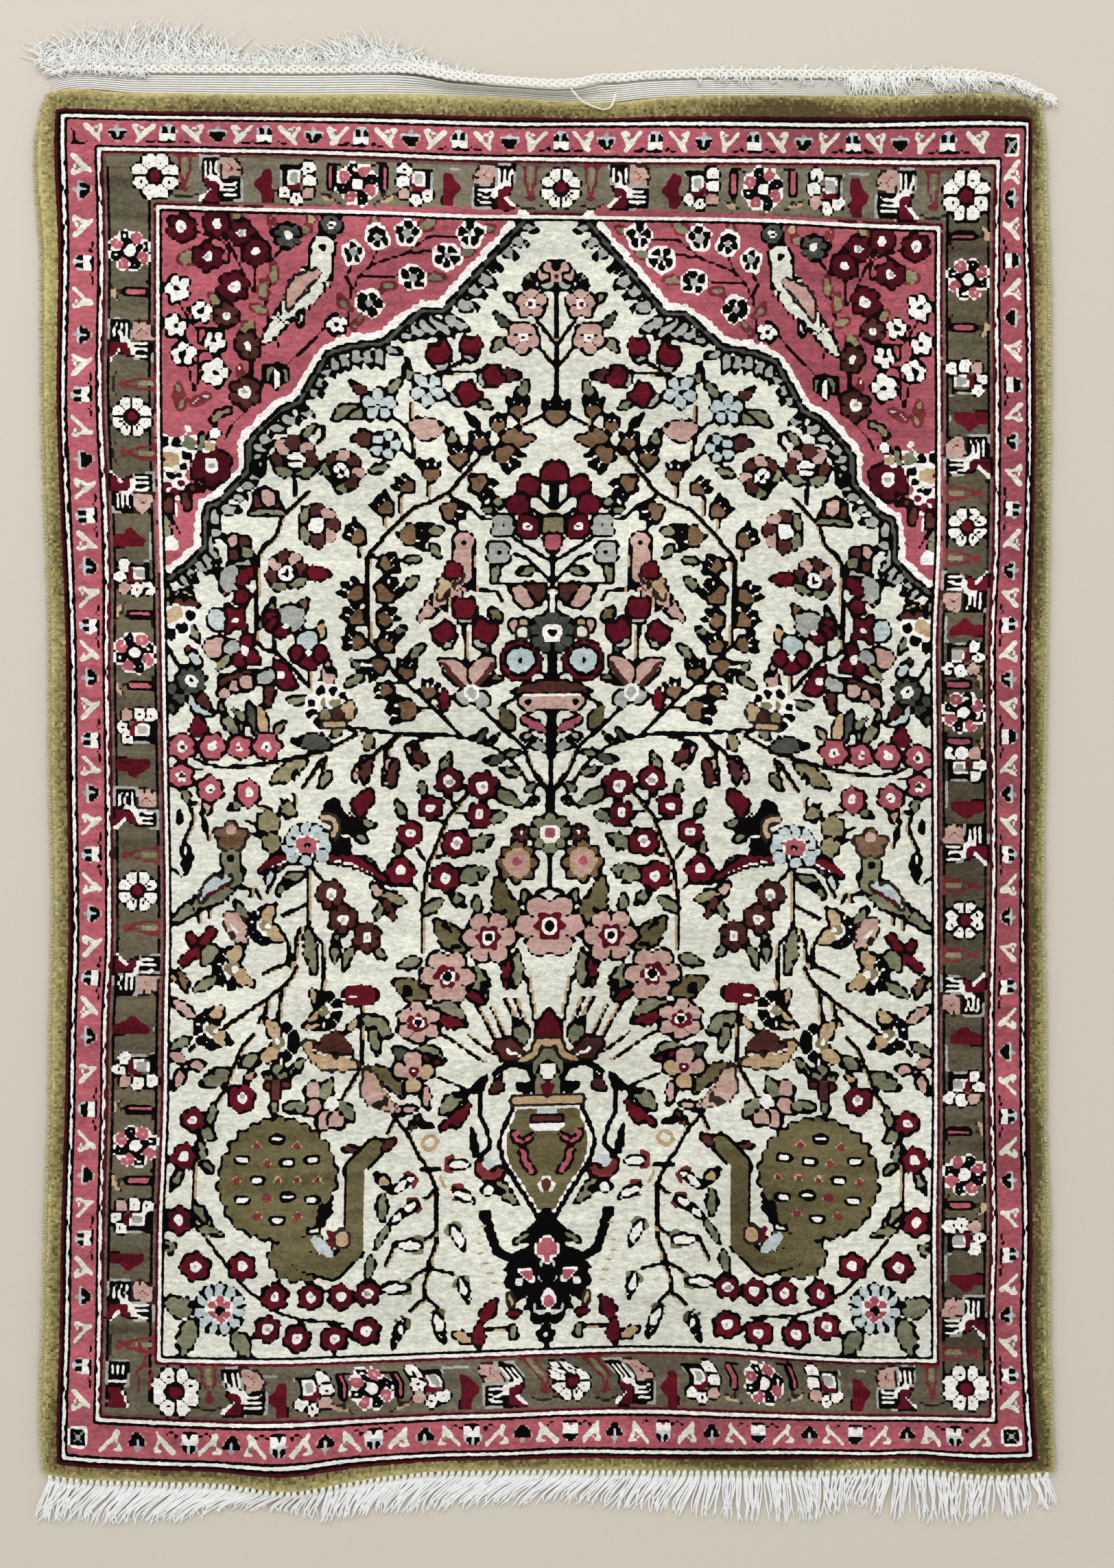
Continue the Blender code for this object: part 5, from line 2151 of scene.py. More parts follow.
    @staticmethod
    def ridge(pen: Pen) -> None:
        """The wide palmette on the middle line, its pink leaf wings above and small blossoms.

        Args:
            pen: The pen that draws it, in the drawing's own places.
        """
        pen.shape([(748, 1008), (766, 998), (784, 995), (805, 996), (805, 1011), (757, 1012)], Ink.MAROON, Ink.BLACK)
        pen.shape([(756, 1014), (805, 1014), (805, 1034), (776, 1035), (757, 1029)], Ink.PINK, Ink.BLACK)
        pen.stem([(757, 1012), (805, 1012)], Ink.WHITE, 3.6)
        pen.disc(769, 1023, 4, Ink.BLACK)
        pen.shape([(744, 856), (765, 853), (785, 882), (764, 886), (750, 874)], Ink.PINK, Ink.BLACK)
        pen.shape([(768, 852), (794, 852), (795, 868), (785, 880)], Ink.MAROON, Ink.BLACK)
        pen.disc(750, 913, 8, Ink.PINK, Ink.BLACK)
        pen.disc(763, 908, 6, Ink.TAN, Ink.BLACK)
        pen.disc(761, 922, 8, Ink.IVORY, Ink.BARK)
        pen.stem([(805, 860), (805, 890)], Ink.WHITE, 4)

    @staticmethod
    def half_bud(pen: Pen) -> None:
        """A bud with a pink and a maroon half."""
        pen.leaf((-6, 19), (-6, -17), 18, Ink.PINK, Ink.BLACK, 0.1)
        pen.leaf((6, 19), (6, -17), 16, Ink.MAROON, Ink.BLACK, -0.1)


# Stems of the crimson spray and of the palmettes to its left.
SPRAY_STEMS = (
    ((686, 1152), (652, 1191), (635, 1235), (622, 1265), (615, 1320), (615, 1388)),
    ((655, 1161), (661, 1174)),
    ((634, 1193), (648, 1201)),
    ((666, 1185), (679, 1185)),
    ((607, 1236), (618, 1254)),
    ((636, 1250), (647, 1246)),
    ((600, 1291), (608, 1296)),
    ((801, 1239), (801, 1296)),
    ((782, 1302), (790, 1298), (801, 1294), (812, 1298), (820, 1302)),
    ((786, 1130), (795, 1152)),
    ((275, 1170), (281, 1193), (277, 1207), (269, 1224)),
    ((293, 1186), (304, 1224)),
    ((288, 1170), (275, 1172)),
    ((448, 1264), (448, 1340), (455, 1360), (470, 1375), (472, 1432)),
    ((452, 1262), (470, 1284)),
    ((394, 1284), (389, 1302)),
    ((446, 1318), (411, 1335)),
    ((433, 1368), (428, 1400), (382, 1419)),
    ((420, 1372), (422, 1410)),
    ((438, 1352), (430, 1374)),
    ((292, 1308), (289, 1344)),
    ((306, 1308), (304, 1338)),
    ((342, 1294), (373, 1296), (379, 1310)),
    ((366, 1296), (364, 1306)),
    ((358, 1196), (372, 1202)),
    ((358, 1214), (380, 1218)),
    ((376, 1176), (390, 1176)),
    ((408, 1164), (414, 1170)),
    ((428, 1158), (430, 1170)),
)
SPRAY_FLOWERS = (
    (Bloom.STAR, 655, 1140, 20, 0),
    (Bloom.STAR, 704, 1146, 21, 10),
    (Bloom.STAR, 627, 1178, 18, 0),
    (Bloom.STAR, 698, 1188, 19.5, 20),
    (Bloom.STAR, 598, 1215, 19, 0),
    (Bloom.STAR, 666, 1229, 21.5, 15),
    (Bloom.STAR, 584, 1270, 21.5, 30),
    (Bloom.STAR, 649, 1280, 22, 0),
    (Bloom.ROSE, 306, 1151, 18, 0),
    (Bloom.ROSE, 362, 1156, 18, 0),
    (Bloom.BROWN, 482, 1304, 20, 20),
    (Bloom.BROWN, 500, 1341, 20, 0),
    (Bloom.BROWN, 535, 1366, 20, 10),
    (Bloom.BROWN, 760, 1216, 12, 0),
)
SPRAY_LEAVES = (
    (618, 1160, 615, 1140, 11, Ink.SAGE, 0),
    (590, 1194, 578, 1168, 12, Ink.SAGE, 0),
    (580, 1248, 580, 1228, 10, Ink.SAGE, 0),
    (720, 1152, 762, 1175, 16, Ink.SAGE, 0),
    (714, 1196, 738, 1187, 17, Ink.SAGE, 0),
    (686, 1236, 721, 1221, 22, Ink.SAGE, 0),
    (671, 1281, 709, 1270, 27, Ink.SAGE, 0),
    (655, 1301, 677, 1322, 16, Ink.SAGE, 0),
    (617, 1330, 645, 1312, 15, Ink.SAGE, 0),
    (697, 1330, 694, 1306, 12, Ink.SAGE, 0),
    (774, 1318, 762, 1300, 14, Ink.SAGE, 0),
    (766, 1154, 780, 1144, 10, Ink.SAGE, 0),
    (770, 1170, 786, 1164, 10, Ink.SAGE, 0),
    (750, 1358, 724, 1283, 38, Ink.OLIVE, 0),
    (677, 1388, 634, 1342, 35, Ink.OLIVE, 0),
    (613, 1401, 580, 1407, 16, Ink.SAGE, 0),
    (520, 1378, 500, 1414, 11, Ink.SAGE, 0.1),
    (546, 1380, 560, 1396, 8, Ink.SAGE, 0),
    (524, 1199, 546, 1203, 12, Ink.SAGE, 0),
    (518, 1216, 534, 1226, 12, Ink.SAGE, 0),
    (560, 1312, 541, 1288, 12, Ink.PINK, 0),
    (558, 1308, 590, 1315, 19, Ink.KHAKI, 0),
    (556, 1316, 548, 1342, 12, Ink.SAGE, 0),
    (562, 1314, 574, 1340, 14, Ink.MAROON, 0),
    (266, 1150, 274, 1168, 9, Ink.SAGE, 0),
    (300, 1168, 303, 1184, 10, Ink.TAN, 0),
    (350, 1170, 333, 1180, 9, Ink.SAGE, 0),
    (443, 1275, 406, 1302, 15, Ink.SAGE, 0.15),
    (396, 1270, 390, 1290, 11, Ink.PALE, 0),
    (342, 1314, 364, 1344, 12, Ink.SAGE, 0),
    (448, 1352, 458, 1418, 19, Ink.SAGE, 0),
    (490, 1361, 488, 1403, 13, Ink.SAGE, 0),
    (420, 1246, 388, 1262, 22, Ink.SLATE, -0.1),
    (430, 1252, 378, 1271, 12, Ink.CRIMSON, 0.12),
    (520, 1250, 548, 1274, 16, Ink.SLATE, -0.1),
    (470, 1252, 560, 1282, 16, Ink.CRIMSON, -0.1),
    (258, 1430, 254, 1416, 10, Ink.TAN, 0),
)


@dataclass
class Spray:
    """The crimson spray, the large palmette beside it, the grey bird and the flowers round them."""

    chart: Chart

    def draw(self) -> None:
        """Draw stems first, then leaves, flowers and the odd shapes."""
        pen, flora = Pen(self.chart), Flora(self.chart)
        flora.stems(SPRAY_STEMS)
        pen.stem([(801, 1148), (801, 1188)], Ink.BLACK, 9)
        flora.leaves(SPRAY_LEAVES)
        flora.grow(SPRAY_FLOWERS)
        self.middle_line(pen)
        self.palmette(pen)
        self.bird(pen)
        self.twigs(pen)
        for x, y, size, turn in ((389, 1350, 23, 0), (340, 1412, 25, 0)):
            self.ringed(Pen(self.chart, (x, y), float(turn)), size)

    @staticmethod
    def middle_line(pen: Pen) -> None:
        """The small sage flower on the middle line and the tan rosette beside it.

        Args:
            pen: The pen that draws it, in the drawing's own places.
        """
        pen.flower(801, 1214, 29, 8, Ink.SAGE, Ink.BLACK, 0.22)
        pen.rays(801, 1214, 14, 28, 8, Ink.BLACK, 2.6, 22.5)
        pen.disc(801, 1214, 14, Ink.WHITE)
        pen.flower(801, 1213, 9, 4, Ink.ROSE, None, 0.1, 45)
        pen.flower(753, 1258, 30, 8, Ink.TULIP, Ink.BLACK, 0.22)
        pen.rays(753, 1258, 18, 29, 8, Ink.BLACK, 2.4, 22)
        pen.disc(753, 1258, 17, Ink.PINK, Ink.TAN)
        pen.flower(752, 1256, 8, 4, Ink.ROSE, None, 0.2)

    @staticmethod
    def palmette(pen: Pen) -> None:
        """The large palmette: blue petals round a rose heart, khaki pads left and black petals right.

        Args:
            pen: The pen that draws it, in the drawing's own places.
        """
        for x, y, size in ((392, 1199, 17), (419, 1180, 12), (396, 1228, 14)):
            pen.flower(x, y, size, 6, Ink.KHAKI, Ink.BLACK, 0.24)
        for x, y, size in ((484, 1178, 16), (506, 1203, 19), (497, 1234, 16), (520, 1206, 12)):
            pen.flower(x, y, size, 3, Ink.BLACK, None, 0.08)
        pen.stem([(500, 1182), (512, 1192)], Ink.WHITE, 3)
        pen.stem([(494, 1216), (510, 1220)], Ink.WHITE, 3)
        pen.stem([(472, 1192), (486, 1194), (490, 1208), (484, 1220)], Ink.TAN, 7, Ink.BARK)
        for k in range(9):
            a = math.radians(-128 + 32 * k)
            x, y = 448 + 26 * math.sin(a), 1233 - 24 * math.cos(a)
            pen.flower(x, y, 9.5, 1, Ink.PALE, Ink.BLACK, 0, rim_width=2.6)
        pen.disc(448, 1233, 17, Ink.WHITE)
        pen.flower(448, 1233, 15, 5, Ink.ROSE, None, 0.16)
        pen.disc(448, 1233, 6, Ink.DARK)
        pen.disc(448, 1233, 3, Ink.PINK)
        pen.flower(446, 1254, 8, 3, Ink.PALE, Ink.BLACK, 0.1)
        pen.stem([(392, 1266), (420, 1254)], Ink.WHITE, 2.6)
        pen.stem([(486, 1254), (520, 1262), (544, 1274)], Ink.WHITE, 2.8)

    @staticmethod
    def bird(pen: Pen) -> None:
        """The grey-olive bird, its wing barred crimson, and a pink bud under it.

        Args:
            pen: The pen that draws it, in the drawing's own places.
        """
        Flora.fowl(pen, (336, 1252), (340, 1280), (290, 1316), 25, Ink.SAGE, Ink.PALE)
        pen.stem([(328, 1290), (298, 1308)], Ink.CRIMSON, 4.5)
        pen.leaf((332, 1330), (356, 1378), 32, Ink.PINK, Ink.BARK)
        pen.stem([(336, 1348), (346, 1360)], Ink.IVORY, 4)

    @staticmethod
    def twigs(pen: Pen) -> None:
        """Black twigs, a hanging black bud, a ruffled brown flower and a crimson leaf with a sage fan.

        Args:
            pen: The pen that draws it, in the drawing's own places.
        """
        pen.leaf((262, 1204), (262, 1178), 13, Ink.BLACK, None)
        pen.leaf((299, 1216), (297, 1192), 12, Ink.BLACK, None)
        pen.leaf((271, 1226), (271, 1276), 24, Ink.BLACK, None)
        pen.stem([(270, 1236), (270, 1248)], Ink.WHITE, 3)
        pen.stem([(270, 1272), (264, 1280), (254, 1266)], Ink.BLACK, 4)
        pen.flower(337, 1219, 25, 5, Ink.TULIP, Ink.BARK, 0.34, 0, 0.85)
        pen.flower(337, 1211, 8, 4, Ink.PINK, None, 0.2)
        pen.stem([(278, 1366), (288, 1384), (309, 1358)], Ink.CRIMSON, 10, Ink.DARK)
        pen.stem([(288, 1384), (268, 1402)], Ink.CRIMSON, 10, Ink.DARK)
        pen.stem([(288, 1384), (294, 1400)], Ink.CRIMSON, 9)
        pen.shape([(295, 1386), (309, 1376), (326, 1392), (316, 1402), (296, 1406)], Ink.SAGE, Ink.BLACK)
        outline = [
            (512, 1172), (524, 1160), (540, 1150), (543, 1168), (532, 1184), (524, 1194),
        ]
        pen.shape(outline, Ink.CRIMSON, Ink.DARK)

    @staticmethod
    def ringed(pen: Pen, size: float) -> None:
        """A palmette: navy blocks on its left, a khaki eye in a white ring, and tan petals on its right.

        Args:
            pen: The pen that draws it, set at its place.
            size: Its radius, or a bud's half height, in drawing units.
        """
        angles = np.radians(np.linspace(-175, -15, 9))
        arc = [(0.98 * size * math.sin(a), -0.98 * size * math.cos(a)) for a in angles]
        pen.stem(arc, Ink.BLACK, size * 0.66)
        for a in angles[1::2]:
            x, y = size * math.sin(a), -size * math.cos(a)
            pen.stem([(0.5 * x, 0.5 * y), (1.24 * x, 1.24 * y)], Ink.WHITE, 2.2)
        pen.disc(0, 0, size * 0.56, Ink.WHITE)
        pen.leaf((-size * 0.1, -size * 0.1), (size * 0.5, -size * 1.35), size * 0.85, Ink.TAN, Ink.BLACK, -0.1, 2)
        pen.leaf((size * 0.1, size * 0.1), (size * 1.15, size * 0.85), size * 0.85, Ink.TAN, Ink.BLACK, 0.1, 2)
        pen.disc(-size * 0.08, 0, size * 0.36, Ink.KHAKI)
        pen.disc(size * 0.06, size * 0.06, size * 0.15, Ink.WHITE)


# Stems round the hanging palmettes and up from the vase.
HANGING_STEMS = (
    ((434, 1408), (419, 1433), (383, 1460), (326, 1498)),
    ((412, 1440), (407, 1466), (405, 1490)),
    ((390, 1460), (386, 1478), (376, 1490)),
    (
        (369, 1508), (354, 1523), (346, 1542), (335, 1567), (328, 1588), (313, 1609), (296, 1636),
        (286, 1666), (283, 1702),
    ),
    ((527, 1468), (527, 1553), (514, 1576), (499, 1600)),
    ((563, 1608), (572, 1625), (597, 1658), (608, 1682), (622, 1702)),
    ((573, 1634), (563, 1654)),
    ((284, 1524), (275, 1532)),
    ((435, 1624), (456, 1626)),
    ((470, 1474), (470, 1432)),
)
HANGING_LEAVES = (
    (259, 1416, 272, 1447, 13, Ink.TULIP, -0.1),
    (314, 1427, 283, 1445, 13, Ink.SAGE, 0),
    (254, 1459, 284, 1484, 14, Ink.PINK, 0),
    (278, 1512, 251, 1528, 13, Ink.SAGE, 0),
    (381, 1540, 350, 1555, 20, Ink.SAGE, 0),
    (333, 1563, 294, 1582, 25, Ink.SAGE, 0),
    (357, 1573, 370, 1565, 9, Ink.TAN, 0),
    (310, 1612, 306, 1640, 13, Ink.SAGE, 0),
    (298, 1640, 312, 1660, 16, Ink.SAGE, 0.2),
    (292, 1664, 294, 1700, 14, Ink.SAGE, 0),
    (294, 1696, 310, 1706, 11, Ink.SAGE, 0),
    (270, 1550, 251, 1536, 13, Ink.PINK, 0),
    (276, 1552, 297, 1552, 17, Ink.PINK, 0.1),
    (272, 1552, 254, 1588, 13, Ink.PINK, 0),
    (404, 1574, 405, 1546, 16, Ink.SAGE, 0),
    (400, 1576, 386, 1566, 13, Ink.SAGE, 0),
    (410, 1576, 420, 1562, 11, Ink.SAGE, 0),
    (399, 1606, 399, 1624, 9, Ink.SAGE, 0),
    (442, 1545, 422, 1568, 11, Ink.SAGE, 0),
    (531, 1482, 570, 1510, 26, Ink.SAGE, 0),
    (542, 1500, 551, 1537, 14, Ink.SAGE, 0),
    (522, 1486, 505, 1505, 8, Ink.TAN, 0),
    (622, 1455, 576, 1431, 34, Ink.OLIVE, 0),
    (692, 1412, 706, 1458, 28, Ink.SAGE, 0),
    (680, 1446, 706, 1462, 13, Ink.CRIMSON, 0),
    (632, 1466, 678, 1493, 28, Ink.SAGE, -0.1),
    (636, 1478, 678, 1494, 16, Ink.CRIMSON, 0.1),
    (606, 1530, 648, 1546, 18, Ink.SAGE, -0.1),
    (610, 1540, 642, 1550, 13, Ink.CRIMSON, 0),
    (596, 1546, 574, 1530, 20, Ink.SLATE, 0),
    (619, 1584, 624, 1616, 11, Ink.PINK, 0),
    (534, 1558, 586, 1600, 24, Ink.OLIVE, -0.15),
    (643, 1623, 682, 1594, 22, Ink.SAGE, -0.1),
    (644, 1645, 684, 1610, 19, Ink.CRIMSON, 0.1),
    (572, 1612, 588, 1624, 11, Ink.PINK, 0),
    (588, 1618, 606, 1616, 10, Ink.PINK, 0),
    (598, 1646, 612, 1628, 12, Ink.MAROON, 0),
    (612, 1640, 630, 1642, 7, Ink.BLACK, 0),
    (758, 1424, 745, 1392, 14, Ink.SAGE, 0),
    (752, 1438, 754, 1386, 18, Ink.SAGE, 0),
    (738, 1438, 739, 1386, 13, Ink.CRIMSON, 0),
    (766, 1520, 752, 1488, 22, Ink.SAGE, 0),
)
HANGING_FLOWERS = (
    (Bloom.BLOSSOM, 801, 1350, 50, 30),
    (Bloom.BLOSSOM, 713, 1367, 41, 30),
    (Bloom.BLOSSOM, 652, 1424, 41, 30),
    (Bloom.BLOSSOM, 610, 1491, 33, 0),
    (Bloom.STAR, 352, 1602, 21, 10),
    (Bloom.STAR, 281, 1632, 17.5, 0),
    (Bloom.STAR, 269, 1687, 19, 20),
    (Bloom.STAR, 259, 1780, 19, 0),
)
# Double lines that fan out from the vase: foot x and y, and the outer end.
VASE_RAYS = (
    (704, 1548, 647, 1509),
    (720, 1538, 681, 1509),
    (722, 1518, 693, 1464),
    (736, 1514, 714, 1467),
    (750, 1490, 735, 1455),
    (763, 1490, 749, 1455),
    (780, 1497, 767, 1422),
    (684, 1590, 634, 1569),
)


@dataclass
class Hanging:
    """The hanging palmettes on the left, the broad pink blossoms and the fan of lines over the vase."""

    chart: Chart

    def draw(self) -> None:
        """Draw stems first, then leaves, flowers and the odd shapes."""
        pen, flora = Pen(self.chart), Flora(self.chart)
        flora.stems(HANGING_STEMS)
        for x, y, end_x, end_y in VASE_RAYS:
            pen.stem([(x + 5, y + 1), (end_x + 5, end_y + 1)], Ink.TAN, 3.4)
            pen.stem([(x, y), (end_x, end_y)], Ink.BLACK, 4.4)
        flora.leaves(HANGING_LEAVES)
        flora.grow(HANGING_FLOWERS)
        ringed = ((311, 1500, 24, 0), (405, 1519, 25, 205), (469, 1473, 24, 205))
        for x, y, size, turn in ringed:
            Spray.ringed(Pen(self.chart, (x, y), float(turn)), size)
        self.odd(pen)
        self.small_blossom(pen)

    @staticmethod
    def odd(pen: Pen) -> None:
        """Shapes that come once: ragged leaves, pink and crimson flowers, a maroon cross and a tan ring.

        Args:
            pen: The pen that draws it, in the drawing's own places.
        """
        pen.leaf((444, 1520), (520, 1554), 34, Ink.TAN, Ink.BARK, 0.1, 5)
        pen.leaf((460, 1526), (514, 1534), 34, Ink.MAROON, Ink.DARK, -0.16, 4)
        pen.stem([(454, 1529), (478, 1540), (512, 1540)], Ink.IVORY, 2.6)
        for x, y, size in ((457, 1592, 13), (457, 1616, 13), (473, 1634, 12), (490, 1632, 12)):
            pen.flower(x, y, size, 3, Ink.PINK, Ink.BLACK, 0.12)
        pen.leaf((470, 1602), (484, 1572), 18, Ink.SAGE)
        pen.leaf((446, 1616), (414, 1614), 18, Ink.SAGE)
        pen.leaf((494, 1606), (515, 1632), 18, Ink.SAGE)
        pen.disc(484, 1610, 9, Ink.WHITE)
        pen.stem([(392, 1583), (418, 1581)], Ink.MAROON, 9, Ink.DARK)
        pen.stem([(402, 1578), (402, 1600)], Ink.MAROON, 9, Ink.DARK)
        pen.flower(524, 1451, 26, 4, Ink.CRIMSON, Ink.DARK, 0.12, 45, 0.58)
        pen.stem([(500, 1456), (520, 1453)], Ink.WHITE, 3)
        pen.leaf((532, 1562), (574, 1618), 34, Ink.PINK, Ink.BARK, 0.14, 4)
        pen.stem([(532, 1562), (550, 1578), (574, 1612)], Ink.TAN, 3)
        pen.disc(626, 1666, 13, Ink.TAN, None)
        pen.disc(626, 1666, 8, Ink.IVORY, None)
        pen.disc(626, 1666, 3, Ink.KHAKI, None)
        outline = [
            (720, 1526), (728, 1516), (744, 1514), (756, 1524), (762, 1536), (748, 1546),
            (730, 1544),
        ]
        pen.shape(outline, Ink.MAROON, Ink.DARK)
        pen.stem([(738, 1530), (746, 1537), (764, 1538)], Ink.WHITE, 3.6)

    @staticmethod
    def small_blossom(pen: Pen) -> None:
        """The smallest of the broad blossoms: four round petals with a small crimson eye.

        Args:
            pen: The pen that draws it, in the drawing's own places.
        """
        for x, y, ink in (
            (584, 1560, Ink.PINK),
            (621, 1562, Ink.TAN),
            (603, 1545, Ink.PINK),
            (602, 1582, Ink.TAN),
        ):
            pen.flower(x, y, 12, 4, ink, Ink.BLACK, 0.08, 45)
        pen.disc(603, 1562, 8, Ink.CRIMSON, Ink.PINK)
        pen.disc(603, 1562, 2.5, Ink.WHITE)


# Stems of the lower left: the long leafy stem, and the bare tree beside the vase.
LOWER_STEMS = (
    ((283, 1702), (281, 1748), (285, 1760), (283, 1785), (292, 1794), (316, 1827), (334, 1849), (353, 1874),
     (375, 1892), (396, 1910), (434, 1924), (500, 1930)),
    ((617, 1694), (630, 1718), (637, 1740)),
    ((634, 1790), (636, 1812), (626, 1838), (626, 1850)),
    ((626, 1848), (605, 1858), (593, 1870)),
    ((626, 1850), (660, 1857)),
    ((626, 1850), (617, 1874), (620, 1891), (596, 1912)),
    ((620, 1891), (646, 1913)),
    ((612, 1705), (642, 1705)),
    ((637, 1734), (618, 1748)),
    ((634, 1796), (612, 1814)),
    ((574, 1814), (568, 1830), (561, 1846)),
    ((708, 1938), (750, 1935), (752, 1950)),
)
LOWER_FLOWERS = (
    (Bloom.STAR, 261, 1779, 20.5, 0),
    (Bloom.STAR, 285, 1846, 22, 15),
    (Bloom.STAR, 352, 1847, 21, 0),
    (Bloom.STAR, 400, 1891, 19, 10),
    (Bloom.STAR, 453, 1891, 18.5, 0),
    (Bloom.STAR, 497, 1891, 18.5, 10),
    (Bloom.STAR, 535, 1886, 18.5, 20),
    (Bloom.STAR, 389, 1938, 19, 0),
    (Bloom.STAR, 433, 1951, 20, 15),
    (Bloom.STAR, 487, 1952, 20, 0),
    (Bloom.STAR, 534, 1941, 20, 10),
    (Bloom.TEAR, 713, 1911, 18, 30),
    (Bloom.TEAR, 698, 1947, 17, 0),
)
LOWER_LEAVES = (
    (263, 1708, 249, 1737, 11, Ink.SAGE, 0),
    (284, 1758, 306, 1784, 15, Ink.SAGE, 0),
    (290, 1790, 324, 1800, 12, Ink.SAGE, 0),
    (240, 1820, 254, 1816, 17, Ink.SAGE, 0),
    (284, 1907, 239, 1895, 33, Ink.SAGE, -0.1),
    (280, 1926, 264, 1974, 30, Ink.SAGE, 0),
    (342, 1943, 363, 1977, 24, Ink.SAGE, 0),
    (548, 1711, 572, 1737, 15, Ink.TAN, 0),
    (557, 1741, 557, 1782, 13, Ink.SAGE, 0),
    (566, 1788, 546, 1822, 9, Ink.SAGE, 0),
    (541, 1832, 536, 1864, 12, Ink.SAGE, 0),
    (685, 1955, 660, 1945, 14, Ink.TAN, 0),
    (725, 1725, 753, 1756, 17, Ink.SAGE, 0),
    (781, 1799, 750, 1812, 13, Ink.SAGE, 0),
    (503, 1677, 521, 1676, 9, Ink.MAROON, 0),
)
# The bare tree's leaves, white in black outline, each with two sepals: tail x, y, tip x, y, sepal silk.
TREE_LEAVES = (
    (601, 1717, 573, 1738, Ink.RUST),
    (607, 1755, 569, 1783, Ink.RUST),
    (612, 1816, 578, 1815, Ink.SAGE),
    (594, 1876, 556, 1880, Ink.SAGE),
    (588, 1926, 573, 1964, Ink.OLIVE),
    (661, 1736, 690, 1752, Ink.RUST),
    (659, 1789, 677, 1823, Ink.SAGE),
    (671, 1866, 683, 1899, Ink.SAGE),
    (636, 1915, 648, 1958, Ink.OLIVE),
    (654, 1697, 684, 1700, Ink.RUST),
)


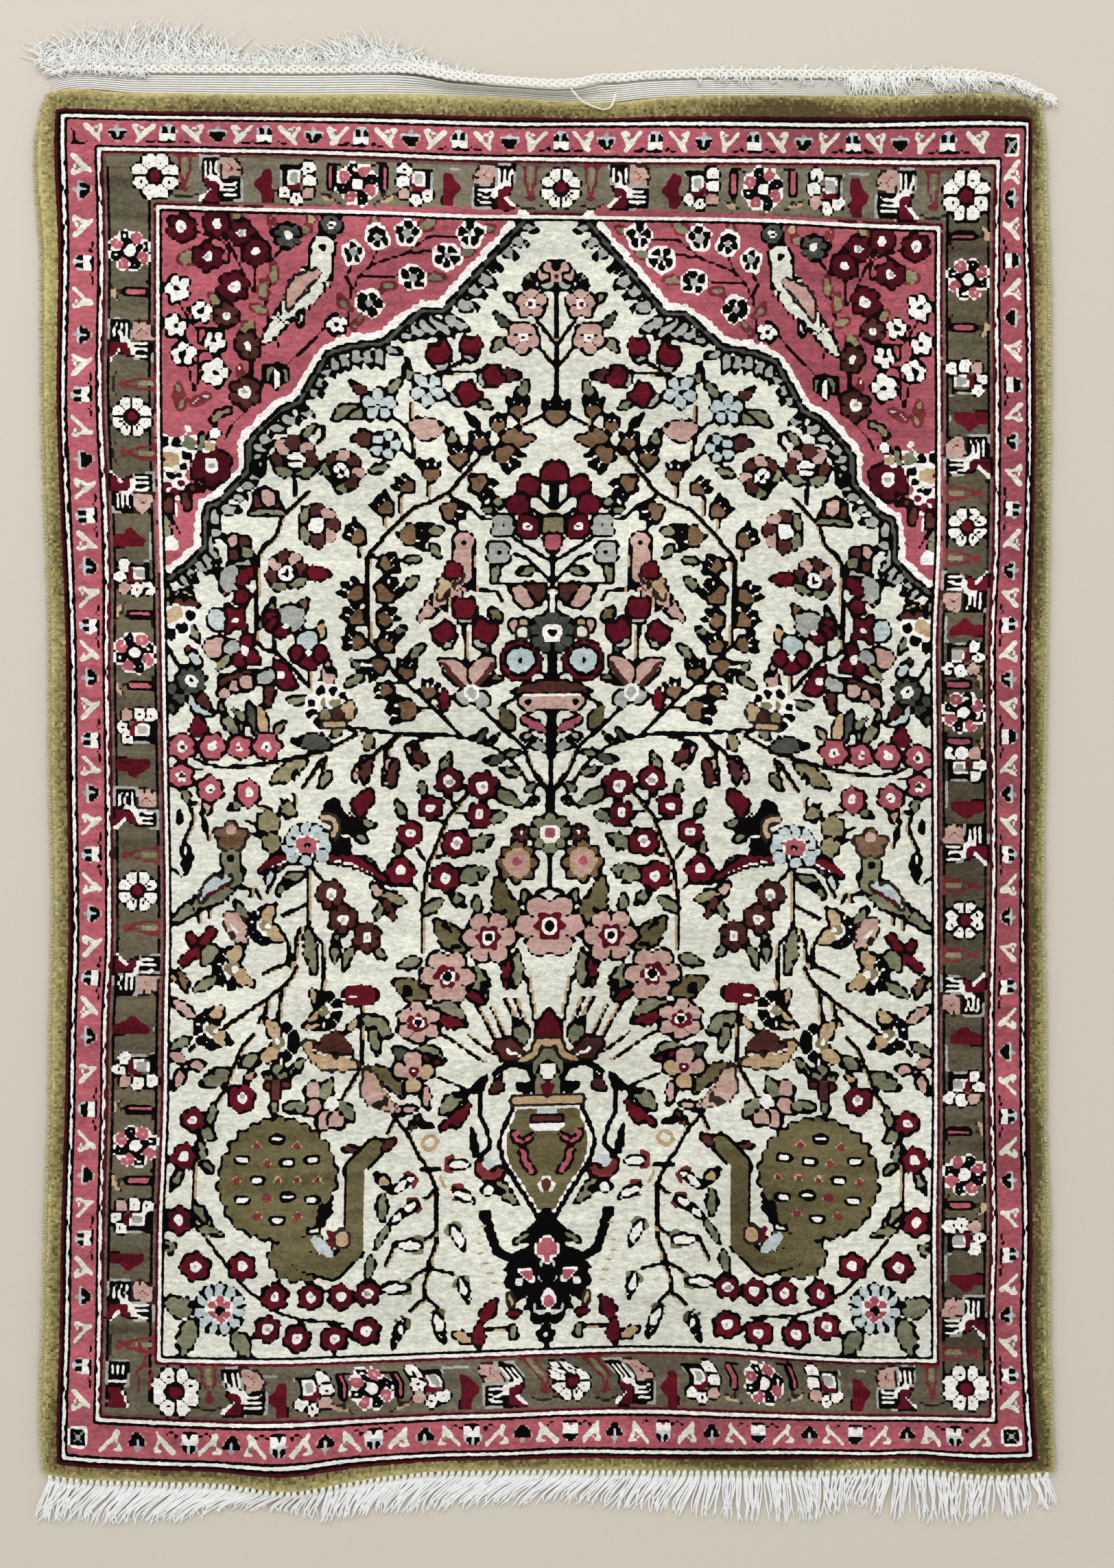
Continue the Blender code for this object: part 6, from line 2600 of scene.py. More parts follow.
@dataclass
class Lower:
    """The lower field: the vase on the middle line, the peacock, the bare tree and the crimson rows."""

    chart: Chart

    def draw(self) -> None:
        """Draw stems first, then leaves, flowers, the tree, the peacock and the vase."""
        pen, flora = Pen(self.chart), Flora(self.chart)
        flora.stems(LOWER_STEMS, width=5.0)
        pen.stem([(637, 1736), (635, 1792)], Ink.BLACK, 9)
        pen.stem([(640, 1712), (648, 1730)], Ink.TAN, 4)
        flora.leaves(LOWER_LEAVES)
        flora.grow(LOWER_FLOWERS)
        self.tree(pen)
        self.blue_flower(pen)
        self.peacock(pen)
        self.vase(pen)
        self.foot(pen)

    @staticmethod
    def tree(pen: Pen) -> None:
        """The tree's leaves. A leaf's two sepals are short strokes at its tail, square to it.

        Args:
            pen: The pen that draws it, in the drawing's own places.
        """
        for x, y, tip_x, tip_y, ink in TREE_LEAVES:
            run = math.hypot(tip_x - x, tip_y - y)
            ux, uy = (tip_x - x) / run, (tip_y - y) / run
            for side in (-1, 1):
                far = (x - side * uy * 13 + ux * 9, y + side * ux * 13 + uy * 9)
                pen.leaf((x - ux * 5, y - uy * 5), far, 11, ink, None, side * 0.1)
            pen.leaf((x, y), (tip_x, tip_y), 12, Ink.WHITE, Ink.BLACK)
        outline = [
            (696, 1694), (703, 1694), (708, 1708), (722, 1708), (722, 1702), (732, 1704),
            (731, 1716), (704, 1720), (696, 1710),
        ]
        pen.shape(outline, Ink.RUST, Ink.DARK)
        pen.flower(712, 1696, 9, 4, Ink.PALE, None, 0.2)
        pen.flower(712, 1736, 8, 4, Ink.WHITE, Ink.BLACK, 0.2)
        pen.stem([(748, 1938), (749, 1948)], Ink.SAGE, 8, Ink.BLACK)

    @staticmethod
    def blue_flower(pen: Pen) -> None:
        """The large pale blue flower of the lower corner, with a rose ring round a dark eye.

        Args:
            pen: The pen that draws it, in the drawing's own places.
        """
        pen.flower(320, 1909, 37, 11, Ink.PALE, Ink.BLACK, 0.2, rim_width=3.0)
        pen.rays(320, 1909, 22, 40, 11, Ink.BLACK, 4.2, 16)
        pen.disc(320, 1909, 20, Ink.WHITE)
        pen.flower(320, 1909, 18, 6, Ink.ROSE, None, 0.16)
        pen.rays(320, 1909, 8, 18, 6, Ink.WHITE, 2.6, 30)
        pen.disc(320, 1911, 5.5, Ink.BLACK)

    @staticmethod
    def peacock(pen: Pen) -> None:
        """The dark olive peacock: a round spotted tail on the left, and its neck standing up on the right.

        Args:
            pen: The pen that draws it, in the drawing's own places.
        """
        neck = [(440, 1838), (484, 1852), (516, 1822), (518, 1760), (517, 1704), (546, 1674)]
        pen.flower(440, 1834, 50, 13, Ink.OLIVE, Ink.BLACK, 0.16, 0, 0.72)
        pen.stem(neck, Ink.OLIVE, 25, Ink.BLACK)
        pen.flower(404, 1720, 86, 26, Ink.OLIVE, Ink.BLACK, 0.07, 0, 1.04)
        pen.stem([(410, 1780), (440, 1838), (484, 1850)], Ink.OLIVE, 28)
        pen.stem([(x + 15, y) for x, y in neck[2:5]], Ink.IVORY, 3.4)
        pen.leaf((558, 1676), (576, 1662), 13, Ink.MAROON, Ink.DARK)
        pen.disc(544, 1676, 3.6, Ink.BLACK)
        for ring, (radius, count) in enumerate(((0, 1), (29, 6), (59, 12))):
            for k in range(count):
                angle = 2 * math.pi * (k + 0.5 * ring) / count
                x, y = 404 + radius * math.sin(angle), 1720 - radius * math.cos(angle)
                if (k + ring) % 2:
                    pen.stem([(x - 5, y), (x + 5, y)], Ink.WHITE, 6.5, Ink.BLACK)
                else:
                    pen.stem([(x - 7, y + 4), (x, y - 5), (x + 7, y + 4)], Ink.TAN, 3.6)
                    pen.disc(x, y + 2, 5.2, Ink.RUST)
        pen.leaf((480, 1746), (464, 1796), 22, Ink.BLACK, None)
        pen.leaf((456, 1804), (484, 1834), 20, Ink.PALE, None)
        pen.stem([(480, 1796), (483, 1814)], Ink.CRIMSON, 8)
        pen.flower(498, 1806, 11, 5, Ink.TAN, Ink.BARK, 0.15)

    @staticmethod
    def vase(pen: Pen) -> None:
        """The vase's upper part: its stopper of flowers, rim, neck, handle and scrolled body.

        Args:
            pen: The pen that draws it, in the drawing's own places.
        """
        outline = [
            (783, 1514), (785, 1492), (793, 1482), (797, 1474), (805, 1474), (812, 1492),
            (820, 1514),
        ]
        pen.shape(outline, Ink.CRIMSON, Ink.DARK)
        pen.stem([(801, 1496), (801, 1508)], Ink.WHITE, 3)
        pen.shape([(776, 1542), (801, 1528), (830, 1542), (826, 1596), (780, 1596)], Ink.SAGE, Ink.BLACK)
        path = [(760, 1548), (780, 1536), (784, 1520), (818, 1520), (822, 1536), (842, 1548)]
        pen.stem(path, Ink.TAN, 8, Ink.BARK)
        pen.flower(802, 1559, 17, 7, Ink.WHITE, Ink.BLACK, 0.25, 0, 0.8)
        pen.flower(800, 1587, 13, 5, Ink.CRIMSON, None, 0.2)
        pen.stem([(751, 1605), (852, 1605)], Ink.TAN, 10, Ink.BARK)
        down = np.linspace(0, 1, 9)
        half = np.interp(down, (0, 0.25, 0.45, 0.65, 1), (49, 66, 67, 46, 11))
        body = [(801 - w, 1616 + 160 * v) for v, w in zip(down, half)]
        body += [(801 + w, 1616 + 160 * v) for v, w in zip(down[::-1], half[::-1])]
        pen.shape(body, Ink.OLIVE, None)
        pen.stem([(x, y) for x, y in body], Ink.WHITE, 6)
        outer = [(x - (5 if x < 801 else -5), y) for x, y in body]
        pen.stem(outer[:9], Ink.BLACK, 7)
        pen.stem(outer[9:], Ink.BLACK, 7)
        pen.stem([(786, 1619), (816, 1619)], Ink.PALE, 7)
        pen.stem([(780, 1631), (821, 1631)], Ink.MAROON, 9, Ink.DARK)
        pen.stem([(777, 1643), (824, 1643)], Ink.WHITE, 9)
        pen.stem([(758, 1626), (754, 1642), (752, 1660)], Ink.OLIVE, 9)
        pen.stem([(748, 1652), (752, 1662), (762, 1666), (776, 1656)], Ink.ROSE, 4.5, Ink.DARK)
        pen.stem([(748, 1652), (757, 1650)], Ink.ROSE, 4.5)
        pen.stem([(762, 1678), (766, 1694), (776, 1708)], Ink.ROSE, 7, Ink.DARK)
        pen.shape([(772, 1672), (784, 1652), (818, 1652), (830, 1672), (818, 1696), (784, 1696)], Ink.OLIVE, None)
        pen.flower(799, 1726, 15, 8, Ink.IVORY, None, 0.25)
        pen.flower(799, 1726, 10, 4, Ink.MAROON, None, 0.15)
        pen.stem([(799, 1700), (799, 1712)], Ink.IVORY, 3)
        pen.stem([(720, 1566), (734, 1555), (750, 1552), (768, 1556), (778, 1572), (772, 1586)], Ink.BLACK, 9)
        pen.shape([(752, 1578), (772, 1578), (772, 1594), (752, 1594)], Ink.BLACK, None)
        path = [
            (710, 1568), (700, 1598), (700, 1627), (711, 1648), (714, 1674), (699, 1686),
            (690, 1676), (687, 1644),
        ]
        pen.stem(path, Ink.BLACK, 7)
        pen.stem([(690, 1658), (693, 1682)], Ink.BLACK, 12)
        pen.stem([(690, 1590), (706, 1574)], Ink.BLACK, 12)
        pen.shape([(722, 1576), (731, 1570), (733, 1590), (716, 1592)], Ink.MAROON, Ink.BLACK)

    @staticmethod
    def foot(pen: Pen) -> None:
        """The vase's black foot: toothed leaves with rose marks on them, and a horn with a disc at each side.

        Args:
            pen: The pen that draws it, in the drawing's own places.
        """
        pen.leaf((801, 1762), (801, 1966), 104, Ink.BLACK, None, 0.0, 9)
        for side in (-1, 1):
            pen.leaf((801 + side * 20, 1800), (801 + side * 58, 1906), 56, Ink.BLACK, None, 0.0, 6)
        pen.stem([(790, 1830), (756, 1842), (724, 1824), (711, 1784)], Ink.BLACK, 14)
        pen.disc(708, 1773, 10, Ink.BLACK)
        pen.stem([(710, 1782), (713, 1794)], Ink.BLACK, 8)
        for k in range(7):
            y = 1786 + 14 * k
            x = 703 + (0 if k < 4 else 6 * (k - 3))
            pen.stem([(x - 6, y), (x + 3, y + 1)], Ink.TAN, 3.4)
        pen.flower(801, 1823, 21, 4, Ink.ROSE, Ink.WHITE, 0.34, 0, 1.0, 2.6)
        pen.shape([(758, 1853), (775, 1853), (776, 1866), (768, 1864)], Ink.ROSE, Ink.WHITE, 2.8)
        pen.leaf((800, 1880), (800, 1910), 12, Ink.ROSE, Ink.WHITE)
        for line in (
            ((789, 1838), (786, 1866), (796, 1876)), ((811, 1838), (814, 1866), (804, 1876)),
            ((767, 1894), (767, 1916)), ((780, 1900), (780, 1924)), ((791, 1910), (791, 1932)),
            ((742, 1838), (738, 1846), (726, 1846)),
        ):
            pen.stem(list(line), Ink.PALE, 2.2)
        pen.stem([(743, 1888), (746, 1904)], Ink.TAN, 4, Ink.BARK)
        pen.stem([(746, 1915), (753, 1915)], Ink.CRIMSON, 9, Ink.DARK)


@dataclass
class Field:
    """The niche and what grows in it. The left half is drawn, and then mirrored."""

    chart: Chart

    def draw(self) -> None:
        """Draw the left half, from the ground up, and mirror it."""
        for region in (Corner, Crown, Middle, Spray, Hanging, Lower):
            region(self.chart).draw()
        self.chart.mirror()


# ------------------------------------------------------------------------------------------- materials


class Mix(Enum):
    """How two colours are mixed."""

    MULTIPLY = "MULTIPLY"


@dataclass
class Wiring:
    """Adds and links nodes in one tree."""

    tree: bpy.types.NodeTree

    def add(self, kind: str, **settings: object) -> bpy.types.Node:
        """Add a node, set its properties, and set or link its inputs.

        Args:
            kind: the node's type.
            settings: names of properties, or of inputs with an underscore for each space.

        Returns:
            The node.
        """
        node = self.tree.nodes.new(kind)
        for name, value in settings.items():
            if hasattr(node, name) and name not in ("color",):
                setattr(node, name, value)
                continue
            socket = node.inputs[name.replace("_", " ")]
            if isinstance(value, bpy.types.NodeSocket):
                self.tree.links.new(value, socket)
            else:
                socket.default_value = value
        return node

    def mix(self, how: Mix, share: object, a: object, b: object) -> bpy.types.NodeSocket:
        """Mix two colours.

        Args:
            how: The way they mix.
            share: The second colour's share.
            a: The first colour.
            b: The second colour.

        Returns:
            The mixed colour's socket.
        """
        node = self.tree.nodes.new("ShaderNodeMix")
        node.data_type = "RGBA"
        node.blend_type = how.value
        for index, value in ((0, share), (6, a), (7, b)):
            if isinstance(value, bpy.types.NodeSocket):
                self.tree.links.new(value, node.inputs[index])
            else:
                node.inputs[index].default_value = value
        return node.outputs[2]

    def maths(self, how: str, a: object, b: object = 0.5) -> bpy.types.NodeSocket:
        """One sum of two values.

        Args:
            how: The kind of sum.
            a: The first value.
            b: The second value.

        Returns:
            The result's socket.
        """
        node = self.tree.nodes.new("ShaderNodeMath")
        node.operation = how
        for socket, value in zip(node.inputs, (a, b)):
            if isinstance(value, bpy.types.NodeSocket):
                self.tree.links.new(value, socket)
            else:
                socket.default_value = value
        return node.outputs[0]


def fibre_group() -> bpy.types.NodeTree:
    """The group that every yarn and pile uses: a colour with fine fibre noise, and a height.

    The colour is multiplied by noise round 1. The height is noise on two scales.

    Returns:
        The node group, with inputs Colour, Scale and Strength, and outputs Colour and Height.
    """
    tree = bpy.data.node_groups.new("fibre", "ShaderNodeTree")
    for name, kind, way in (
        ("Colour", "NodeSocketColor", "INPUT"),
        ("Scale", "NodeSocketFloat", "INPUT"),
        ("Strength", "NodeSocketFloat", "INPUT"),
        ("Colour", "NodeSocketColor", "OUTPUT"),
        ("Height", "NodeSocketFloat", "OUTPUT"),
    ):
        tree.interface.new_socket(name=name, in_out=way, socket_type=kind)
    wires = Wiring(tree)
    start = tree.nodes.new("NodeGroupInput")
    end = tree.nodes.new("NodeGroupOutput")
    place = wires.add("ShaderNodeTexCoord").outputs["Object"]
    drawn = wires.add("ShaderNodeMapping", Vector=place, Scale=(0.45, 1.0, 1.0)).outputs[0]
    fine = wires.add("ShaderNodeTexNoise", Vector=drawn, Scale=start.outputs["Scale"], Detail=3.0)
    half = wires.maths("MULTIPLY", start.outputs["Scale"], 0.28)
    broad = wires.add("ShaderNodeTexNoise", Vector=drawn, Scale=half, Detail=2.0)
    both = wires.maths("ADD", fine.outputs[0], broad.outputs[0])
    swing = wires.maths("MULTIPLY", wires.maths("SUBTRACT", both, 1.0), start.outputs["Strength"])
    factor = wires.maths("ADD", swing, 1.0)
    grey = wires.add("ShaderNodeCombineColor", Red=factor, Green=factor, Blue=factor).outputs[0]
    tinted = wires.mix(Mix.MULTIPLY, 1.0, start.outputs["Colour"], grey)
    tree.links.new(tinted, end.inputs["Colour"])
    tree.links.new(both, end.inputs["Height"])
    return tree


@dataclass(frozen=True)
class Silk:
    """A finish in the faces' own colours: the pile's and the back's silk, and the ribbed woven end."""

    name: str
    group: bpy.types.NodeTree
    roughness: float = 0.8
    sheen: float = 0.02
    scale: float = 1500.0
    strength: float = 0.9
    bump: float = 0.5

    def make(self) -> bpy.types.Material:
        """Build the material.

        Returns:
            The material.
        """
        made = bpy.data.materials.new(self.name)
        made.use_nodes = True
        wires = Wiring(made.node_tree)
        shader = made.node_tree.nodes["Principled BSDF"]
        knots = wires.add("ShaderNodeAttribute", attribute_name="knots").outputs["Color"]
        fibre = wires.add("ShaderNodeGroup", node_tree=self.group)
        made.node_tree.links.new(knots, fibre.inputs["Colour"])
        fibre.inputs["Scale"].default_value = self.scale
        fibre.inputs["Strength"].default_value = self.strength
        made.node_tree.links.new(fibre.outputs["Colour"], shader.inputs["Base Color"])
        relief = wires.add(
            "ShaderNodeBump", Height=fibre.outputs["Height"], Strength=self.bump, Distance=0.0006
        )
        made.node_tree.links.new(relief.outputs[0], shader.inputs["Normal"])
        shader.inputs["Roughness"].default_value = self.roughness
        shader.inputs["Sheen Weight"].default_value = self.sheen
        shader.inputs["Sheen Roughness"].default_value = 0.4
        shader.inputs["Specular IOR Level"].default_value = 0.06
        return made


@dataclass(frozen=True)
class Cotton:
    """A finish of one colour: the white yarns, the gold tufts at the sides and the plain floor."""

    name: str
    group: bpy.types.NodeTree
    colour: str
    roughness: float = 0.85
    scale: float = 1800.0
    strength: float = 0.35
    bump: float = 0.4

    def make(self) -> bpy.types.Material:
        """Build the material.

        Returns:
            The material.
        """
        made = bpy.data.materials.new(self.name)
        made.use_nodes = True
        wires = Wiring(made.node_tree)
        shader = made.node_tree.nodes["Principled BSDF"]
        fibre = wires.add("ShaderNodeGroup", node_tree=self.group)
        fibre.inputs["Colour"].default_value = (*linear(self.colour), 1.0)
        fibre.inputs["Scale"].default_value = self.scale
        fibre.inputs["Strength"].default_value = self.strength
        made.node_tree.links.new(fibre.outputs["Colour"], shader.inputs["Base Color"])
        relief = wires.add(
            "ShaderNodeBump", Height=fibre.outputs["Height"], Strength=self.bump, Distance=0.0004
        )
        made.node_tree.links.new(relief.outputs[0], shader.inputs["Normal"])
        shader.inputs["Roughness"].default_value = self.roughness
        return made


# ---------------------------------------------------------------------------------------------- meshes


def new_piece(
    name: str, points: Array, faces: Array | list, finish: bpy.types.Material, flat: bool = False
) -> bpy.types.Object:
    """A named object from points in metres and faces of point numbers.

    Args:
        name: The piece's name.
        points: Its points, in metres.
        faces: Its faces, as point numbers.
        finish: The material that it gets.
        flat: Whether its faces are shaded flat.

    Returns:
        The object, at the origin.
    """
    mesh = bpy.data.meshes.new(name)
    rings = faces if isinstance(faces, list) else faces.tolist()
    mesh.from_pydata(points.reshape(-1, 3).tolist(), [], rings)
    mesh.materials.append(finish)
    mesh.shade_flat() if flat else mesh.shade_smooth()
    made = bpy.data.objects.new(name, mesh)
    bpy.context.scene.collection.objects.link(made)
    log.info("%s: %d points, %d faces", name, len(mesh.vertices), len(mesh.polygons))
    return made


def paint_corners(piece: bpy.types.Object, colours: Array) -> None:
    """Give each face one colour, held at its corners.

    Args:
        piece: The piece to colour.
        colours: One linear colour for each face.
    """
    counts = np.empty(len(piece.data.polygons), np.int32)
    piece.data.polygons.foreach_get("loop_total", counts)
    layer = piece.data.attributes.new("knots", "FLOAT_COLOR", "CORNER")
    full = np.concatenate([colours.reshape(-1, 3), np.ones((len(colours.reshape(-1, 3)), 1))], 1)
    layer.data.foreach_set("color", np.repeat(full, counts, axis=0).astype(np.float32).ravel())


def grid_faces(rows: int, columns: int) -> Array:
    """Faces of a grid of points, row by row, that look up where rows run towards -Y.

    Args:
        rows: Points down.
        columns: Points across.

    Returns:
        Four point numbers for each face.
    """
    j, i = np.meshgrid(np.arange(rows - 1), np.arange(columns - 1), indexing="ij")
    first = (j * columns + i).ravel()
    return np.stack([first, first + columns, first + columns + 1, first + 1], axis=1)


def tubes(paths: Array, radii: Array, sides: int) -> tuple[Array, Array]:
    """Round yarns along many paths at once.

    Each ring stands square to its path. Its first axis is level, and its second is square to that.

    Args:
        paths: yarns by places by three.
        radii: yarns by places.
        sides: how many sides a yarn has.

    Returns:
        The points, and the faces that join each ring to the next and close the ends.
    """
    count, places, _ = paths.shape
    ahead = np.gradient(paths, axis=1)
    ahead /= np.linalg.norm(ahead, axis=2, keepdims=True) + 1e-12
    level = np.cross(ahead, np.array([0.02, 0.013, 1.0]))
    level /= np.linalg.norm(level, axis=2, keepdims=True) + 1e-12
    upper = np.cross(level, ahead)
    angle = np.arange(sides) * 2 * math.pi / sides
    ring = level[:, :, None] * np.cos(angle)[:, None] + upper[:, :, None] * np.sin(angle)[:, None]
    points = paths[:, :, None] + ring * radii[:, :, None, None]
    y, k, s = np.meshgrid(
        np.arange(count), np.arange(places - 1), np.arange(sides), indexing="ij"
    )
    a = (y * places + k) * sides + s
    b = (y * places + k) * sides + (s + 1) % sides
    walls = np.stack([a, b, b + sides, a + sides], axis=-1).reshape(-1, 4).tolist()
    first = np.arange(count) * places * sides
    last = first + (places - 1) * sides
    caps = [list(range(n + sides - 1, n - 1, -1)) for n in first]
    caps += [list(range(n, n + sides)) for n in last]
    return points.reshape(-1, 3), walls + caps


# ------------------------------------------------------------------------------------------- the carpet


# The two tiers of tufts along each side, mm: height of the root, how far in it is, reach.
TUFT_TIERS = ((4.2, 0.9, 2.4), (2.6, 0.4, 2.1))


@dataclass
class Carpet:
    """The knotted carpet: pile in strips, and the closed cloth that carries it and shows its back."""

    layout: Layout
    chart: Chart
    strips: int = 3
    back_step: int = 2
    top_step: int = 8
    jitter: float = 0.1
    cut_corner: float = 0.55
    relief: float = 0.12 * MM
    back_share: float = 0.8
    wall_colour: str = "A8A070"
    tufts_per_side: int = 1500
    tuft_rows: tuple[int, int] = (136, 2148)
    tuft_sides: int = 3
    tuft_taper: float = 0.35
    colours: Array = field(init=False)

    def __post_init__(self) -> None:
        """Work out the knots' colours once."""
        self.colours = self.chart.colours()

    def corners(self) -> tuple[Array, Array]:
        """Columns and rows of the knots' corners.

        Where a colour's edge turns a corner between two corners, it is drawn halfway to the straight
        line between them, as knots crowd a stepped edge, and every corner strays a little.

        Returns:
            The columns and the rows.
        """
        rows, columns = np.meshgrid(np.arange(ROWS + 1.0), np.arange(COLUMNS + 1.0), indexing="ij")
        inks = np.pad(self.chart.inks.astype(int), 1, mode="edge")
        up = inks[:-1, :-1] != inks[:-1, 1:]
        down = inks[1:, :-1] != inks[1:, 1:]
        left = inks[:-1, :-1] != inks[1:, :-1]
        right = inks[:-1, 1:] != inks[1:, 1:]
        active = up.astype(int) + down + left + right
        aside = (right.astype(float) - left) / 2
        below = (down.astype(float) - up) / 2
        turning = (active == 2) & (np.abs(aside) + np.abs(below) > 0.9)
        columns += np.where(turning, self.cut_corner * aside, 0)
        rows += np.where(turning, self.cut_corner * below, 0)
        rng = np.random.default_rng(Seed.CORNERS)
        inner = np.zeros(rows.shape)
        inner[1:-1, 1:-1] = 1
        columns += inner * self.jitter * rng.standard_normal(rows.shape)
        rows += inner * self.jitter * rng.standard_normal(rows.shape)
        return columns, rows

    def surface(self) -> Array:
        """The pile's upper surface at the knots' corners, in metres.

        Returns:
            Points, by rows and columns.
        """
        columns, rows = self.corners()
        whole_x, whole_y = self.layout.spots(np.arange(COLUMNS + 1.0), np.arange(ROWS + 1.0))
        i = np.clip(np.floor(columns).astype(int), 0, COLUMNS - 1)
        j = np.clip(np.floor(rows).astype(int), 0, ROWS - 1)
        s, t = columns - i, rows - j
        x = self.between(whole_x, i, j, s, t)
        y = self.between(whole_y, i, j, s, t)
        edge = np.minimum(np.minimum(columns, COLUMNS - columns), np.minimum(rows, ROWS - rows))
        drop = RIM_DROP * (1 - np.clip(edge / 2.0, 0, 1)) ** 1.6
        rng = np.random.default_rng(Seed.SURFACE)
        z = self.layout.lift(x, y) + PILE_TOP - drop + self.relief * rng.standard_normal(x.shape)
        fx, fy = self.layout.metres(x, y)
        return np.stack([fx, fy, z], axis=-1)

    @staticmethod
    def between(values: Array, i: Array, j: Array, s: Array, t: Array) -> Array:
        """Values of a grid at a share of the way across and down a cell.

        Args:
            values: The grid's values.
            i: The cells' columns.
            j: The cells' rows.
            s: The share across.
            t: The share down.

        Returns:
            The values between.
        """
        upper = values[j, i] * (1 - s) + values[j, i + 1] * s
        lower = values[j + 1, i] * (1 - s) + values[j + 1, i + 1] * s
        return upper * (1 - t) + lower * t

    def pile(self, finish: bpy.types.Material) -> list[bpy.types.Object]:
        """The pile, in strips that run the whole length, each unfolded into two halves for its map.

        Args:
            finish: The material that it gets.

        Returns:
            The strips.
        """
        surface = self.surface()
        cuts = np.linspace(0, COLUMNS, self.strips + 1).astype(int)
        made = []
        for k, (start, stop) in enumerate(zip(cuts, cuts[1:])):
            points = surface[:, start : stop + 1]
            piece = new_piece(f"pile_strip_{k + 1}", points, grid_faces(*points.shape[:2]), finish, True)
            paint_corners(piece, self.colours[:, start:stop])
            self.unfold(piece, stop - start)
            made.append(piece)
        return made

    @staticmethod
    def unfold(piece: bpy.types.Object, width: int) -> None:
        """A map whose lower half lies beside its upper half, so that it fills a square.

        Args:
            piece: The strip to map.
            width: Its width, in knots.
        """
        j, i = np.meshgrid(np.arange(ROWS), np.arange(width), indexing="ij")
        half = ROWS // 2
        right, low = j >= half, j % half
        u0 = (i / width) * 0.49 + np.where(right, 0.505, 0.005)
        v0 = 0.995 - low / half * 0.99
        du, dv = 0.49 / width, 0.99 / half
        corners = np.stack(
            [
                np.stack([u0, v0], -1),
                np.stack([u0, v0 - dv], -1),
                np.stack([u0 + du, v0 - dv], -1),
                np.stack([u0 + du, v0], -1),
            ],
            axis=2,
        )
        layer = piece.data.uv_layers.new(name="OFBake")
        layer.data.foreach_set("uv", corners.astype(np.float32).ravel())

    def cloth(self, finish: bpy.types.Material) -> bpy.types.Object:
        """The closed cloth under the pile: its back shows the design, and its top is hidden.

        The back's grid has a point for each two knots and the top's for each eight. One face with
        many corners joins each of the top's edges to the four of the back's that lie under it.

        Args:
            finish: The material that it gets.

        Returns:
            The cloth.
        """
        fine_c = np.arange(0, COLUMNS + 1, self.back_step, dtype=float)
        fine_r = np.arange(0, ROWS + 1, self.back_step, dtype=float)
        x, y = self.layout.spots(fine_c, fine_r)
        back_z = self.layout.lift(x, y)
        fx, fy = self.layout.metres(x, y)
        back = np.stack([fx, fy, back_z], axis=-1)
        every = self.top_step // self.back_step
        top = back[::every, ::every].copy()
        top[..., 2] += PILE_TOP - RIM_DROP - 0.3 * MM
        top[1:-1, 1:-1, 2] += RIM_DROP - 0.6 * MM
        rows, columns = back.shape[:2]
        t_rows, t_columns = top.shape[:2]
        under = grid_faces(rows, columns)[:, ::-1]
        over = grid_faces(t_rows, t_columns) + rows * columns
        start = rows * columns
        walls = []
        for n in range(t_columns - 1):
            fine = [n * every + m for m in range(every + 1)]
            low = (rows - 1) * columns
            near = start + (t_rows - 1) * t_columns
            walls.append([start + n + 1, start + n] + fine)
            walls.append([near + n, near + n + 1] + [low + m for m in fine[::-1]])
        for n in range(t_rows - 1):
            fine = [n * every + m for m in range(every + 1)]
            left, right = start + n * t_columns, start + n * t_columns + t_columns - 1
            walls.append([left, left + t_columns] + [m * columns for m in fine[::-1]])
            walls.append([right + t_columns, right] + [m * columns + columns - 1 for m in fine])
        faces = under.tolist() + over.tolist() + walls
        points = np.concatenate([back.reshape(-1, 3), top.reshape(-1, 3)])
        piece = new_piece("carpet_cloth", points, faces, finish, True)
        seen = self.colours[:: self.back_step, :: self.back_step].reshape(-1, 3) * self.back_share
        rest = np.tile(linear(self.wall_colour), (len(over) + len(walls), 1))
        paint_corners(piece, np.concatenate([seen, rest]))
        return piece

    def tufts(self, finish: bpy.types.Material) -> bpy.types.Object:
        """Pile that splays out over the sides: thin three-sided tufts in two tiers.

        Args:
            finish: The material that it gets.

        Returns:
            The tufts, as one piece.
        """
        rng = np.random.default_rng(Seed.TUFTS)
        paths, bases = [], []
        for sense, lines, column in ((-1, LEFT_LINES, 1), (1, RIGHT_LINES, 4)):
            for tier_z, tier_in, reach in TUFT_TIERS:
                y = rng.uniform(*self.tuft_rows, self.tufts_per_side)
                x = smooth(lines, y, column)
                z = self.layout.lift(x, y) / MM + tier_z + rng.normal(0, 0.25, self.tufts_per_side)
                fx, fy = self.layout.metres(x, y)
                length = reach * rng.uniform(0.6, 1.25, self.tufts_per_side)
                root = np.stack([fx / MM - sense * tier_in, fy / MM, z], -1)
                lean = rng.normal(0, 0.45, self.tufts_per_side)
                tip = root + np.stack(
                    [sense * (length + tier_in), lean, -rng.uniform(0.2, 1.3, self.tufts_per_side)], -1
                )
                paths.append(np.stack([root, tip], 1))
                bases.append(rng.uniform(0.28, 0.5, self.tufts_per_side))
        path, base = np.concatenate(paths) * MM, np.concatenate(bases) * MM
        radii = np.stack([base, base * self.tuft_taper], axis=1)
        points, faces = tubes(path, radii, self.tuft_sides)
        return new_piece("side_tufts", points, faces, finish)


# ------------------------------------------------------------------------------------- the woven end

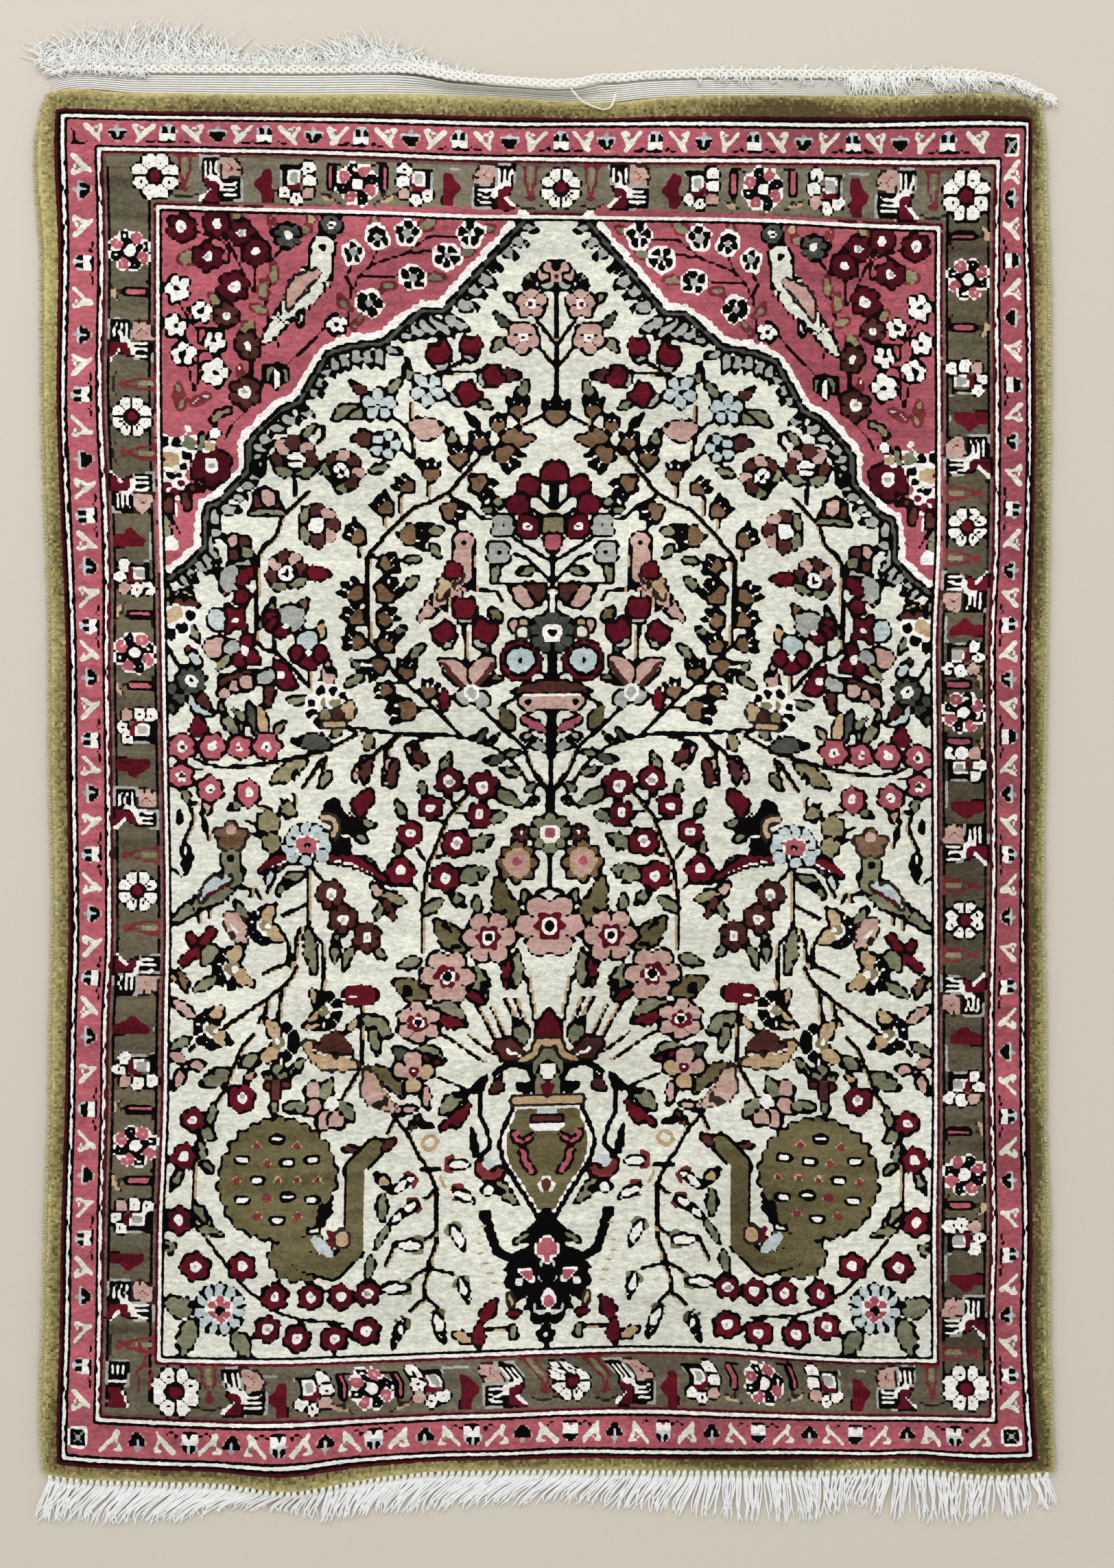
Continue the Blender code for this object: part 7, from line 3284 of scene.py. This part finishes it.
# The flat-woven end beyond the pile, mm: x, width of the web, steepest angle of its upward fold.
WEB_END = (
    # x, width, fold_deg
    (-306, 10.2, 0),
    (-250, 11.2, 0),
    (-180, 12.0, 0),
    (-100, 12.0, 0),
    (-80, 11.6, 35),
    (-60, 10.6, 75),
    (-30, 10.0, 88),
    (5, 10.0, 88),
    (20, 10.6, 70),
    (34, 11.4, 25),
    (46, 10.6, 0),
    (90, 9.8, 0),
    (230, 9.6, 0),
    (262, 8.2, 12),
    (284, 6.0, 25),
    (303, 4.6, 30),
)


# Locks of the plaited fringe, mm: x, reach outwards, lean to the right. A negative reach folds a lock
# forwards over the web.
FAR_LOCKS = (
    # x, reach, lean
    (-316, 10, 6),
    (-300, 16, 3),
    (-272, 24, -3),
    (-240, 27, 2),
    (-214, 22, -5),
    (-200, 20, -6),
    (-190, 10, -2),
    (-180, 5, 0),
    (-171, 13, -2),
    (-150, 14, 1),
    (-136, 8, -1),
    (-122, 18, -3),
    (-102, 22, -5),
    (-88, 16, -5),
    (-72, 9, -3),
    (-58, 8, -2),
    (-40, 5, -2),
    (60, 4, 2),
    (84, 5, 3),
    (85, -9, 2),
    (180, -9, 2),
    (188, -12, 1),
    (214, -12, 2),
    (240, -9, 3),
    (262, -8, 5),
)
# A loose yarn that has pulled out of the plait and lies over the web and the pile's edge, mm.
LOOSE_YARN = (
    # x, y, z
    (13.8, 428.2, 7.4),
    (19.5, 421.0, 8.0),
    (24.0, 418.0, 7.2),
    (30.0, 415.6, 6.6),
    (35.0, 414.4, 6.4),
    (39.0, 415.6, 6.5),
    (41.0, 419.0, 6.6),
    (42.6, 425.0, 5.0),
)


# The groups of wisps. Shortest and longest are shares of the locks' reach, the rest is in mm.
WISP_GROUPS = (
    # how many, from, to, stray of x, shortest, longest, arch low, arch high, lean spread
    (760, -315, -40, 0.0, 0.4, 1.16, 0.3, 4.2, 8.0),
    (560, -314, -60, 0.0, 0.12, 0.6, 0.8, 3.2, 13.0),
    (200, -314, -248, 0.0, -0.22, 0.1, 1.6, 3.0, 8.0),
    (60, 60, 300, 0.0, -0.45, -0.15, 0.4, 1.5, 2.0),
    (110, 90, 300, 0.0, 0.15, 0.75, 1.2, 2.4, 2.6),
    (90, 184, 216, 2.5, 0.5, 1.35, 1.2, 3.2, 2.6),
    (90, 240, 268, 3.0, 0.5, 1.3, 1.2, 3.2, 3.2),
    (26, 289, 313, 0.0, 0.3, 0.8, 0.6, 1.6, 3.0),
)


@dataclass
class FarEnd:
    """The flat-woven end, the plait along it, its frizzy locks and the loose yarn."""

    layout: Layout
    stations: int = 320
    thick: float = 1.2
    ribs: int = 8
    fold_start: float = 4.0
    fold_rise: float = 2.5
    gap: float = 0.3
    span: tuple[float, float] = (-313.5, 314.5)
    bend_left: float = -1.1
    bend_right: float = -0.5
    stitch: float = 5.3
    plait_places: int = 760
    strands: int = 3
    strand_radius: float = 1.0
    strand_swell: float = 0.14
    strand_swing: float = 2.0
    strand_lift: float = 0.55
    strand_sides: int = 8
    wisp_places: int = 10
    wisp_sides: int = 4
    ply_places: int = 70
    ply_radius: float = 0.46
    ply_apart: float = 0.28
    ply_turns: float = 0.9
    rib_height: float = 0.45
    # The grooves between the web's ribs are painted this grey as shade; the yarn itself is the rib colour.
    groove_shade_colour: str = "8E8C88"
    rib_colour: str = "F2F0E8"

    def line(self, x: Array, along: Array) -> tuple[Array, Array, Array]:
        """The web's underside, mm: y, z and direction at distances from the pile's edge.

        The direction rises from level to the table's fold over a short stretch and eases back to a
        third of it near the outer edge. y and z are its cosine and sine, summed along the web.

        Args:
            x: places across the rug, mm, one for each row of the result.
            along: distances along the web, mm, rows by places, rising from 0.

        Returns:
            y, z and the direction in radians, each rows by places.
        """
        width = straight(WEB_END, x)[:, None]
        fold = np.radians(straight(WEB_END, x, 2))[:, None]
        rise = np.clip((along - self.fold_start) / self.fold_rise, 0, 1)
        ease = 1 - 0.67 * np.clip((along - width + 1.5) / 4.0, 0, 1)
        angle = fold * rise * ease
        middle = (angle[:, 1:] + angle[:, :-1]) / 2
        step = np.diff(along, axis=1)
        start = np.zeros((len(x), 1))
        edge = self.edge(x)[:, None] + self.gap
        y = edge + np.concatenate([start, np.cumsum(np.cos(middle) * step, axis=1)], axis=1)
        z = np.concatenate([start, np.cumsum(np.sin(middle) * step, axis=1)], axis=1)
        return y, z, angle

    @staticmethod
    def edge(x: Array) -> Array:
        """The pile's edge at the plaited end, mm."""
        at = x * MM / UNIT + SHEET_MIDDLE[0]
        return (SHEET_MIDDLE[1] - smooth(FAR_LINES, at, 1)) * UNIT / MM

    def middle(self, x: Array) -> tuple[Array, Array]:
        """The plait's centre line, mm: y and z. Past the web's ends it bends away.

        Args:
            x: Places along the plait, mm.

        Returns:
            The y and z.
        """
        at = np.clip(x, WEB_END[0][0], WEB_END[-1][0])
        past = x - at
        reach = straight(WEB_END, at) + self.gap + 3.5
        y, z, angle = self.line(at, reach[:, None] * np.linspace(0, 1, 40))
        bend = np.where(past < 0, self.bend_left * past, self.bend_right * past)
        half = 1.45
        return y[:, -1] + bend - half * np.sin(angle[:, -1]), z[:, -1] + half * np.cos(angle[:, -1])

    def plait(self, finish: bpy.types.Material) -> bpy.types.Object:
        """Three strands that cross in turn. Each swings by a sine across and by twice its rate in height.

        Args:
            finish: The material that it gets.

        Returns:
            The chain, as one piece.
        """
        x = np.linspace(*self.span, self.plait_places)
        y, z = self.middle(x)
        phase = 2 * math.pi * x / self.stitch / self.strands
        paths, radii = [], []
        for k in range(self.strands):
            turn = phase + 2 * math.pi * k / self.strands
            aside, up = self.strand_swing * np.sin(turn), self.strand_lift * np.sin(2 * turn)
            paths.append(self.layout.place(x, y + aside, z + up))
            radii.append((self.strand_radius + self.strand_swell * np.cos(turn) ** 2) * MM)
        points, faces = tubes(np.array(paths), np.array(radii), self.strand_sides)
        return new_piece("plait_chain", points, faces, finish)

    def wisps(self, finish: bpy.types.Material) -> bpy.types.Object:
        """Frizzy loose ends: a thick brush outwards on the left, and wisps folded forwards on the right.

        A yarn's reach and lean are read from the locks' table and stray by chance. It curls by a sine
        that grows along it, and its height is an arch that comes down to its tip.

        Args:
            finish: The material that it gets.

        Returns:
            The wisps, as one piece.
        """
        rng = np.random.default_rng(Seed.WISPS)
        roots, reaches, leans, arches = [], [], [], []
        for count, start, stop, stray, short, long, low, high, spread in WISP_GROUPS:
            x = rng.uniform(start, stop, count) + stray * rng.standard_normal(count)
            roots.append(x)
            reaches.append(straight(FAR_LOCKS, x) * rng.uniform(short, long, count))
            leans.append(straight(FAR_LOCKS, x, 2) + spread * rng.standard_normal(count))
            arches.append(rng.uniform(low, high, count))
        x, reach, lean, arch = (np.concatenate(v)[:, None] for v in (roots, reaches, leans, arches))
        y, z = (v[:, None] for v in self.middle(np.clip(x[:, 0], *self.span)))
        count = len(x)
        share = np.linspace(0, 1, self.wisp_places)
        rate, start, size = (
            rng.uniform(low, high, (count, 1)) for low, high in ((0.7, 2.2), (0, 6.28), (0.5, 2.3))
        )
        curl = size * np.sin(2 * math.pi * rate * share + start) * share
        outwards = np.sign(reach) * 1.6
        path_x = x + lean * share**1.4 * np.clip(np.abs(reach) / 12, 0.35, 1.2) + curl
        swing = 0.6 * size * np.cos(2 * math.pi * rate * share + 2 * start) * share
        path_y = y + outwards + reach * share + swing
        rest = rng.uniform(0.6, 2.4, (count, 1))
        folded = reach < 0
        down = np.where(folded, z + 1.0 - 0.8 * share, rest + (z - rest) * (1 - share) ** 1.4)
        path_z = down + arch * np.sin(math.pi * share) * np.where(folded, 0.8, 1 - 0.3 * share)
        radius = rng.uniform(0.38, 0.64, (count, 1)) * (1 - 0.5 * share**2)
        paths = self.layout.place(path_x, path_y, np.maximum(path_z, radius + 0.05))
        points, faces = tubes(paths, radius * MM, self.wisp_sides)
        return new_piece("plait_wisps", points, faces, finish)

    def loose_yarn(self, finish: bpy.types.Material) -> bpy.types.Object:
        """One yarn that has pulled out of the plait, of two plies that wind round each other.

        Args:
            finish: The material that it gets.

        Returns:
            The yarn.
        """
        at = np.linspace(0, len(LOOSE_YARN) - 1, self.ply_places)
        table = [(k, *row) for k, row in enumerate(LOOSE_YARN)]
        x, y, z = (smooth(tuple(table), at, column) for column in (1, 2, 3))
        turn = at * 2 * math.pi * self.ply_turns
        paths = []
        for ply in (-self.ply_apart, self.ply_apart):
            paths.append(self.layout.place(x + ply * np.cos(turn), y, z + ply * np.sin(turn)))
        radii = np.full((2, len(at)), self.ply_radius * MM)
        radii[:, -6:] *= np.linspace(1, 0.5, 6)
        points, faces = tubes(np.array(paths), radii, self.strand_sides)
        return new_piece("loose_yarn", points, faces, finish)

    def web(self, finish: bpy.types.Material) -> bpy.types.Object:
        """The flat-woven end as a closed strip. Each weft stands up as a rib on its upper face.

        Args:
            finish: The material that it gets.

        Returns:
            The woven end.
        """
        x = np.linspace(WEB_END[0][0], WEB_END[-1][0], self.stations)
        starts = np.arange(self.ribs)[:, None] + np.array([0, 0.16, 0.5, 0.84])
        share = np.append(starts.ravel() / self.ribs, 1.0)
        places = len(share)
        along = straight(WEB_END, x)[:, None] * share
        y, z, angle = self.line(x, along)
        rib = self.rib_height * np.abs(np.sin(math.pi * self.ribs * share)) ** 0.4
        wave = 0.05 * np.sin(x * 2 * math.pi / 1.6)[:, None]
        face = self.thick + rib - 0.4 + wave * (share > 0) * (share < 1)
        top = self.layout.place(x[:, None], y - face * np.sin(angle), z + face * np.cos(angle))
        under = self.layout.place(x[:, None], y, z)
        ring = np.concatenate([under, top[:, ::-1]], axis=1)
        rows, columns = ring.shape[:2]
        j, i = np.meshgrid(np.arange(rows - 1), np.arange(columns), indexing="ij")
        a = (j * columns + i).ravel()
        b = (j * columns + (i + 1) % columns).ravel()
        faces = np.stack([a, b, b + columns, a + columns], axis=1).tolist()
        for n in range(places - 1):
            a, b = n, n + 1
            c, d = columns - 2 - n, columns - 1 - n
            faces.append([d, c, b, a])
            last = (rows - 1) * columns
            faces.append([last + a, last + b, last + c, last + d])
        made = new_piece("flat_web", ring, faces, finish)
        # Painted shade: faces in the grooves between the ribs take the darker groove colour.
        groove = np.abs(np.sin(math.pi * self.ribs * (share[1:] + share[:-1]) / 2)) < 0.6
        tones = np.where(groove[:, None], linear(self.groove_shade_colour), linear(self.rib_colour))
        along_ring = np.concatenate([tones, tones[-1:], tones[::-1], tones[:1]])
        caps = np.repeat(tones, 2, axis=0)
        paint_corners(made, np.concatenate([np.tile(along_ring, (rows - 1, 1)), caps]))
        return made


# ------------------------------------------------------------------------------------- the looped end

# Locks of the looped fringe, mm: x of the loop, reach outwards, lean to the right, stray of its yarns.
NEAR_LOCKS = (
    # x, reach, lean, stray
    (-308, 28, -5, 2.5),
    (-287, 26, -15, 2.5),
    (-244, 27, -19, 2.5),
    (-210, 25, -25, 2.5),
    (-192, 22, -26, 2.5),
    (-180, 16, -21, 3),
    (-167, 14, -15, 3),
    (-153, 16, -10, 3),
    (-133, 23, -5, 2.5),
    (-105, 24, -11, 2),
    (-70, 26, -18, 1.8),
    (-30, 24, -22, 2),
    (-3, 22, -22, 2),
    (27, 20, -16, 2),
    (56, 24, -12, 2),
    (86, 27, -12, 2.2),
    (112, 30, 0, 2.4),
    (145, 32, 3, 2.4),
    (162, 31, 4, 3),
    (195, 23, -7, 6),
    (212, 31, -4, 3),
    (224, 33, 2, 3),
    (242, 33, 5, 4),
    (270, 27, -5, 5),
    (282, 27, 3, 4),
    (292, 24, 2, 3),
    (306, 22, 7, 4),
)


# A loop's head, from under the pile's edge outwards, mm: how far out, how high, its radius.
LOOP_HEAD = (
    (-0.9, 1.7, 0.7),
    (-0.2, 2.15, 1.25),
    (0.5, 2.3, 1.5),
    (1.2, 2.2, 1.5),
    (2.0, 1.85, 1.35),
    (2.8, 1.4, 1.1),
    (3.6, 1.0, 0.7),
)


@dataclass
class LoopedFringe:
    """The looped end: each warp turns back on itself in a small loop, and its yarns hang as a lock."""

    layout: Layout
    loops: int = 147
    span: tuple[float, float] = (-305.75, 307.75)
    gap: float = 0.3
    yarns: int = 4
    places: int = 12
    radius: float = 0.62
    apart: float = 1.75
    head_sides: int = 7
    yarn_sides: int = 6

    def edge(self, x: Array) -> tuple[Array, Array]:
        """The pile's edge at the looped end and how far it is off the floor, mm.

        Args:
            x: Places along the edge, mm.

        Returns:
            The edge's y and its height.
        """
        at = x * MM / UNIT + SHEET_MIDDLE[0]
        y = smooth(NEAR_LINES, at, 4)
        return (SHEET_MIDDLE[1] - y) * UNIT / MM - self.gap, self.layout.lift(at, y) / MM

    def heads(self, finish: bpy.types.Material) -> bpy.types.Object:
        """The loops: short thick arches that come out from under the pile's edge.

        Args:
            finish: The material that it gets.

        Returns:
            The loops, as one piece.
        """
        x = np.linspace(*self.span, self.loops)
        y, back = self.edge(x)
        rng = np.random.default_rng(Seed.HEADS)
        x = x + rng.normal(0, 0.25, self.loops)
        rise = rng.normal(0, 0.15, self.loops)
        out, up, wide = np.array(LOOP_HEAD).T
        lean = straight(NEAR_LOCKS, x, 2)
        aside = 0.012 * lean[:, None] * np.clip(out, 0, None) ** 1.5
        paths = self.layout.place(
            x[:, None] + aside, y[:, None] - out, (back + rise)[:, None] + up
        )
        points, faces = tubes(paths, np.tile(wide * MM, (self.loops, 1)), self.head_sides)
        return new_piece("loop_heads", points, faces, finish)

    def hanging(self, finish: bpy.types.Material) -> bpy.types.Object:
        """The yarns below the loops.

        A yarn leaves its loop straight, is swept to one side, and hangs straight again or runs on aslant,
        each yarn with a share of its own of both. It lies down on the floor or on its neighbours.

        Args:
            finish: The material that it gets.

        Returns:
            The yarns, as one piece.
        """
        rng = np.random.default_rng(Seed.HANGING)
        count = self.loops * self.yarns
        x = np.repeat(np.linspace(*self.span, self.loops), self.yarns)
        side = np.tile(np.linspace(-self.apart, self.apart, self.yarns), self.loops)
        y, back = self.edge(x)
        reach = (straight(NEAR_LOCKS, x) - 2.0) * rng.uniform(0.84, 1.08, count)
        stray = straight(NEAR_LOCKS, x, 3)
        lock = np.repeat(rng.standard_normal(self.loops), self.yarns)
        lean = straight(NEAR_LOCKS, x, 2) + stray * (0.45 * lock + 0.7 * rng.standard_normal(count))
        hook = rng.normal(0.2, 2.2, count)
        share = np.linspace(0, 1, self.places)
        bow = rng.uniform(0.2, 0.9, (count, 1))
        ease = np.clip(1.25 * share, 0, 1)
        swept = bow * ease**2 * (3 - 2 * ease) + (1 - bow) * share**1.1
        height = rng.normal(0, 0.35, (count, 1))
        wave = height * np.sin(2 * math.pi * (share + rng.uniform(0, 1, (count, 1))))
        spread = 0.5 + 0.5 * np.clip(4 * share, 0, 1)
        path_x = x[:, None] + side[:, None] * spread + lean[:, None] * swept
        path_x = path_x + hook[:, None] * share**4 + wave * share
        path_y = y[:, None] - 1.9 - reach[:, None] * share
        level = rng.uniform(0.5, 3.2, (count, 1))
        root = (back + 0.9)[:, None]
        path_z = level + (root - level) * (1 - share) ** 2 + 0.35 * np.sin(math.pi * share)
        path_z = path_z - (level - 0.5) * 0.7 * share**3
        radius = self.radius * rng.uniform(0.85, 1.15, (count, 1)) * (1 - 0.45 * share**6)
        paths = self.layout.place(path_x, path_y, np.maximum(path_z, radius + 0.05))
        points, faces = tubes(paths, radius * MM, self.yarn_sides)
        return new_piece("hanging_yarns", points, faces, finish)


# -------------------------------------------------------------------------------------------- the studio


@dataclass
class Studio:
    """Floor, light and camera."""

    camera_height: float = 1.15
    view_length: float = 2286 * UNIT
    view_middle: tuple[float, float] = (812.0, 1143.0)
    sensor: float = 36.0
    sky: float = 0.74
    lamp_watts: float = 17
    lamp_size: tuple[float, float] = (1.6, 1.0)
    lamp_place: tuple[float, float, float] = (-0.5, 1.5, 1.7)
    lamp_tilt: tuple[float, float] = (-42, -14)

    def build(self, layout: Layout, floor_finish: bpy.types.Material) -> None:
        """Lay the floor, hang the lights and set the camera straight above.

        Args:
            layout: Where the drawing lies on the rug.
            floor_finish: The floor's material.
        """
        bpy.context.scene.view_settings.view_transform = "Standard"
        self.floor(floor_finish)
        self.lights()
        self.camera(layout)

    @staticmethod
    def floor(finish: bpy.types.Material) -> None:
        """A plain floor under the rug.

        Args:
            finish: The material that it gets.
        """
        half, low = 2.5, -0.2 * MM
        corners = [(-half, -half, low), (half, -half, low), (half, half, low), (-half, half, low)]
        piece = new_piece("floor", np.array(corners), [[0, 1, 2, 3]], finish)

    def lights(self) -> None:
        """A soft overcast sky and one large soft light from beyond the plaited end."""
        world = bpy.data.worlds.new("sky")
        world.use_nodes = True
        world.node_tree.nodes["Background"].inputs[0].default_value = (1.0, 1.0, 1.0, 1.0)
        world.node_tree.nodes["Background"].inputs[1].default_value = self.sky
        bpy.context.scene.world = world
        data = bpy.data.lights.new("window", "AREA")
        data.shape = "RECTANGLE"
        data.size, data.size_y = self.lamp_size
        data.energy = self.lamp_watts
        lamp = bpy.data.objects.new("window", data)
        lamp.location = self.lamp_place
        lamp.rotation_euler = (*(math.radians(tilt) for tilt in self.lamp_tilt), 0)
        bpy.context.scene.collection.objects.link(lamp)

    def camera(self, layout: Layout) -> None:
        """The camera: its view's length at the pile's height is the drawing's.

        Args:
            layout: Where the drawing lies on the rug.
        """
        data = bpy.data.cameras.new("camera")
        data.sensor_fit = "VERTICAL"
        data.sensor_height = self.sensor
        data.lens = self.sensor * self.camera_height / self.view_length
        made = bpy.data.objects.new("camera", data)
        x, y = layout.metres(*np.array(self.view_middle))
        made.location = (float(x), float(y), self.camera_height + PILE_TOP)
        bpy.context.scene.collection.objects.link(made)
        bpy.context.scene.camera = made


def main() -> None:
    logging.basicConfig(level=logging.INFO, format="%(name)s: %(message)s")
    layout = Layout()
    chart = Chart(layout)
    Borders(chart).bands()
    Field(chart).draw()
    Borders(chart).inner_lines()
    Borders(chart).guards()
    Borders(chart).main_border()

    fibre = fibre_group()
    silk = Silk("silk_pile_finish", fibre).make()
    gold = Cotton("gold_tuft_finish", fibre, "D2CC9C").make()
    web = Silk("cotton_web_finish", fibre, roughness=0.85, sheen=0.0, scale=1800.0, strength=0.3).make()
    plait_yarn = Cotton("plait_yarn_finish", fibre, "F6F4EC").make()
    wisp_yarn = Cotton("wisp_yarn_finish", fibre, "F7F7F3").make()
    loop_yarn = Cotton("loop_yarn_finish", fibre, "F8F5E8").make()
    hanging_yarn = Cotton("hanging_yarn_finish", fibre, "F8F9F7").make()
    ground = Cotton("floor_finish", fibre, "D8D0C2", bump=0.0, strength=0.05).make()

    carpet = Carpet(layout, chart)
    cloth = carpet.cloth(silk)
    strips = carpet.pile(silk)
    tufts = carpet.tufts(gold)
    for piece in [cloth, tufts, *strips]:
        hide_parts("pile_carpet")
        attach(piece, "root")

    far = FarEnd(layout)
    flat_web = far.web(web)
    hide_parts("flatweave_end")
    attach(flat_web, "root")

    chain, wisps, loose = far.plait(plait_yarn), far.wisps(wisp_yarn), far.loose_yarn(plait_yarn)
    for piece in (chain, wisps, loose):
        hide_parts("fringe_plaited")
        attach(piece, "root")

    looped = LoopedFringe(layout)
    heads, hanging = looped.heads(loop_yarn), looped.hanging(hanging_yarn)
    for piece in (heads, hanging):
        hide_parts("fringe_looped")
        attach(piece, "root")

    Studio().build(layout, ground)


if __name__ == "__main__":
    main()
